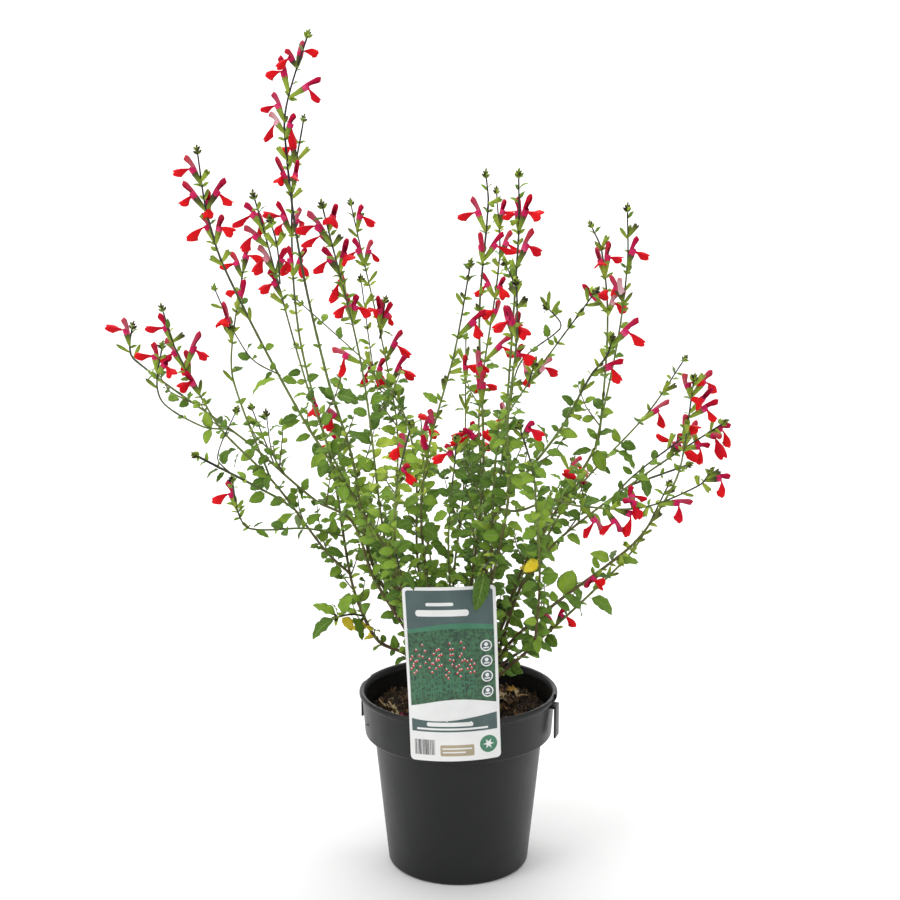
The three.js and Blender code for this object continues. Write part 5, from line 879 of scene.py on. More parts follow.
    "flowers": [[25, 636, 12, 667, 1, 654], [24, 604, 29, 632, 25, 616], [24, 605, 43, 630, 53, 617],
      [22, 496, 16, 521, 27, 505], [22, 470, 14, 500, 21, 486], [24, 468, 40, 494, 42, 478],
      [25, 430, 6, 445, -5, 434], [25, 424, 39, 430, 29, 440]],
    "calyces": [[28, 661, 40, 666], [28, 661, 37, 657], [23, 485, 33, 483]],
    "leaves": [[28, 675, 21, 682, 0.4], [28, 676, 35, 681, 0.4], [25, 446, 37, 450, 0.45],
      [25, 445, 12, 438, 0.45], [24, 418, 8, 410, 0.75], [22, 380, 36, 372, 0.7], [21, 375, 6, 366, 0.7],
      [16, 336, 32, 328, 0.75], [15, 331, 0, 322, 0.6], [10, 290, -8, 299, 0.5], [9, 280, 22, 268, 0.75]]},
  {"name": "back_right_stem", "foot": [9, 14], "depth": 135, "thick": [2.1, 0.8],
    "route": [14, 215, 23, 285, 26, 355, 20, 460, 39, 610, 36, 672],
    "flowers": [[40, 640, 42, 665, 52, 657], [39, 609, 50, 634, 57, 620], [35, 569, 23, 591, 17, 576],
      [35, 572, 44, 591, 50, 577], [31, 545, 38, 567, 28, 556], [27, 508, 51, 531, 54, 517]],
    "calyces": [[40, 638, 34, 650], [38, 600, 33, 607]],
    "leaves": [[39, 648, 46, 644, 0.35], [30, 540, 41, 536, 0.45], [24, 500, 40, 503, 0.8],
      [22, 430, 38, 440, 0.5], [24, 400, 40, 394, 0.75], [26, 350, 12, 360, 0.7], [25, 330, 40, 340, 0.6],
      [23, 290, 38, 300, 0.6], [20, 262, 34, 254, 0.6]]},
  {"name": "right_tall_stem", "foot": [8, -6], "depth": -70, "thick": [2.2, 0.8],
    "route": [12, 215, 37, 355, 57, 625, 57, 687],
    "flowers": [[57, 636, 56, 667, 64, 654], [57, 636, 77, 667, 87, 653], [55, 600, 69, 634, 75, 617],
      [50, 540, 46, 566, 55, 551], [45, 446, 42, 469, 40, 452]],
    "calyces": [[54, 598, 48, 609], [52, 572, 57, 586], [57, 648, 65, 645]],
    "leaves": [[57, 675, 54, 682, 0.4], [57, 675, 66, 681, 0.4], [57, 662, 64, 672, 0.4],
      [53, 583, 46, 589, 0.4], [44, 438, 28, 444, 0.5], [44, 436, 62, 450, 0.7], [41, 400, 27, 388, 0.62],
      [39, 382, 24, 392, 0.62], [36, 345, 50, 338, 0.7], [33, 322, 18, 312, 0.62], [28, 290, 14, 300, 0.5],
      [26, 280, 40, 272, 0.75], [20, 252, 32, 240, 0.6]]},
  {"name": "right_tall_spray", "on": "right_tall_stem", "depth": -95, "thick": [0.9, 0.7],
    "route": [52, 586, 45, 604],
    "flowers": [], "calyces": [], "leaves": []},
  {"name": "front_right_stem", "foot": [7, -27], "depth": -180, "thick": [2.2, 0.8],
    "route": [16, 215, 48, 365, 48, 450, 56, 530, 56, 585],
    "flowers": [[56, 529, 58, 558, 63, 541], [57, 532, 69, 562, 78, 545], [53, 504, 61, 524, 68, 514]],
    "calyces": [[56, 562, 64, 572], [56, 563, 66, 564], [56, 575, 50, 584], [51, 487, 61, 490]],
    "leaves": [[56, 523, 66, 528, 0.4], [50, 470, 62, 478, 0.4], [47, 440, 64, 452, 0.55],
      [47, 435, 32, 428, 0.6], [49, 396, 64, 384, 0.6], [49, 374, 32, 380, 0.6], [49, 372, 64, 364, 0.75],
      [46, 348, 66, 340, 0.75], [42, 336, 22, 334, 0.85], [36, 312, 53, 306, 0.7],
      [34, 306, 15, 297, 0.55], [31, 292, 16, 268, 0.8]]},
  {"name": "front_right_twig", "on": "front_right_stem", "depth": -106, "thick": [0.9, 0.7],
    "route": [38, 325, 25, 302],
    "flowers": [], "calyces": [],
    "leaves": [[26, 304, 10, 262, 0.44], [34, 320, 46, 309, 0.6]]},
  {"name": "right_back_stem", "foot": [15, -20], "depth": -150, "thick": [2.0, 0.7],
    "route": [24, 215, 32, 290, 36, 410, 43, 440, 50, 462, 131, 577],
    "flowers": [[72, 492, 91, 515, 96, 503], [71, 490, 94, 505, 87, 488]],
    "calyces": [[124, 564, 139, 566], [113, 551, 121, 562], [127, 569, 125, 583]],
    "leaves": [[54, 468, 62, 460, 0.4], [44, 442, 30, 452, 0.5], [36, 408, 52, 402, 0.7],
      [34, 372, 18, 362, 0.7], [34, 335, 50, 326, 0.7], [32, 295, 48, 302, 0.6]]},
  {"name": "right_curly_shoot", "on": "right_back_stem", "depth": -40, "thick": [0.9, 0.7],
    "route": [48, 458, 60, 509, 98, 542, 98, 549, 86, 562],
    "flowers": [],
    "calyces": [[88, 560, 79, 573], [87, 561, 86, 577], [89, 560, 97, 571], [89, 559, 100, 559]],
    "leaves": []},
  {"name": "right_curly_spray", "on": "right_back_stem", "depth": -120, "thick": [0.8, 0.7],
    "route": [68, 487, 73, 505],
    "flowers": [],
    "calyces": [[72, 501, 76, 515], [72, 500, 82, 511]],
    "leaves": []},
  {"name": "right_upright_stem", "foot": [21, 9], "depth": 105, "thick": [2.2, 0.8],
    "route": [37, 222, 67, 310, 134, 425, 139, 450, 144, 550, 137, 617, 127, 640],
    "flowers": [[141, 592, 133, 619, 126, 608], [141, 592, 143, 623, 155, 611],
      [143, 557, 121, 581, 137, 574], [143, 557, 151, 577, 158, 566], [119, 393, 127, 387, 108, 397]],
    "calyces": [[137, 617, 130, 626], [137, 617, 142, 629], [143, 556, 150, 564], [143, 510, 140, 522]],
    "leaves": [[141, 592, 149, 598, 0.4], [131, 632, 124, 636, 0.4], [131, 632, 137, 639, 0.4],
      [134, 425, 112, 420, 0.42], [135, 427, 142, 401, 0.6], [136, 430, 124, 442, 0.5],
      [115, 388, 98, 383, 0.6], [96, 360, 112, 352, 0.62], [94, 356, 78, 366, 0.6],
      [80, 337, 66, 346, 0.62], [68, 313, 84, 308, 0.7], [57, 288, 74, 280, 0.75], [46, 255, 62, 246, 0.6]]},
  {"name": "right_upright_shoot", "on": "right_upright_stem", "depth": 35, "thick": [1.2, 0.8],
    "route": [134, 427, 154, 530, 162, 605, 161, 655],
    "flowers": [[161, 602, 169, 630, 178, 615], [157, 566, 153, 590, 161, 579],
      [157, 566, 171, 589, 179, 577]],
    "calyces": [[162, 628, 154, 639], [162, 628, 170, 640], [158, 567, 166, 579]],
    "leaves": [[161, 602, 155, 607, 0.4], [161, 602, 169, 606, 0.4], [162, 645, 168, 653, 0.4],
      [137, 434, 148, 431, 0.55]]},
  {"name": "right_leaning_stem", "foot": [20, -12], "depth": -125, "thick": [2.1, 0.8],
    "route": [26, 218, 28, 335, 38, 362, 98, 441, 129, 497, 144, 516, 148, 530],
    "flowers": [[146, 526, 171, 552, 177, 534], [129, 498, 157, 511, 156, 496]],
    "calyces": [[146, 526, 153, 538], [142, 512, 150, 519], [121, 481, 123, 495], [121, 481, 133, 491],
      [109, 460, 121, 463], [109, 460, 120, 457]],
    "leaves": [[88, 427, 78, 452, 0.5], [90, 429, 110, 424, 0.4], [90, 430, 103, 436, 0.4],
      [70, 402, 56, 406, 0.55], [70, 403, 87, 397, 0.75], [56, 384, 44, 394, 0.6], [40, 366, 56, 358, 0.7],
      [30, 340, 14, 348, 0.7], [27, 305, 42, 314, 0.7], [27, 270, 40, 280, 0.7]]},
  {"name": "right_level_shoot", "on": "right_leaning_stem", "depth": -75, "thick": [1.4, 0.8],
    "route": [40, 363, 60, 362, 92, 373, 118, 367, 180, 365, 238, 388, 247, 400],
    "flowers": [[199, 370, 231, 371, 224, 356], [186, 366, 164, 372, 175, 359],
      [170, 364, 178, 384, 170, 377], [126, 366, 143, 343, 131, 337], [145, 365, 159, 344, 145, 341],
      [152, 365, 176, 357, 166, 341], [243, 394, 268, 397, 264, 382]],
    "calyces": [[236, 388, 235, 397], [239, 389, 246, 381], [190, 366, 186, 356], [150, 365, 160, 372],
      [165, 364, 156, 353], [134, 366, 128, 378], [243, 395, 256, 403]],
    "leaves": [[104, 372, 112, 389, 0.8], [93, 373, 80, 362, 0.75], [120, 367, 138, 374, 0.8],
      [112, 369, 100, 356, 0.7], [128, 366, 118, 352, 0.6], [150, 365, 160, 382, 0.6],
      [180, 365, 192, 370, 0.5], [214, 379, 204, 379, 0.4]]},
  {"name": "right_high_stem", "foot": [16, 21], "depth": 135, "thick": [2.1, 0.8],
    "route": [36, 225, 72, 304, 113, 378, 185, 460, 219, 512],
    "flowers": [[178, 452, 205, 471, 203, 451]],
    "calyces": [[200, 479, 205, 490], [200, 478, 211, 485], [152, 423, 162, 421]],
    "leaves": [[213, 499, 223, 496, 0.35], [211, 496, 216, 506, 0.4], [152, 422, 173, 402, 0.45],
      [138, 408, 150, 400, 0.6], [122, 391, 128, 405, 0.5], [105, 362, 92, 372, 0.7],
      [104, 358, 120, 352, 0.7], [84, 327, 100, 322, 0.8], [72, 306, 60, 318, 0.7],
      [61, 283, 78, 276, 0.7]]},
  {"name": "right_fan_stem", "foot": [28, 3], "depth": 5, "thick": [2.3, 0.9],
    "route": [43, 225, 61, 282, 73, 302, 104, 337, 187, 401, 258, 449],
    "flowers": [[208, 417, 219, 439, 200, 441], [213, 420, 206, 434, 192, 418],
      [218, 423, 237, 447, 240, 431], [223, 426, 246, 429, 241, 415], [243, 439, 267, 446, 268, 430],
      [240, 437, 258, 437, 264, 421]],
    "calyces": [[212, 419, 217, 434], [222, 425, 214, 437], [236, 435, 228, 448], [247, 441, 248, 453],
      [250, 443, 256, 436]],
    "leaves": [[182, 397, 188, 377, 0.75], [184, 399, 199, 375, 0.3], [176, 393, 180, 408, 0.45],
      [150, 372, 146, 356, 0.6], [122, 352, 108, 362, 0.7], [104, 337, 120, 328, 0.7],
      [90, 322, 78, 334, 0.7], [106, 338, 100, 318, 0.6], [74, 304, 92, 298, 0.7], [62, 284, 50, 296, 0.7],
      [54, 259, 68, 252, 0.7]]},
  {"name": "right_fan_shoot", "on": "right_fan_stem", "depth": -35, "thick": [1.1, 0.8],
    "route": [149, 372, 172, 397, 222, 437],
    "flowers": [],
    "calyces": [[205, 425, 210, 440], [214, 431, 226, 436]],
    "leaves": [[174, 399, 163, 407, 0.5]]},
  {"name": "right_cut_shoot", "on": "right_fan_stem", "depth": 35, "thick": [1.2, 1.1],
    "route": [170, 389, 225, 408],
    "flowers": [], "calyces": [], "leaves": []},
  {"name": "right_low_stem", "foot": [27, -6], "depth": -90, "thick": [2.1, 0.8],
    "route": [42, 213, 86, 258, 167, 322, 187, 345, 212, 388, 220, 415, 229, 492],
    "flowers": [[227, 476, 221, 499, 235, 494], [227, 476, 250, 498, 255, 484],
      [225, 458, 245, 482, 236, 471], [225, 457, 251, 473, 249, 460], [223, 435, 230, 456, 215, 447],
      [141, 303, 125, 287, 137, 290]],
    "calyces": [[223, 440, 232, 453], [228, 484, 236, 496], [163, 319, 156, 310]],
    "leaves": [[153, 312, 132, 322, 0.62], [154, 312, 179, 310, 0.5], [150, 309, 160, 325, 0.4],
      [133, 297, 155, 294, 0.42], [141, 302, 133, 314, 0.5], [122, 288, 140, 291, 0.35],
      [108, 276, 125, 262, 0.6], [104, 273, 118, 300, 0.8], [90, 262, 78, 274, 0.6],
      [72, 245, 92, 240, 0.6], [58, 231, 48, 243, 0.6]]},
  {"name": "right_lowest_stem", "foot": [24, 14], "depth": 70, "thick": [2.0, 0.8],
    "route": [44, 203, 84, 232, 158, 304, 180, 332, 207, 388],
    "flowers": [[98, 247, 109, 262, 118, 249], [96, 244, 86, 256, 80, 242]],
    "calyces": [[190, 350, 200, 360], [172, 321, 163, 329], [203, 380, 212, 386]],
    "leaves": [[118, 268, 122, 256, 0.8], [127, 276, 154, 258, 0.55], [120, 270, 108, 286, 0.7],
      [100, 248, 88, 232, 0.4], [202, 378, 192, 385, 0.4], [165, 312, 176, 306, 0.4],
      [78, 229, 66, 238, 0.6]]},
  {"name": "front_low_stem", "foot": [24, -21], "depth": -165, "thick": [2.1, 0.8],
    "route": [38, 188, 74, 223, 78, 240, 81, 295, 76, 378, 73, 403, 60, 445],
    "flowers": [[61, 437, 70, 452, 76, 442]],
    "calyces": [[62, 434, 52, 444]],
    "leaves": [[62, 433, 74, 433, 0.5], [73, 403, 58, 408, 0.5], [73, 402, 88, 394, 0.75],
      [76, 380, 62, 388, 0.6], [77, 376, 92, 384, 0.6], [78, 352, 96, 350, 0.4], [79, 345, 63, 336, 0.7],
      [80, 320, 96, 312, 0.75], [80, 312, 64, 300, 0.7], [81, 290, 62, 282, 0.7], [81, 288, 100, 296, 0.7],
      [80, 262, 68, 270, 0.6], [77, 234, 55, 231, 0.42], [76, 232, 84, 218, 0.7], [74, 224, 62, 217, 0.9],
      [76, 228, 95, 219, 0.5], [79, 250, 90, 240, 0.5]]},
  {"name": "back_bushy_stem", "foot": [-3, 30], "depth": 210, "thick": [1.9, 0.8],
    "route": [-10, 215, -30, 330, -37, 455],
    "flowers": [[-35, 432, -28, 455, -22, 440]],
    "calyces": [[-35, 434, -44, 446]],
    "leaves": [[-34, 425, -48, 416, 0.7], [-33, 400, -18, 404, 0.7], [-32, 375, -48, 366, 0.7],
      [-32, 372, -16, 380, 0.7], [-29, 330, -14, 326, 0.7], [-29, 325, -46, 316, 0.7],
      [-24, 288, -8, 282, 0.7], [-21, 268, -36, 262, 0.7]]},
  {"name": "front_bushy_stem", "foot": [-17, -29], "depth": -190, "thick": [1.9, 0.8],
    "route": [-34, 222, -56, 280, -62, 310, -62, 380, -47, 447],
    "flowers": [[-56, 417, -57, 440, -66, 421], [-60, 396, -50, 408, -46, 396]],
    "calyces": [[-50, 437, -41, 446]],
    "leaves": [[-49, 442, -38, 456, 0.45], [-50, 440, -64, 448, 0.45], [-56, 418, -40, 412, 0.7],
      [-58, 409, -76, 420, 0.7], [-61, 388, -46, 380, 0.6], [-62, 380, -80, 372, 0.6],
      [-64, 345, -48, 352, 0.7], [-64, 340, -82, 346, 0.62], [-61, 305, -78, 310, 0.6],
      [-56, 282, -40, 298, 0.45], [-56, 280, -74, 272, 0.6]]},
  {"name": "front_bushy_twig", "on": "front_bushy_stem", "depth": -107, "thick": [0.9, 0.7],
    "route": [-62, 318, -58, 299],
    "flowers": [], "calyces": [],
    "leaves": [[-58, 301, -43, 280, 0.55], [-61, 310, -78, 304, 0.6]]},
  {"name": "back_mid_stem", "foot": [8, 30], "depth": 170, "thick": [1.9, 0.8],
    "route": [12, 215, 17, 290, 10, 440],
    "flowers": [[12, 424, 22, 440, 30, 428]],
    "calyces": [[11, 432, 3, 442]],
    "leaves": [[14, 405, 30, 398, 0.8], [14, 402, -2, 410, 0.75], [14, 370, 30, 376, 0.7],
      [15, 360, -2, 352, 0.75], [16, 325, 32, 318, 0.7], [16, 320, 0, 312, 0.7], [16, 280, 32, 286, 0.7],
      [16, 272, 0, 264, 0.7]]},
  {"name": "front_mid_stem", "foot": [-3, -7], "depth": -105, "thick": [1.9, 0.8],
    "route": [-4, 215, -10, 330, -2, 432],
    "flowers": [[-4, 412, -12, 430, -22, 418]],
    "calyces": [[-3, 418, 5, 430]],
    "leaves": [[-4, 405, 10, 398, 0.8], [-5, 402, -20, 396, 0.75], [-7, 372, 8, 378, 0.8],
      [-8, 362, -24, 352, 0.75], [-10, 325, 6, 318, 0.7], [-10, 318, -25, 324, 0.6],
      [-10, 296, 8, 290, 0.5], [-9, 282, -24, 276, 0.6]]},
  {"name": "back_bushy_right_stem", "foot": [21, 31], "depth": 200, "thick": [1.9, 0.8],
    "route": [34, 222, 112, 412],
    "flowers": [[107, 400, 120, 415, 126, 402]],
    "calyces": [[108, 402, 102, 415]],
    "leaves": [[105, 392, 118, 386, 0.6], [104, 388, 90, 396, 0.6], [97, 372, 112, 366, 0.7],
      [88, 350, 74, 356, 0.7], [87, 345, 104, 338, 0.7], [75, 318, 92, 312, 0.7], [73, 314, 58, 322, 0.7],
      [61, 289, 76, 280, 0.7], [58, 282, 44, 290, 0.7]]},
  {"name": "back_bushy_left_stem", "foot": [-25, 19], "depth": 165, "thick": [1.9, 0.8],
    "route": [-42, 222, -100, 352, -119, 436],
    "flowers": [[-117, 420, -127, 440, -136, 428]],
    "calyces": [[-116, 415, -108, 428]],
    "leaves": [[-114, 404, -130, 396, 0.7], [-113, 400, -98, 408, 0.6], [-108, 378, -124, 386, 0.6],
      [-106, 372, -92, 364, 0.7], [-99, 350, -116, 356, 0.6], [-96, 342, -82, 334, 0.7],
      [-87, 320, -104, 312, 0.7], [-80, 304, -66, 298, 0.7], [-72, 286, -88, 278, 0.7]]},
]


VIEW_POINT = Vector((-8.5, -1400, 664.6))
FOOT_TOP = 161
FOOT_END = 140
STEM_GAP = 1.2
SQUARE = 1.2
DEPTH_POWER = 1.45
PUSH_ROUNDS = 60
PUSH_SHARE, PUSH_LEAST = 0.6, 0.05
LEVEL_REACH = 8
NODE_SPREAD = 1.8
FIRST_CALYCES = 1
LARGE_LEAF = 17.2
FACING_ROLL = 0.95
LIP_REACH = 12.5
MOUTH = 0.6
LIP_TURN = 0.9
LIP_FOLLOW = 0.8
SEED = 20


def sight(x, z, y):
    """A point seen at x, z, moved along its line of sight to depth y."""
    t = (y - VIEW_POINT.y) / -VIEW_POINT.y
    return Vector((VIEW_POINT.x + (x - VIEW_POINT.x) * t, y, VIEW_POINT.z + (z - VIEW_POINT.z) * t))


def draws(seed):
    """Seeded draws between 0 and 1: the same numbers on every run."""
    state = seed
    while True:
        state = (state * 1664525 + 1013904223) % 4294967296
        yield state / 4294967296


def nearest(line, q):
    """The nearest place to q on a line of points: its gap, the point and where it is, counted in points."""
    best = (math.inf, None, 0)
    for i, (a, b) in enumerate(zip(line, line[1:])):
        run = b - a
        s = min(1, max(0, (q - a).dot(run) / (run.dot(run) or 1)))
        at = a + run * s
        if (q - at).length < best[0]:
            best = ((q - at).length, at, i + s)
    return best


class Stem:
    """A stem's centre line in space, its radii, and the tree that it belongs to."""

    def __init__(self, given, laid):
        self.name = given["name"]
        self.parent = laid.get(given.get("on"))
        self.seen = [Vector((x, 0, z)) for x, z in zip(given["route"][::2], given["route"][1::2])]
        if self.parent:
            _, self.seen[0], t = nearest(self.parent.seen, self.seen[0])
            start = self.parent.point(t)
        else:
            start = Vector((*given["foot"], FOOT_TOP))
        lengths = [0]
        for a, b in zip(self.seen, self.seen[1:]):
            lengths.append(lengths[-1] + (b - a).length)
        self.points = []
        for p, length in zip(self.seen, lengths):
            share = (length / lengths[-1]) ** (1 if self.parent else DEPTH_POWER)
            self.points.append(sight(p.x, p.z, start.y + (given["depth"] - start.y) * share))
        if self.parent:
            self.points[0] = start
        else:
            self.points = [Vector((start.x, start.y, FOOT_END)), start] + self.points
        self.extra = 0 if self.parent else 2
        thick, last = given["thick"], len(self.points) - 1
        self.radii = [thick[0] + (thick[1] - thick[0]) * i / last for i in range(last + 1)]
        self.tree = self.parent.tree if self.parent else self.name

    def point(self, t):
        """The place on the centre line for a place on the route as seen, on the plain runs."""
        i = min(len(self.seen) - 2, int(t))
        return self.points[i + self.extra].lerp(self.points[i + 1 + self.extra], t - i)

    def curve(self, t):
        """The place, direction and radius at t on the stem's smooth curve through its points."""
        p, last = self.points, len(self.points) - 1
        i = min(last - 1, max(0, int(t)))
        s = t - i
        b, c = p[i], p[i + 1]
        a = p[i - 1] if i else b * 2 - c
        d = p[i + 2] if i + 2 <= last else c * 2 - b
        reach = (c - b).length
        m0 = (c - a) * (reach / max(reach, (c - b).length + (b - a).length))
        m1 = (d - b) * (reach / max(reach, (c - b).length + (d - c).length))
        at = (b * (2 * s ** 3 - 3 * s ** 2 + 1) + m0 * (s ** 3 - 2 * s ** 2 + s)
              + c * (3 * s ** 2 - 2 * s ** 3) + m1 * (s ** 3 - s ** 2))
        ahead = (b * (6 * s ** 2 - 6 * s) + m0 * (3 * s ** 2 - 4 * s + 1)
                 + c * (6 * s - 6 * s ** 2) + m1 * (3 * s ** 2 - 2 * s))
        radius = self.radii[i] + (self.radii[i + 1] - self.radii[i]) * s
        return at, ahead.normalized(), radius


def closest(a, b, c, d):
    """The closest points of two runs a to b and c to d, as their shares along each."""
    u, v, w = b - a, d - c, a - c
    uu, uv, vv, uw, vw = u.dot(u), u.dot(v), v.dot(v), u.dot(w), v.dot(w)
    flat = uu * vv - uv * uv
    s = min(1, max(0, (uv * vw - vv * uw) / flat)) if flat > 1e-9 else 0
    t = min(1, max(0, (uv * s + vw) / (vv or 1)))
    return min(1, max(0, (uv * t - uw) / (uu or 1))), t


def eased_pair(one, other):
    """Pushes the runs of two stems apart where they are too close, and says whether any was."""
    moved = False
    for i, (a, b) in enumerate(zip(one.points, one.points[1:])):
        for j, (c, d) in enumerate(zip(other.points, other.points[1:])):
            if max(min(a.z, b.z) - max(c.z, d.z), min(c.z, d.z) - max(a.z, b.z)) > LEVEL_REACH:
                continue
            s, t = closest(a, b, c, d)
            gap = a.lerp(b, s) - c.lerp(d, t)
            need = (one.radii[i] + other.radii[j]) * SQUARE + STEM_GAP
            if gap.length >= need:
                continue
            moved = True
            away = Vector((gap.x * 0.4, gap.y or 0.01, 0)).normalized()
            push = (need - gap.length) * PUSH_SHARE + PUSH_LEAST
            for p, share in ((a, 1 - s), (b, s), (c, t - 1), (d, -t)):
                if p.z > FOOT_TOP:
                    p += away * (push * share)
    return moved


laid = {}
for given in STEMS:
    laid[given["name"]] = Stem(given, laid)
stems = list(laid.values())
for _ in range(PUSH_ROUNDS):
    moved = [eased_pair(one, other) for m, one in enumerate(stems) for other in stems[m + 1:]
             if one.tree != other.tree]
    for stem in stems:
        if stem.parent:
            stem.points[0] = nearest(stem.parent.points, stem.points[0])[1]
    if not any(moved):
        break

# Each flower, calyx and leaf takes its room: beads in a coarse grid, so that a new piece can ask whether its
# own beads fit. A bead is a place and a radius.
CELL = 9
NEAR_ROOT = 14
LEAF_GAP = 0.7
AROUND = [(i, j, k) for i in (-1, 0, 1) for j in (-1, 0, 1) for k in (-1, 0, 1)]
TURNS = (0, 0.25, -0.25, 0.5, -0.5, 0.8, -0.8, 1.1, -1.1, 1.5, -1.5, 2, -2, 2.6, -2.6)
room = {}


def cell_of(p):
    return tuple(math.floor(a / CELL) for a in p)


def claim(beads, owner):
    for p, radius in beads:
        room.setdefault(cell_of(p), []).append((p, radius, owner))


def clash(beads, owner, root, enough=math.inf):
    """How deep the beads reach into what is there, summed. Their own stem doesn't count near the root."""
    total = 0
    for p, radius in beads:
        x, y, z = cell_of(p)
        for i, j, k in AROUND:
            for q, other, who in room.get((x + i, y + j, z + k), ()):
                if who == owner and (q - root).length < NEAR_ROOT:
                    continue
                total += max(0, radius + other + LEAF_GAP - (p - q).length)
        if total > enough:
            break
    return total


def clearest(owner, root, ways, beads_of, limit):
    """The first of some ways to place a piece that is clear of all else, or the clearest, if good enough."""
    chosen, least = None, math.inf
    for way in ways:
        beads = beads_of(way)
        depth = clash(beads, owner, root, least)
        if depth < least:
            chosen, least = (way, beads), depth
        if least == 0:
            break
    if least > limit:
        return None
    claim(chosen[1], owner + " dress")
    return chosen[0]


def turned(p, q, angle):
    """Turns q about the upright line through p."""
    return p + Matrix.Rotation(angle, 3, "Z") @ (q - p)


def draw_for(kind, stem, item):
    """Draws of its own for each piece, from its kind and its place in the lists."""
    draw = draws((((kind * 50 + stem) * 50 + item + SEED) * 1103515245) % 4294967296)
    next(draw)
    next(draw)
    return draw


def node_on(stem, x, z, item):
    """A place on a stem's curve, for a spot seen at x, z. Pieces at one node sit a little apart along it."""
    t = nearest(stem.seen, Vector((x, 0, z)))[2]
    at, ahead, _ = stem.curve(t + stem.extra)
    return at + ahead * ((item % 3 - 1) * NODE_SPREAD)


def seen_from(root, b, c, lean):
    """From a root, the spot seen from b to c, with a lean in depth."""
    t = (root.y - VIEW_POINT.y) / -VIEW_POINT.y
    return root + Vector(((c[0] - b[0]) * t, lean, (c[1] - b[1]) * t))


def lip_axes(root, hood, lip):
    """A lip's own directions: along, across and its upper face, turned to the front about its length."""
    axis, along = (hood - root).normalized(), (lip - root.lerp(hood, MOUTH)).normalized()
    level = axis.cross(along).normalized()
    upright = along.cross(level)
    seen = Vector((0, -1, 0)) + along * along.y
    angle = math.atan2(seen.dot(level), seen.dot(upright)) if seen.length > 0.3 else 0
    turn = min(LIP_TURN, max(-LIP_TURN, LIP_FOLLOW * angle))
    across = level * math.cos(turn) - upright * math.sin(turn)
    return along, across, along.cross(across)


def flower_beads(way):
    root, hood, lip = way
    mouth = root.lerp(hood, MOUTH)
    beads = [(root.lerp(hood, s), 3) for s in (0.25, 0.45, 0.65)] + [(root.lerp(hood, 0.84), 2), (hood, 1.5)]
    _, across, _ = lip_axes(root, hood, lip)
    return beads + [(mouth.lerp(lip, s) + across * v * s, 2.4) for s in (0.5, 1) for v in (-5, 0, 5)]


def leaf_axes(root, tip, roll):
    """A leaf's own directions: along, across and its upper face."""
    along = (tip - root).normalized()
    level = Vector((0, -1, 0)) if abs(along.z) > 0.95 else Vector((0, 0, 1))
    across = along.cross(level).normalized()
    across = across * math.cos(roll) + across.cross(along) * math.sin(roll)
    return along, across, across.cross(along)


def leaf_beads(root, tip, share, roll):
    along, across, _ = leaf_axes(root, tip, roll)
    length = (tip - root).length
    beads = []
    rows = max(2, round(length / 5))
    for i in range(rows + 1):
        u = 0.28 + 0.68 * i / rows
        half = share * length * 0.42 * math.sin(math.pi * min(0.95, u * 0.9 + 0.05))
        side = round(half / 3)
        for j in range(-side, side + 1):
            beads.append((root + along * (u * length) + across * (j / side * half if side else 0), 2))
    return beads


for k in range(120):
    turn, reach = k * math.pi / 60, LIP_RADIUS - 2
    for z in (POT_HEIGHT - 8, POT_HEIGHT - 3, POT_HEIGHT + 2):
        claim([(Vector((reach * math.cos(turn), reach * math.sin(turn), z)), 4)], "pot")
for i in range(21):
    for j in range(41):
        spot = label_point((i / 20 - 0.5) * LABEL_WIDTH, j / 40 * LABEL_HEIGHT, LABEL_THICK / 2)
        claim([(spot, 2.5)], "plant_label")
for stem in stems:
    for a, b, radius in zip(stem.points, stem.points[1:], stem.radii):
        count = max(1, math.ceil((b - a).length / 3))
        claim([(a.lerp(b, k / count), radius * SQUARE) for k in range(count)], stem.name)

flowers, calyces, leaves = [], [], []
for n, (stem, given) in enumerate(zip(stems, STEMS)):
    for item, (nx, nz, hx, hz, lx, lz) in enumerate(given["flowers"]):
        draw = draw_for(1, n, item)
        root = node_on(stem, nx, nz, item)
        lean = (next(draw) - 0.5) * 16
        hood = seen_from(root, (nx, nz), (hx, hz), lean)
        reach = math.hypot(lx - nx - (hx - nx) * MOUTH, lz - nz - (hz - nz) * MOUTH)
        toward = math.sqrt(max(9, LIP_REACH ** 2 - reach ** 2))
        lip = seen_from(root, (nx, nz), (lx, lz), lean * MOUTH - toward * (0.8 + 0.3 * next(draw)))
        ways = [(root, turned(root, hood, a), turned(root, lip, a)) for a in TURNS]
        flowers.append((stem, n, item, clearest(stem.name, root, ways, flower_beads, math.inf)))


def place_calyx(n, item):
    stem, given = stems[n], STEMS[n]
    nx, nz, tx, tz = given["calyces"][item]
    draw = draw_for(2, n, item)
    root = node_on(stem, nx, nz, item + 1)
    tip = seen_from(root, (nx, nz), (tx, tz), (next(draw) - 0.5) * 12)
    ways = [turned(root, tip, a) for a in TURNS]
    tip = clearest(stem.name, root, ways, lambda q: [(root.lerp(q, s), 2) for s in (0.5, 0.75, 1)], 0.5)
    if tip:
        calyces.append((stem, root, tip))


def facing(root, tip, spread):
    """The roll of a leaf: to the side where it shows its upper face at the front."""
    return spread - FACING_ROLL * (tip - root).normalized().x


def place_leaf(n, item, large):
    stem = stems[n]
    nx, nz, tx, tz, share = STEMS[n]["leaves"][item]
    draw = draw_for(3, n, item)
    root = node_on(stem, nx, nz, item)
    tip = seen_from(root, (nx, nz), (tx, tz), (next(draw) - 0.5) * 14)
    spread = (next(draw) - 0.5) * 1.2
    if ((tip - root).length >= LARGE_LEAF) != large:
        return
    ways = [turned(root, tip, a) for a in TURNS]
    tip = clearest(stem.name, root, ways, lambda q: leaf_beads(root, q, share, facing(root, q, spread)),
                   0.5 if large else 2)
    if tip:
        leaves.append((stem, root, tip, share, facing(root, tip, spread), next(draw)))


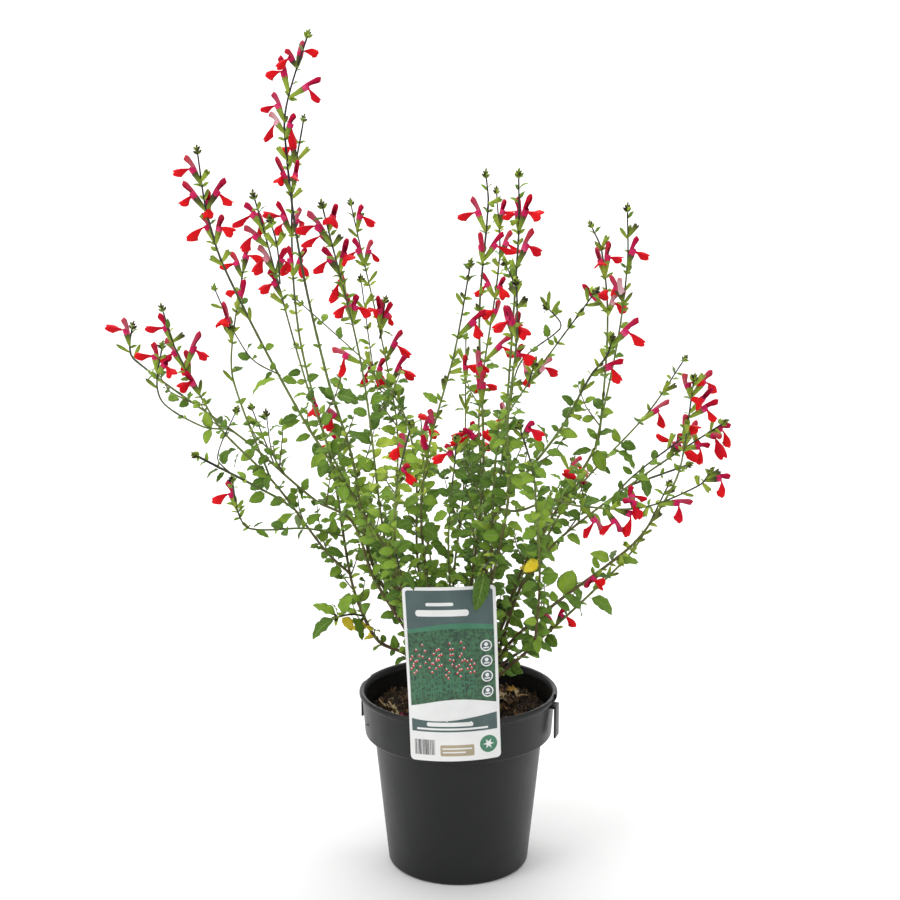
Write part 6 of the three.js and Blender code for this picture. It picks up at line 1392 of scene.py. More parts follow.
for n, given in enumerate(STEMS):
    for item in range(min(FIRST_CALYCES, len(given["calyces"]))):
        place_calyx(n, item)
for large in (True, False):
    for n, given in enumerate(STEMS):
        for item in range(len(given["leaves"])):
            place_leaf(n, item, large)
for n, given in enumerate(STEMS):
    for item in range(FIRST_CALYCES, len(given["calyces"])):
        place_calyx(n, item)

# Thin side twigs with their own small leaves fill the bush between the main stems.
TWIG_LOW, TWIG_HIGH = 205, 470
TWIG_SPACING = 24
TWIG_SHARE = 0.62
TWIG_LENGTHS = (22, 58)
TWIG_RADII = (0.85, 0.5)
TWIG_SPREAD, TWIG_LEAN, TWIG_LIFT = 0.75, 0.55, 0.25
TWIG_CURVE = 0.35
BARE_TIP = 14
INNER_REACH, OUTER_REACH = 110, 195
UP = Vector((0, 0, 1))
twigs = []


def between(pair, share):
    """The value at a share of the way from the first of a pair to the second."""
    return pair[0] + (pair[1] - pair[0]) * share


def within(share):
    return min(1, max(0, share))


def walked(stem, first, step):
    """Places, directions and radii along a stem's curve: one at first, then one after each step."""
    along, ahead_by = 0, first
    for i, (a, b) in enumerate(zip(stem.points, stem.points[1:])):
        length = (b - a).length
        while ahead_by < along + length:
            spot = stem.curve(i + (ahead_by - along) / length)
            ahead_by += step(spot[0])
            yield spot
        along += length


def leafy_top(n, stem):
    """The height where a stem's leaves end: a little under its first flower."""
    return min([nz for _, nz, *_ in STEMS[n]["flowers"]] + [stem.points[-1].z]) - BARE_TIP


def outlying(at):
    """0 in the middle of the bush and 1 out at its left and right, where the stems are nearly bare."""
    return within((abs(at.x) - INNER_REACH) / (OUTER_REACH - INNER_REACH))


for n, stem in enumerate(stems):
    draw = draws(7100 + n)
    top = min(TWIG_HIGH, leafy_top(n, stem) - TWIG_LENGTHS[0])
    for at, ahead, _ in walked(stem, 10 * next(draw), lambda _: TWIG_SPACING * (0.6 + 0.8 * next(draw))):
        chance, turn, share = next(draw), 2 * math.pi * next(draw), next(draw)
        if not TWIG_LOW < at.z < top or chance > TWIG_SHARE * (1 - 0.8 * outlying(at)):
            continue
        reach = between(TWIG_LENGTHS, share)
        away = Vector((math.cos(turn), math.sin(turn), 0))
        out = (away * TWIG_SPREAD + ahead * TWIG_LEAN + UP * TWIG_LIFT).normalized()
        middle = at + out * (reach * 0.5) + ahead * 1.5
        end = at + (out + UP * TWIG_CURVE).normalized() * reach
        beads = [(at.lerp(middle, s), 1) for s in (0.4, 0.6, 0.8, 1)]
        beads += [(middle.lerp(end, s), 1) for s in (0.25, 0.5, 0.75, 1)]
        if clash(beads, stem.name, at, 0.5) > 0.5:
            continue
        claim(beads, stem.name)
        twigs.append((stem, (at, middle, end), share))

# The small leaves stand in crossed pairs a little apart along every stem, with tufts of still smaller ones in
# their axils. They fill the bush between the large leaves, laid out by a seeded rule.
PAIR_LOW = 196
PAIR_SPACING = (9, 15)
UPPER_LEAVES = (430, 580)
SMALL_LEAF = (9, 18)
SMALL_SHARES = (0.58, 0.84)
TUFT_LEAF = (5, 9.5)
LOWEST_TIP = PAIR_LOW - 25
LIGHT_WAY = Vector((-0.15, -0.7, 0.7))
small_leaves = []


def facing_up(root, tip, spread):
    """The roll of a small leaf: its upper face turned to the light, which comes from above and the front."""
    along, across, up = leaf_axes(root, tip, 0)
    return spread + math.atan2(-LIGHT_WAY.dot(across), LIGHT_WAY.dot(up))


def small_leaf(stem, draw, at, ahead, away, length, rise, limit):
    """One small leaf off a stem, if there is room for it."""
    share = between(SMALL_SHARES, next(draw))
    spread = (next(draw) - 0.5) * 1.5
    droop = UP * ((next(draw) - 0.65) * 0.5)
    tip = at + (away + ahead * rise + droop).normalized() * length
    if tip.z < LOWEST_TIP:
        return
    ways = [turned(at, tip, a) for a in TURNS[:7]]
    tip = clearest(stem.name, at, ways, lambda q: leaf_beads(at, q, share, facing_up(at, q, spread)), limit)
    luck = next(draw)
    if tip:
        small_leaves.append((stem, at, tip, share, facing_up(at, tip, spread), luck))


def leafed(stem, draw, spots, first_turn, tufts):
    """Crossed pairs of small leaves and their tufts at (place, direction, size) spots."""
    for k, (at, ahead, size) in enumerate(spots):
        side = ahead.cross(Vector((math.cos(first_turn), math.sin(first_turn), 0.1))).normalized()
        if k % 2:
            side = ahead.cross(side).normalized()
        for away in (side, -side):
            small_leaf(stem, draw, at, ahead, away, size * between(SMALL_LEAF, next(draw)), 0.45, 1.2)
            for _ in range(int(tufts * 3 * next(draw))):
                turn = 2 * math.pi * next(draw)
                off = (away + Vector((math.cos(turn), math.sin(turn), 0.4)) * 0.7).normalized()
                length = between(TUFT_LEAF, next(draw))
                small_leaf(stem, draw, at + ahead * 1.5, ahead, off, length, 0.7, 1.5)


def highness(at):
    """0 down in the bush and 1 up among the flowers, where leaves are fewer and smaller."""
    return within((at.z - UPPER_LEAVES[0]) / (UPPER_LEAVES[1] - UPPER_LEAVES[0]))


def pair_step(draw, at):
    return between(PAIR_SPACING, next(draw)) * (1 + 1.3 * highness(at) + 2.2 * outlying(at))


for n, stem in enumerate(stems):
    draw = draws(9300 + n)
    top = leafy_top(n, stem)
    spots = []
    for at, ahead, _ in walked(stem, 4 + 8 * next(draw), lambda at: pair_step(draw, at)):
        if PAIR_LOW < at.z < top:
            spots.append((at + ahead * 0.1, ahead, 1.1 - 0.25 * highness(at)))
    leafed(stem, draw, spots, 2 * math.pi * next(draw), 1)
for n, (stem, (at, middle, end), share) in enumerate(twigs):
    draw = draws(12700 + n)
    spots = []
    for k in range(1, 2 + int((end - at).length / 9)):
        s = min(1, k * 9 / (end - at).length)
        spot = at.lerp(middle, s * 2) if s < 0.5 else middle.lerp(end, s * 2 - 1)
        spots.append((spot, (end - middle).normalized(), 1 - 0.35 * s))
    leafed(stem, draw, spots, 2 * math.pi * next(draw), 0.8)

# Stems are square with eased edges, as in the mint family, woody and brown at the foot, green and then purple
# towards the flowers. Each is a tube along its curve, with a slight knuckle where a pair of leaves stands.
STEM_STEP = 4.5
STEM_SIDES = 8
FLAT_REACH, CORNER_REACH = 0.9, 1.1
KNUCKLE = 0.16
KNUCKLE_SPACING = 26
KNUCKLE_NARROW = 12
BARK_DARK = [(0.12, (0.026, 0.02, 0.026)), (0.3, (0.05, 0.055, 0.03)), (0.5, (0.14, 0.2, 0.055)),
             (0.85, (0.1, 0.09, 0.035)), (1.0, (0.1, 0.06, 0.035))]
BARK_LIGHT = [(0.12, (0.045, 0.038, 0.042)), (0.3, (0.11, 0.14, 0.06)), (0.55, (0.24, 0.31, 0.09)),
              (0.8, (0.18, 0.17, 0.06)), (1.0, (0.17, 0.11, 0.065))]

bark = Finish("stem_bark", Specular_IOR_Level=0.15)
age = bark.maths("ADD", bark.attribute("age"), bark.maths("MULTIPLY", bark.noise(55, 3), 0.22))
streaks = bark.noise(240, 4, (1, 1, 0.2))
bark.colour(bark.mixed(streaks, bark.steps(age, BARK_DARK), bark.steps(age, BARK_LIGHT)))
bark.roughness(bark.noise(300, 3), 0.45, 0.75)
bark.bump(bark.noise(900, 4, (1, 1, 0.15)), 0.00025)


def tube_skin(spots, sides=STEM_SIDES):
    """The skin of a nearly square tube over (place, direction, radius) spots, with a point at each end."""
    points, faces, front = [], [], Vector((0, 1, 0))
    turns = [2 * math.pi * k / sides for k in range(sides)]
    for at, ahead, radius in spots:
        if abs(ahead.dot(front)) > 0.95:
            front = Vector((1, 0, 0))
        front = (front - ahead * front.dot(ahead)).normalized()
        across = ahead.cross(front)
        for k, turn in enumerate(turns):
            reach = radius * (CORNER_REACH if k % 2 else FLAT_REACH)
            points.append(at + front * (reach * math.cos(turn)) + across * (reach * math.sin(turn)))
    for row in range(len(spots) - 1):
        for k in range(sides):
            a, b = row * sides + k, row * sides + (k + 1) % sides
            faces.append((a, b, b + sides, a + sides))
    (foot, foot_way, foot_radius), (tip, tip_way, tip_radius) = spots[0], spots[-1]
    points += [foot - foot_way * foot_radius * 0.5, tip + tip_way * tip_radius * 0.5]
    last = (len(spots) - 1) * sides
    for k in range(sides):
        faces.append(((k + 1) % sides, k, len(points) - 2))
        faces.append((last + k, last + (k + 1) % sides, len(points) - 1))
    return points, faces


def stem_spots(stem):
    """Spots along a stem's curve a step apart, swollen at its knuckles."""
    spots, along = [], 0
    last = len(stem.points) - 1
    for i in range(last):
        length = (stem.points[i + 1] - stem.points[i]).length
        count = max(1, round(length / STEM_STEP))
        for k in range(count + (i == last - 1)):
            at, ahead, radius = stem.curve(min(last - 1e-6, i + k / count))
            turn = 2 * math.pi * (along + length * k / count) / KNUCKLE_SPACING
            swell = 1 + KNUCKLE * max(0, math.cos(turn)) ** KNUCKLE_NARROW
            spots.append((at, ahead, radius * swell))
        along += length
    return spots


# Leaves, bracts, hoods and lips are blades: thin closed forms between two faces that share one edge. Each is
# made once, along X from its root at the origin, and then set in its many places.
LEAF_SHARE = 0.62
STALK_HALF = 0.024
LEAF_ARCH, LEAF_CUP = 0.09, 0.2
TOOTH_POINT = 0.02


def blade(name, rows, thick):
    """A closed blade over rows of points, thickest along its middle. "under" is 1 on its lower face."""
    count, last = len(rows[0]), len(rows) - 1
    points = [p for row in rows for p in row]
    spots = [(r, c) for r in range(last + 1) for c in range(count)]
    inner = [(r, c) for r, c in spots if 0 < r < last and 0 < c < count - 1]
    inside = {spot: len(points) + n for n, spot in enumerate(inner)}
    under = [0.0 if spot in inside else 0.5 for spot in spots] + [1.0] * len(inner)
    pushes = []
    for r, c in inner:
        along = rows[r + 1][c] - rows[r - 1][c]
        across = rows[r][c + 1] - rows[r][c - 1]
        share = 4 * (c / (count - 1)) * (1 - c / (count - 1))
        pushes.append(along.cross(across).normalized() * (thick * share / 2))
    for (r, c), push in zip(inner, pushes):
        p = points[r * count + c]
        points.append(p - push)
        points[r * count + c] = p + push

    def lower(r, c):
        return inside.get((r, c), r * count + c)

    faces = []
    for r in range(last):
        for c in range(count - 1):
            faces.append((r * count + c, (r + 1) * count + c, (r + 1) * count + c + 1, r * count + c + 1))
            faces.append((lower(r, c), lower(r, c + 1), lower(r + 1, c + 1), lower(r + 1, c)))
    shape = bpy.data.meshes.new(name)
    shape.from_pydata(points, [], faces)
    shape.polygons.foreach_set("use_smooth", [True] * len(shape.polygons))
    shape.attributes.new("under", "FLOAT", "POINT").data.foreach_set("value", under)
    places = [(r / last, c / (count - 1)) for r, c in spots + inner]
    layer = shape.uv_layers.new(name="UVMap")
    for loop in shape.loops:
        layer.data[loop.index].uv = places[loop.vertex_index]
    cleaned = bmesh.new()
    cleaned.from_mesh(shape)
    bmesh.ops.remove_doubles(cleaned, verts=cleaned.verts, dist=1e-5)
    bmesh.ops.dissolve_degenerate(cleaned, edges=cleaned.edges, dist=1e-6)
    bmesh.ops.recalc_face_normals(cleaned, faces=cleaned.faces)
    cleaned.to_mesh(shape)
    cleaned.free()
    return bpy.data.objects.new(name, shape)


def ovate(s, teeth, depth):
    """Half the width of an ovate leaf at a share s of its blade, with rounded teeth."""
    plain = 0.5 * math.sin(math.pi * s ** 0.72) ** 0.64 if 0 < s < 1 else 0
    return plain * (1 - depth * (1 - abs(math.sin(math.pi * teeth * s))))


def leaf_rows(rows, across, teeth, depth, curl, wave, stalk=0.16):
    """A leaf of unit length with its stalk: arched, cupped along its rib, its edges waved."""
    made = []
    for r in range(rows + 1):
        u = r / rows
        s = max(0, (u - stalk) / (1 - stalk))
        half = max(STALK_HALF if r < rows else 0.0, ovate(s, teeth, depth)) * LEAF_SHARE
        row = []
        for c in range(across + 1):
            v = 2 * c / across - 1
            arch = LEAF_ARCH * (1 - (2 * u - 1) ** 2) - curl * max(0, u - 0.5) ** 2
            cup = abs(v) * half * LEAF_CUP
            ruffle = wave * v * v * math.sin(teeth * math.pi * u + (1.3 if v > 0 else 0)) * half
            point = TOOTH_POINT * (teeth and math.cos(2 * math.pi * teeth * s)) * v * v * (0 < s < 1)
            row.append(Vector((u + point, half * v * (1 - 0.1 * abs(v)), arch + cup + ruffle)))
        made.append(row)
    return made


LEAF_CURLS = [(0.1, 0.1), (0.3, 0.16), (-0.1, 0.13), (0.5, 0.08)]
LEAFLETS = [(3.5, 0.15, 0.1, 0.14), (3.5, 0.4, 0.13, 0.12), (3.5, -0.1, 0.16, 0.16), (0, 0.3, 0.08, 0.1)]
TUFT_CURLS = [0.1, 0.4, -0.1, 0.25]
SHAPES = {
    "leaf": group_of("leaf_shapes", [
        blade("leaf_%d" % i, leaf_rows(16, 6, 7, 0.2, curl, wave), 0.02)
        for i, (curl, wave) in enumerate(LEAF_CURLS)]),
    "leaflet": group_of("leaflet_shapes", [
        blade("leaflet_%d" % i, leaf_rows(8, 4, teeth, 0.14, curl, wave, stalk), 0.03)
        for i, (teeth, curl, wave, stalk) in enumerate(LEAFLETS)]),
    "tuft": group_of("tuft_shapes", [
        blade("tuft_leaf_%d" % i, leaf_rows(5, 2, 0, 0, curl, 0, 0.1), 0.05)
        for i, curl in enumerate(TUFT_CURLS)]),
}

# A leaf is fresh green, darker or paler by its own tint, greyer below, with a pale midrib and side veins. A
# yellowed one is golden all over.
UPPER_GREEN = [(0.1, (0.028, 0.07, 0.006)), (0.35, (0.085, 0.185, 0.014)), (0.65, (0.18, 0.33, 0.026)),
               (0.95, (0.32, 0.49, 0.04)), (1.3, (0.46, 0.6, 0.055))]
LOWER_GREEN = [(0.2, (0.13, 0.22, 0.075)), (0.9, (0.3, 0.42, 0.16))]
VEIN_GREEN = (0.32, 0.42, 0.14)
YELLOW = [(0.35, (0.76, 0.56, 0.02)), (0.7, (0.85, 0.74, 0.07))]
VEIN_SLANT, VEIN_SPACING, VEIN_HALF, RIB_HALF = 0.45, 0.065, 0.014, 0.06

foliage = Finish("leaf_green", Specular_IOR_Level=0.22, Subsurface_Weight=0.08,
                 Subsurface_Radius=(0.002, 0.003, 0.0008))
leaf_map = foliage.node("SeparateXYZ", {0: foliage.node("TexCoord").outputs["UV"]})
off_rib = foliage.maths("ABSOLUTE", foliage.maths("SUBTRACT", leaf_map.outputs[1], 0.5))
slanted = foliage.maths("SUBTRACT", leaf_map.outputs[0], foliage.maths("MULTIPLY", off_rib, VEIN_SLANT))
off_vein = foliage.maths("PINGPONG", slanted, VEIN_SPACING)
rib = foliage.node("MapRange", {"Value": off_rib, "From Max": RIB_HALF, "To Min": 1.0, "To Max": 0.0})
side_vein = foliage.node("MapRange", {
    "Value": off_vein, "From Max": VEIN_HALF, "To Min": 0.75, "To Max": 0.0})
vein = foliage.maths("MAXIMUM", rib.outputs[0], side_vein.outputs[0])
shade = foliage.maths("ADD", foliage.attribute("tint"), foliage.maths("MULTIPLY", foliage.noise(120, 3), 0.3))
faced = foliage.mixed(foliage.attribute("under"), foliage.steps(shade, UPPER_GREEN),
                      foliage.steps(shade, LOWER_GREEN))
veined = foliage.mixed(foliage.maths("MULTIPLY", vein, 0.45), faced, VEIN_GREEN)
foliage.colour(foliage.mixed(foliage.attribute("gold"), veined, foliage.steps(foliage.noise(150, 3), YELLOW)))
foliage.roughness(foliage.noise(200, 2), 0.5, 0.7)
foliage.bump(foliage.maths("SUBTRACT", 1.0, vein), 0.0004, 0.8)
foliage.bump(foliage.noise(700, 3), 0.0002, 0.6)

# One tree sets the many copies of a blade, each at a spot with its own turn, size, shape and tints.
setting, given, result = tree_of("set_on_stem", {
    "Spots": "Object", "Shapes": "Collection", "Material": "Material", "Size": "Float"})
turn, stretch, number = (
    geometry_node(setting, "GeometryNodeInputNamedAttribute", {"Name": name}, data_type=kind).outputs[0]
    for name, kind in (("turn", "FLOAT_VECTOR"), ("stretch", "FLOAT_VECTOR"), ("shape", "INT")))
spots = geometry_node(setting, "GeometryNodeObjectInfo", {"Object": given.outputs["Spots"]})
euler = geometry_node(setting, "FunctionNodeEulerToRotation", {0: turn})
scaled = geometry_node(setting, "ShaderNodeVectorMath", {0: stretch, "Scale": given.outputs["Size"]},
                       operation="SCALE")
copies = geometry_node(setting, "GeometryNodeInstanceOnPoints", {
    "Points": spots.outputs["Geometry"], "Instance": shapes_in(setting, given), "Pick Instance": True,
    "Instance Index": number, "Rotation": euler.outputs[0], "Scale": scaled.outputs[0]})
joined = geometry_node(setting, "GeometryNodeJoinGeometry", {0: given.outputs["Geometry"]})
setting.links.new(made_real(setting, copies, given), joined.inputs[0])
setting.links.new(joined.outputs[0], result.inputs[0])


class Spots:
    """The places of many copies, in millimetres, kept as points with attributes."""

    def __init__(self):
        self.rows = []

    def add(self, at, x_axis, z_axis, stretch, shape=0, tint=0.5, gold=0.0):
        """One copy with its own X and Z directions, stretched along its own axes."""
        y_axis = z_axis.cross(x_axis)
        turn = Matrix((x_axis, y_axis, z_axis)).transposed().to_euler()
        self.rows.append((at, turn, stretch, shape, tint, gold))

    def add_leaf(self, root, tip, roll, share, *looks):
        """One leaf from root to tip, its width a share of its length."""
        along, _, up = leaf_axes(root, tip, roll)
        length = (tip - root).length
        self.add(root, along, up, (length, length * share / LEAF_SHARE, length), *looks)

    def object(self):
        mesh = bpy.data.meshes.new("spots")
        mesh.from_pydata([at * MM for at, *_ in self.rows], [], [])
        for column, (name, kind, key) in enumerate((
                ("turn", "FLOAT_VECTOR", "vector"), ("stretch", "FLOAT_VECTOR", "vector"),
                ("shape", "INT", "value"), ("tint", "FLOAT", "value"), ("gold", "FLOAT", "value")), 1):
            values = [row[column] for row in self.rows]
            if key == "vector":
                values = [number for value in values for number in value]
            mesh.attributes.new(name, kind, "POINT").data.foreach_set(key, values)
        return bpy.data.objects.new("spots", mesh)


def set_on(made, spots, shapes, material):
    """Sets copies of the shapes on a piece, at the spots."""
    if not spots.rows:
        return
    guide = spots.object()
    grown(made, setting, Spots=guide, Shapes=shapes, Material=material, Size=MM)
    plain_mesh(made)
    bpy.data.objects.remove(guide)
    for name in ("turn", "stretch", "shape"):
        made.data.attributes.remove(made.data.attributes[name])


# Two leaves have turned yellow, and parts of the bush are lighter or darker: each as seen, with its reach
# and, for a part, its tint. What is set on a stem is kept by its kind and by the stem's tree.
YELLOW_SPOTS = [(62, 304, 5.5), (-97, 238, 10)]
TONES = [(-58, 410, 40, 0.95), (-5, 390, 20, 0.02), (20, 408, 20, 0.05), (25, 266, 18, -0.25),
         (50, 300, 26, 0.15), (-125, 262, 32, 0.7), (-95, 455, 24, 0.2), (130, 250, 45, 0.2),
         (60, 360, 26, 0.75), (-110, 350, 30, 0.65), (-20, 250, 30, 0.15)]
TONE_SHARE = 0.65
LARGE_SHAPE = LARGE_LEAF * 0.8
spots_of = collections.defaultdict(Spots)


def shown(p):
    """Where a point shows, as x and z on the plane through the pot's axis."""
    t = (p.y - VIEW_POINT.y) / -VIEW_POINT.y
    return VIEW_POINT.x + (p.x - VIEW_POINT.x) / t, VIEW_POINT.z + (p.z - VIEW_POINT.z) / t


def yellowed(tip):
    """1 for a leaf that has turned yellow, from where its tip shows."""
    x, z = shown(tip)
    return float(any(math.hypot(x - a, z - b) < reach for a, b, reach in YELLOW_SPOTS))


def toned(tip, tint):
    """A leaf's tint, drawn towards that of the part of the bush where it shows."""
    x, z = shown(tip)
    for a, b, reach, tone in TONES:
        if math.hypot(x - a, z - b) < reach:
            return tint + (tone - tint) * TONE_SHARE
    return tint


for stem, root, tip, share, roll, luck in leaves:
    kind = "leaf" if (tip - root).length >= LARGE_SHAPE else "leaflet"
    spots_of[kind, stem.tree].add_leaf(root, tip, roll, share, int(luck * 4), toned(tip, 0.12 + 0.6 * luck),
                                       yellowed(tip))
for stem, root, tip, share, roll, luck in small_leaves:
    length = (tip - root).length
    kind = "leaflet" if length > SMALL_LEAF[0] else "tuft"
    tender = 0.25 if length < SMALL_LEAF[0] else 0
    spots_of[kind, stem.tree].add_leaf(root, tip, roll, share, int(luck * 4),
                                       toned(tip, 0.12 + 0.65 * luck + tender), yellowed(tip))

# A flower is a green funnel calyx, a pink tube with a narrow crimson hood over it, and a broad scarlet lip
# of rounded lobes. Hood and calyx follow the flower's axis, and the lip hangs out of the tube's mouth.
# Profiles are pairs of a radius and a height, the height a share of the whole length.
CALYX_LENGTH = 0.48
CALYX_PROFILE = [(0, 0), (0.8, 0.01), (1.6, 0.16), (2.2, 0.4), (2.6, 0.68), (3.1, 0.96), (2.75, 0.93),
                 (1.8, 0.6), (0, 0.45)]
SHUT_PROFILE = [(0, 0), (0.7, 0.01), (1.5, 0.25), (2.0, 0.55), (1.9, 0.8), (1.0, 0.96), (0, 1.04)]
BUD_PROFILE = [(0, 0), (0.2, 0.03), (0.33, 0.3), (0.32, 0.6), (0.15, 0.88), (0, 1)]
TUBE_PROFILE = [(0, 0.25), (1.9, 0.26), (2.5, 0.42), (3.2, 0.52), (3.2, 0.6), (2.9, 0.67), (2.4, 0.67),
                (1.8, 0.55), (0, 0.5)]
CALYX_TEETH = 0.12
MOUTH_RADIUS, MOUTH_HEIGHT = 2, 0.9


def ringed(name, profile, sides, teeth=0.0):
    """A closed skin of rings about Z, toothed round its mouth. "under" is 0 at its foot and 1 at its tip."""
    points, faces = turned_skin(profile, sides)
    for n, (x, y, z) in enumerate(points):
        if math.hypot(x, y) > MOUTH_RADIUS and z > MOUTH_HEIGHT:
            points[n] = (x, y, z + teeth * (-0.4 if n % 2 else 1))
    mesh = bpy.data.meshes.new(name)
    mesh.from_pydata(points, [], [(f[0], *reversed(f[1:])) for f in faces])
    mesh.polygons.foreach_set("use_smooth", [True] * len(mesh.polygons))
    heights = [p[2] for p in points]
    mesh.attributes.new("under", "FLOAT", "POINT").data.foreach_set("value", heights)
    layer = mesh.uv_layers.new(name="UVMap")
    for loop in mesh.loops:
        x, y, z = points[loop.vertex_index]
        layer.data[loop.index].uv = (z, 0.5 + math.atan2(y, x) / (2 * math.pi))
    return bpy.data.objects.new(name, mesh)


# The hood is a rounded finger, open below, that stands up from the back of the tube's mouth and nods.
HOOD_HALVES = [2.8, 2.5, 2.2, 2.1, 2.3, 2.5, 2.5, 2.0, 0.5]
HOOD_COLUMNS = 9
HOOD_WRAP = 140
HOOD_NOD, HOOD_HOLLOW = 2.6, 1.7
HOOD_FOOT, HOOD_LENGTH = 0.5, 0.52


def hood_rows():
    made = []
    for r, half in enumerate(HOOD_HALVES):
        t = r / (len(HOOD_HALVES) - 1)
        back = HOOD_NOD * t ** 3 - HOOD_HOLLOW * math.sin(0.9 * math.pi * t)
        turns = [math.radians(HOOD_WRAP * (2 * c / (HOOD_COLUMNS - 1) - 1)) for c in range(HOOD_COLUMNS)]
        height = HOOD_FOOT + HOOD_LENGTH * t
        made.append([Vector((back - half * math.cos(a), half * math.sin(a), height)) for a in turns])
    return made


# The lip is a narrow claw out of the tube's mouth, then a round blade of lobes, its sides folded down.
LIP_HALVES = [1.5, 1.1, 1.0, 1.4, 2.8, 3.6, 6.0, 7.3, 7.4, 6.8]
LIP_END = [0.64, 0.84, 0.95, 1.0, 0.96, 0.83, 0.96, 1.0, 0.95, 0.84, 0.64]
LIP_CARRIAGES = [(0.6, 2.6), (1.6, 5.0), (-0.4, 3.4), (2.6, 4.2)]
LIP_FOLD = 0.4
LIP_RUFFLE = 0.9
LIP_BEYOND = 4
LIP_LONG = 0.86


def lip_rows(rise, droop, seed):
    made = []
    for r, half in enumerate(LIP_HALVES):
        u = r / (len(LIP_HALVES) - 1)
        row = []
        for c, end in enumerate(LIP_END):
            v = 2 * c / (len(LIP_END) - 1) - 1
            px, py = u * (1 - (1 - end) * u * u), half * math.sin(v * math.pi / 2)
            fold = LIP_FOLD * abs(py) * min(1, u * 2)
            ruffle = LIP_RUFFLE * u * u * v * v * math.sin(seed + 9.3 * px + py * 0.7)
            row.append(Vector((px, py, rise * math.sin(math.pi * u) - droop * u * u - fold + ruffle)))
        made.append(row)
    return made


SHAPES["calyx"] = group_of("calyx_shapes", [
    ringed("calyx", CALYX_PROFILE, 10, CALYX_TEETH), ringed("calyx_shut", SHUT_PROFILE, 8)])
SHAPES["bud"] = group_of("bud_shapes", [ringed("bud", BUD_PROFILE, 6)])
SHAPES["tube"] = group_of("tube_shapes", [ringed("tube", TUBE_PROFILE, 10)])
SHAPES["hood"] = group_of("hood_shapes", [blade("hood", hood_rows(), 0.3)])
SHAPES["lip"] = group_of("lip_shapes", [
    blade("lip_%d" % i, lip_rows(rise, droop, 2.1 * i), 0.6)
    for i, (rise, droop) in enumerate(LIP_CARRIAGES)])

# A calyx is ribbed, green at its foot and purple at its teeth. Petals go from pink in the tube through
# crimson to scarlet at the lip's edge. Some hoods are partly white, and others get a faint painted highlight
# of the same pale pink towards their foot.
CALYX_COLOURS = [(0.1, (0.03, 0.012, 0.018)), (0.28, (0.1, 0.12, 0.025)), (0.48, (0.26, 0.4, 0.04)),
                 (0.85, (0.44, 0.6, 0.07))]
RIB_BROWN = (0.09, 0.06, 0.03)
RIBS = 13
PETAL_COLOURS = [(0.0, (0.84, 0.2, 0.34)), (0.18, (0.66, 0.025, 0.13)), (0.4, (0.44, 0.006, 0.055)),
                 (0.6, (0.5, 0.004, 0.022)), (0.95, (0.76, 0.01, 0.014))]
PETAL_WHITE_AND_HIGHLIGHT = (0.88, 0.72, 0.74)

sepal = Finish("calyx_green", Specular_IOR_Level=0.15)
round_calyx = sepal.node("Mapping", {"Vector": sepal.node("TexCoord").outputs["UV"], "Scale": (0, RIBS, 0)})
ribs = sepal.node("TexWave", {"Vector": round_calyx.outputs[0], "Scale": 1.0, "Distortion": 0.6},
                  bands_direction="Y").outputs["Fac"]
freshness = sepal.maths("SUBTRACT", sepal.maths("ADD", sepal.attribute("tint"), 0.22),
                        sepal.maths("MULTIPLY", sepal.attribute("under"), 0.42))
ribbing = sepal.maths("MULTIPLY", ribs, 0.35)
sepal.colour(sepal.mixed(ribbing, sepal.steps(freshness, CALYX_COLOURS), RIB_BROWN))
sepal.roughness(sepal.noise(300, 3), 0.5, 0.7)
sepal.bump(ribs, 0.0002, 0.7)
sepal.bump(sepal.noise(1500, 2), 0.0001, 0.6)

petal = Finish("petal_red", Specular_IOR_Level=0.06, Subsurface_Weight=0.06,
               Subsurface_Radius=(0.003, 0.001, 0.001))
outward = petal.node("SeparateXYZ", {0: petal.node("TexCoord").outputs["UV"]}).outputs[0]
toward_edge = petal.maths("MULTIPLY", petal.maths("SUBTRACT", outward, 0.5), 0.35)
mottle = petal.maths("MULTIPLY", petal.maths("SUBTRACT", petal.noise(220, 4), 0.5), 0.2)
depth = petal.maths("ADD", petal.maths("ADD", petal.attribute("tint"), toward_edge), mottle)
fading = petal.node("MapRange", {"Value": outward, "From Min": 0.35, "From Max": 0.95, "To Min": 1.0,
                                 "To Max": 0.15})
# Pale pink mixed in towards the hood's foot: real white on bicoloured flowers, and a painted highlight on some
# others.
white_and_painted_highlight = petal.maths("MULTIPLY", petal.attribute("gold"), fading.outputs[0])
petal.colour(petal.mixed(white_and_painted_highlight, petal.steps(depth, PETAL_COLOURS), PETAL_WHITE_AND_HIGHLIGHT))
petal.roughness(petal.noise(300, 3), 0.4, 0.6)
petal.bump(petal.noise(1100, 3, (1, 1, 0.3)), 0.0002, 0.6)

# Flowers that are partly white, by where their hoods show, with how white they are.
PALE_FLOWERS = [(-172, 750, 0.8), (-165, 738, 0.8), (-187, 615, 0.5), (-86, 560, 0.6), (42, 475, 0.9),
                (91, 520, 0.6), (272, 404, 0.8), (151, 583, 0.8)]
PALE_REACH = 8


def paleness(hood):
    x, z = shown(hood)
    return max((share for a, b, share in PALE_FLOWERS if math.hypot(x - a, z - b) < PALE_REACH), default=0)


def aside(axis, guide):
    """The part of a direction that is square to an axis."""
    flat = guide - axis * guide.dot(axis)
    return flat.normalized() if flat.length > 1e-6 else axis.orthogonal().normalized()


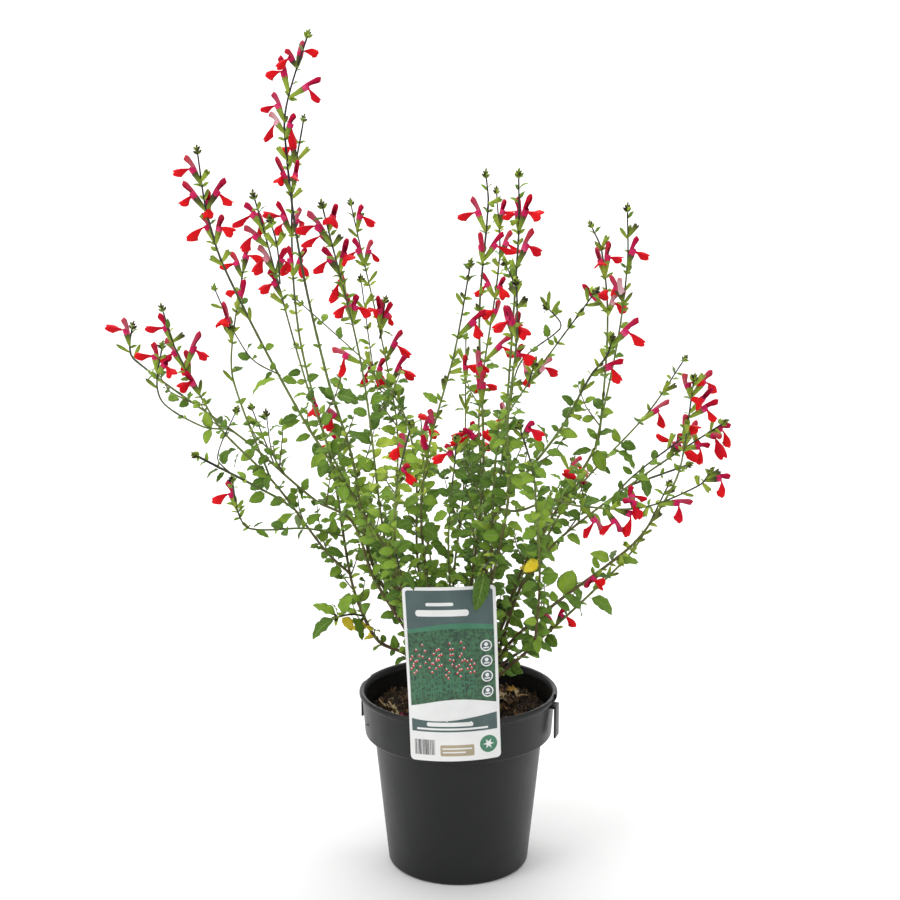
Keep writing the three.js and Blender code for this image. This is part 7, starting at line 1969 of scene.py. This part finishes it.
for stem, n, item, (root, hood, lip) in flowers:
    luck = draw_for(4, n, item)
    axis, length = (hood - root).normalized(), (hood - root).length
    mouth = root.lerp(hood, MOUTH)
    front = aside(axis, lip - mouth)
    spots_of["calyx", stem.tree].add(root, front, axis, (1.0, 1.0, length * CALYX_LENGTH), 0,
                                     0.32 + 0.5 * next(luck))
    pale = paleness(hood)
    spots_of["tube", stem.tree].add(root, front, axis, (1, 1, length), 0, 0.12 + 0.16 * next(luck), pale)
    # Some hoods get a faint painted highlight: a random share of pale pink, strongest towards their foot.
    painted_hood_highlight = 0.25 * next(luck) ** 3
    spots_of["hood", stem.tree].add(root, front, axis, (1, 1, length), 0, 0.3 + 0.22 * next(luck),
                                    max(painted_hood_highlight, pale))
    reach = (lip - mouth).length + LIP_BEYOND
    along, across, upper = lip_axes(root, hood, lip)
    broad = 0.4 + 0.4 * max(0, -along.y) + 0.18 * next(luck)
    spots_of["lip", stem.tree].add(mouth, along, upper, (reach * LIP_LONG, broad, 1), int(next(luck) * 4),
                                   0.7 + 0.25 * next(luck))
for n, (stem, root, tip) in enumerate(calyces):
    luck = draw_for(5, 1, n)
    axis = (tip - root).normalized()
    spots_of["calyx", stem.tree].add(root, aside(axis, Vector((1, 0, 0))), axis,
                                     (0.95, 0.95, (tip - root).length), int(next(luck) * 2),
                                     0.38 + 0.6 * next(luck))

# Buds crowd at the tip of every flowering shoot in crossed pairs, dark purple with green at their feet, over
# a pair of little bracts. The same bracts stand under each pair of flowers. A tier is a length and a splay.
BUD_TIERS = [(5.4, 0.95), (4.8, 0.8), (4.2, 0.6), (3.6, 0.3), (3.4, 0.0)]
BUD_STEP = 1.5
BUD_WIDE = 0.72
BRACT_LENGTHS = (6.5, 10.5)
BRACT_SHARE = 0.5
BRACT_ROOM = 2.5
FLOWER_NODE = 12
LAST = 1e-6


def bracts(stem, luck, at, ahead, side):
    """A pair of bracts, one on each side of a stem, where there is room."""
    for away in (side, -side):
        length = between(BRACT_LENGTHS, next(luck))
        tip = at + (away + ahead * (0.3 + 0.6 * next(luck))).normalized() * length
        roll = facing_up(at, tip, 0.8 * (next(luck) - 0.5))
        shape, tint = int(next(luck) * 4), 0.5 + 0.4 * next(luck)
        beads = leaf_beads(at, tip, BRACT_SHARE, roll)
        if clash(beads, stem.name, at, BRACT_ROOM) > BRACT_ROOM:
            continue
        claim(beads, stem.name + " dress")
        spots_of["leaflet", stem.tree].add_leaf(at, tip, roll, BRACT_SHARE, shape, tint)


for n, stem in enumerate(stems):
    luck = draw_for(6, 1, n)
    at, ahead, _ = stem.curve(len(stem.points) - 1 - LAST)
    side = aside(ahead, Vector((1, 0.3, 0)))
    across = ahead.cross(side)
    for k in range(2 * len(BUD_TIERS) - 1):
        length, splay = BUD_TIERS[k // 2]
        turn = math.pi * (k % 2) + math.pi / 2 * (k // 2)
        away = side * math.cos(turn) + across * math.sin(turn)
        axis = (ahead + away * splay).normalized()
        root = at + ahead * (k // 2 * BUD_STEP - 1) + away * 0.5
        length *= 0.85 + 0.3 * next(luck)
        wide = length * BUD_WIDE
        spots_of["bud", stem.tree].add(root, aside(axis, side), axis, (wide, wide, length), 0,
                                       0.1 + 0.6 * next(luck))
    bracts(stem, luck, at - ahead * 2.5, ahead, across)
seen_nodes = set()
for stem, n, item, (root, hood, lip) in flowers:
    node = (stem.name, round(root.z / FLOWER_NODE))
    if node not in seen_nodes:
        seen_nodes.add(node)
        t = nearest(stem.points, root)[2]
        at, ahead, _ = stem.curve(min(t, len(stem.points) - 1 - LAST))
        bracts(stem, draw_for(7, n, item), at - ahead * 2, ahead, aside(ahead, Vector((1, 0.4, 0))))

# Between the flowers, further nodes carry bracts and calyces that have dropped their flowers.
NODE_SPACING = (16, 25)
NODE_TIP = 9
SHUT_CALYX = (8, 11.5)
SHUT_WIDE = 0.85
SHUT_SHARE = 0.55
for n, stem in enumerate(stems):
    draw = draws(15100 + n)
    foot = leafy_top(n, stem)
    for at, ahead, _ in walked(stem, 0, lambda _: between(NODE_SPACING, next(draw))):
        turn = 2 * math.pi * next(draw)
        if at.z < foot or (at - stem.points[-1]).length < NODE_TIP:
            continue
        side = aside(ahead, Vector((1, math.sin(turn), 0)))
        bracts(stem, draw, at, ahead, side)
        for away in (ahead.cross(side), -ahead.cross(side), side):
            size = between(SHUT_CALYX, next(draw))
            axis = (ahead + away * (0.5 + 0.3 * next(draw))).normalized()
            beads = [(at + axis * size * s, 2) for s in (0.5, 0.75, 1)]
            tint = 0.35 + 0.6 * next(draw)
            if next(draw) < SHUT_SHARE and clash(beads, stem.name, at, 1) <= 1:
                claim(beads, stem.name + " dress")
                spots_of["calyx", stem.tree].add(at, aside(axis, side), axis, (SHUT_WIDE, SHUT_WIDE, size), 1,
                                                 tint)

# Each leafy stem is one piece: its wood and its twigs, with all that is set on them. Its red petals are a
# second piece. "age" is 1 in the brown foot and 0 at the purple tip.
BARK_FOOT, BARK_HEIGHT = 170, 520
YOUNG_REACH = 270
TWIG_SAG, TWIG_SIDES = 0.3, 5


def wood_of(tree):
    """The skin of a tree's stems and twigs, with the age of each point."""
    points, faces, ages = [], [], []

    def add(skin, age_at):
        faces.extend(tuple(i + len(points) for i in face) for face in skin[1])
        points.extend(skin[0])
        ages.extend(age_at(p) for p in skin[0])

    for stem in stems:
        if stem.tree == tree:
            tip = stem.points[-1]
            add(tube_skin(stem_spots(stem)), lambda p: min(
                within(1 - (p.z - BARK_FOOT) / BARK_HEIGHT), (p - tip).length / YOUNG_REACH))
    for stem, (at, middle, end), share in twigs:
        if stem.tree == tree:
            out, tip_way = (middle - at).normalized(), (end - middle).normalized()
            sag = at.lerp(middle, 0.5) - UP * TWIG_SAG
            add(tube_skin([(at, out, TWIG_RADII[0]), (sag, out, TWIG_RADII[0]),
                           (middle, (end - at).normalized(), sum(TWIG_RADII) / 2),
                           (end, tip_way, TWIG_RADII[1])], TWIG_SIDES), lambda p: 0.5 + 0.2 * share)
    return points, faces, ages


for tree in dict.fromkeys(stem.tree for stem in stems):
    points, faces, ages = wood_of(tree)
    growth = piece_of(tree + "_growth", points, faces, bark.material)
    growth.data.attributes.new("age", "FLOAT", "POINT").data.foreach_set("value", ages)
    for kind in ("leaf", "leaflet", "tuft"):
        set_on(growth, spots_of[kind, tree], SHAPES[kind], foliage.material)
    for kind in ("calyx", "bud"):
        set_on(growth, spots_of[kind, tree], SHAPES[kind], sepal.material)
    mounted(growth, "leafy_stem", tree)
    if spots_of["tube", tree].rows:
        blooms = piece_of(tree + "_blooms", [], [], petal.material)
        for kind in ("tube", "hood", "lip"):
            set_on(blooms, spots_of[kind, tree], SHAPES[kind], petal.material)
        mounted(blooms, "petal")
for group in SHAPES.values():
    dropped(group)

# What has dropped on the mix: a forked twig and a bit of stick, two dry leaves and a faded flower's lip. Each
# lies loose on the crumbs, so many millimetres lower than its points say.
TWIG_DROP, STICK_DROP = 10.1, 7.1
PALE_LEAF_DROP, OCHRE_LEAF_DROP, PETAL_DROP = 8.0, 11.0, 9.6
KNOT = 1.12
BENDS, BEND = 0.4, 0.35
TWIG_FORK, STICK_FOOT = (-66, 2, 167), (60, 33, 165)

dry_wood = grained("dry_wood", ((420, 4), [
    (0.3, (0.3, 0.19, 0.09)), (0.55, (0.5, 0.35, 0.18)), (0.75, (0.66, 0.54, 0.35))]),
    ((500, 2), 0.7, 0.95), ((1400, 4, (1, 0.3, 1)), 0.0003), Specular_IOR_Level=0.15)


def dry_stick(points, radii, drop):
    """The skin of a dry stick through some points, with knots where they lie."""
    points = [Vector(p) - UP * drop for p in points]
    spots = []
    for i, (a, b) in enumerate(zip(points, points[1:])):
        for k in range(5 if i == len(points) - 2 else 4):
            s = k / 4
            radius = between(radii[i:i + 2], s) * (KNOT if k == 0 else 1)
            uneven = rough.noise_vector(a.lerp(b, s) * BENDS) * BEND
            spots.append((a.lerp(b, s) + uneven, (b - a).normalized(), radius))
    return tube_skin(spots)


# The vector noise starts from the clock unless it is given a seed.
rough.seed_set(5)
fork = dry_stick([(-60, -12, 166), TWIG_FORK, (-71, 16, 169)], [1.3, 1.2, 0.8], TWIG_DROP)
branch = dry_stick([TWIG_FORK, (-75, 6, 168), (-81, 15, 172)], [1.1, 0.9, 0.6], TWIG_DROP)
forked = fork[1] + [tuple(i + len(fork[0]) for i in face) for face in branch[1]]
mounted(piece_of("dry_twig_forked", fork[0] + branch[0], forked, dry_wood), "dry_litter", "dry_twig")
points, faces = dry_stick([STICK_FOOT, (66, 36, 166), (72, 38, 165)], [1.4, 1.1, 0.9], STICK_DROP)
mounted(piece_of("dry_stick_broken", points, faces, dry_wood), "dry_litter", "dry_stick")

# The fallen leaves and the petal are one curled blade, each with its own place, width, roll and colours.
curled = group_of("dry_leaf_shapes", [blade("dry_leaf", leaf_rows(16, 8, 7, 0.25, 0.7, 0.5), 0.025)])
for name, node, slot, root, tip, share, roll, drop, low, high in (
        ("dry_leaf_torn", "dry_leaf_pale", "dry_litter", (40, 20, 166), (58, 34, 167), 0.6, 0.3,
         PALE_LEAF_DROP, (0.34, 0.22, 0.12), (0.62, 0.5, 0.33)),
        ("dry_leaf_curled", "dry_leaf_ochre", "dry_litter", (50, 56, 168), (63, 52, 170), 0.65, -0.5,
         OCHRE_LEAF_DROP, (0.3, 0.15, 0.03), (0.55, 0.33, 0.07)),
        ("fallen_petal_faded", "fallen_petal", "petal", (-61, -22, 166), (-52, -17, 167), 0.7, 0.2,
         PETAL_DROP, (0.34, 0.015, 0.1), (0.6, 0.05, 0.22))):
    dried = grained(name, ((330, 4), [(0.35, low), (0.65, high)]), ((500, 2), 0.65, 0.9), ((900, 4), 0.0004),
                    Specular_IOR_Level=0.15)
    lying = Spots()
    lying.add_leaf(Vector(root) - UP * drop, Vector(tip) - UP * drop, roll, share)
    fallen = piece_of(name, [], [], dried)
    set_on(fallen, lying, curled, dried)
    mounted(fallen, slot, node)

# More dry leaves lie about on the mix, the most of them at the right.
SCATTER = 46
SCATTER_REACH = 82
SCATTER_SIZES = (10, 23)
SCATTER_WIDTHS = (0.7, 1.1)
SCATTER_TILTS = (-0.2, 0.35)
SCATTER_LIFT = 2.4
BARE_MIDDLE = 22
LEFT_OUT = 0.6
DRY_BROWNS = [(0.15, (0.07, 0.035, 0.018)), (0.45, (0.26, 0.14, 0.055)), (0.7, (0.46, 0.29, 0.08)),
              (0.95, (0.62, 0.52, 0.34))]
DRY_BLOTCH = (0.1, 0.055, 0.028)
withered = Finish("dry_leaf_scattered", Specular_IOR_Level=0.15)
blotched = withered.maths("MULTIPLY", withered.noise(240, 4), 0.6)
browns = withered.steps(withered.attribute("tint"), DRY_BROWNS)
withered.colour(withered.mixed(blotched, browns, DRY_BLOTCH))
withered.roughness(withered.noise(500, 2), 0.65, 0.9)
withered.bump(withered.noise(900, 4), 0.0004)
scattered, draw = Spots(), random.Random(21)
while len(scattered.rows) < SCATTER:
    x, y = draw.uniform(-SCATTER_REACH, SCATTER_REACH), draw.uniform(-SCATTER_REACH, SCATTER_REACH)
    length = draw.uniform(*SCATTER_SIZES)
    if math.hypot(x, y) + length / 2 > SCATTER_REACH or abs(x) < BARE_MIDDLE:
        continue
    if x < 0 and draw.random() < LEFT_OUT:
        continue
    turn, tilt = draw.uniform(0, 2 * math.pi), draw.uniform(*SCATTER_TILTS)
    along = Vector((math.cos(turn), math.sin(turn), tilt)).normalized()
    up = Vector((draw.uniform(-0.5, 0.5), draw.uniform(-0.5, 0.5), 1)).normalized()
    up = (up - along * up.dot(along)).normalized()
    lift = SCATTER_LIFT + length * abs(tilt) / 2
    root = Vector((x, y, soil_height(x, y) + lift)) - along * length / 2
    wide = length * draw.uniform(*SCATTER_WIDTHS)
    scattered.add(root, along, up, (length, wide, length), 0, draw.random())
strewn_leaves = piece_of("dry_leaf_scatter", [], [], withered.material)
set_on(strewn_leaves, scattered, curled, withered.material)
mounted(strewn_leaves, "dry_litter")
dropped(curled)

# The studio: a white sweep that curves up behind the pot, a broad soft light over the left shoulder, a fill
# from the right, one above and one on the sweep, and an even white surround. It is in metres.
SWEEP_WIDTH = 7.0
SWEEP_FRONT = -3.0
SWEEP_BACK = 2.6
SWEEP_CURVE = 1.2
SWEEP_TOP = 4.5
SWEEP_STEPS = 16
SURROUND = 0.5

paper = Finish("white_paper", Roughness=0.9, Specular_IOR_Level=0.1)
paper.colour(paper.steps(paper.noise(3, 2), [(0.3, (0.88, 0.88, 0.88)), (0.7, (0.9, 0.9, 0.9))]))
profile = [(SWEEP_FRONT, 0)]
for i in range(SWEEP_STEPS + 1):
    turn = math.pi / 2 * i / SWEEP_STEPS
    profile.append((SWEEP_BACK + SWEEP_CURVE * math.sin(turn), SWEEP_CURVE * (1 - math.cos(turn))))
profile.append((SWEEP_BACK + SWEEP_CURVE, SWEEP_TOP))
points = [(x, y, z) for y, z in profile for x in (-SWEEP_WIDTH / 2, SWEEP_WIDTH / 2)]
faces = [(2 * i, 2 * i + 1, 2 * i + 3, 2 * i + 2) for i in range(len(profile) - 1)]
piece_of("studio_sweep", points, faces, paper.material, 1)


def soft_light(name, at, aim, size, power):
    lamp = bpy.data.lights.new(name, "AREA")
    lamp.shape = "RECTANGLE"
    lamp.size, lamp.size_y = size
    lamp.energy = power
    made = bpy.data.objects.new(name, lamp)
    made.location = at
    made.rotation_euler = (Vector(aim) - Vector(at)).to_track_quat("-Z", "Y").to_euler()
    bpy.context.scene.collection.objects.link(made)


soft_light("soft_left", (-2.2, -1.6, 2.0), (0, 0, 0.4), (1.6, 1.8), 40)
soft_light("soft_right", (2.4, -1.4, 1.4), (0, 0, 0.4), (1.4, 1.8), 16)
soft_light("soft_top", (0, 0.3, 3.0), (0, 0, 0), (2.6, 2.6), 40)
soft_light("sweep_light", (0, 1.4, 2.6), (0, 3.4, 0.6), (4.0, 1.2), 90)

world = bpy.data.worlds.new("surround")
world.use_nodes = True
world.node_tree.nodes["Background"].inputs["Color"].default_value = (1, 1, 1, 1)
world.node_tree.nodes["Background"].inputs["Strength"].default_value = SURROUND
bpy.context.scene.world = world
bpy.context.scene.view_settings.view_transform = "Standard"
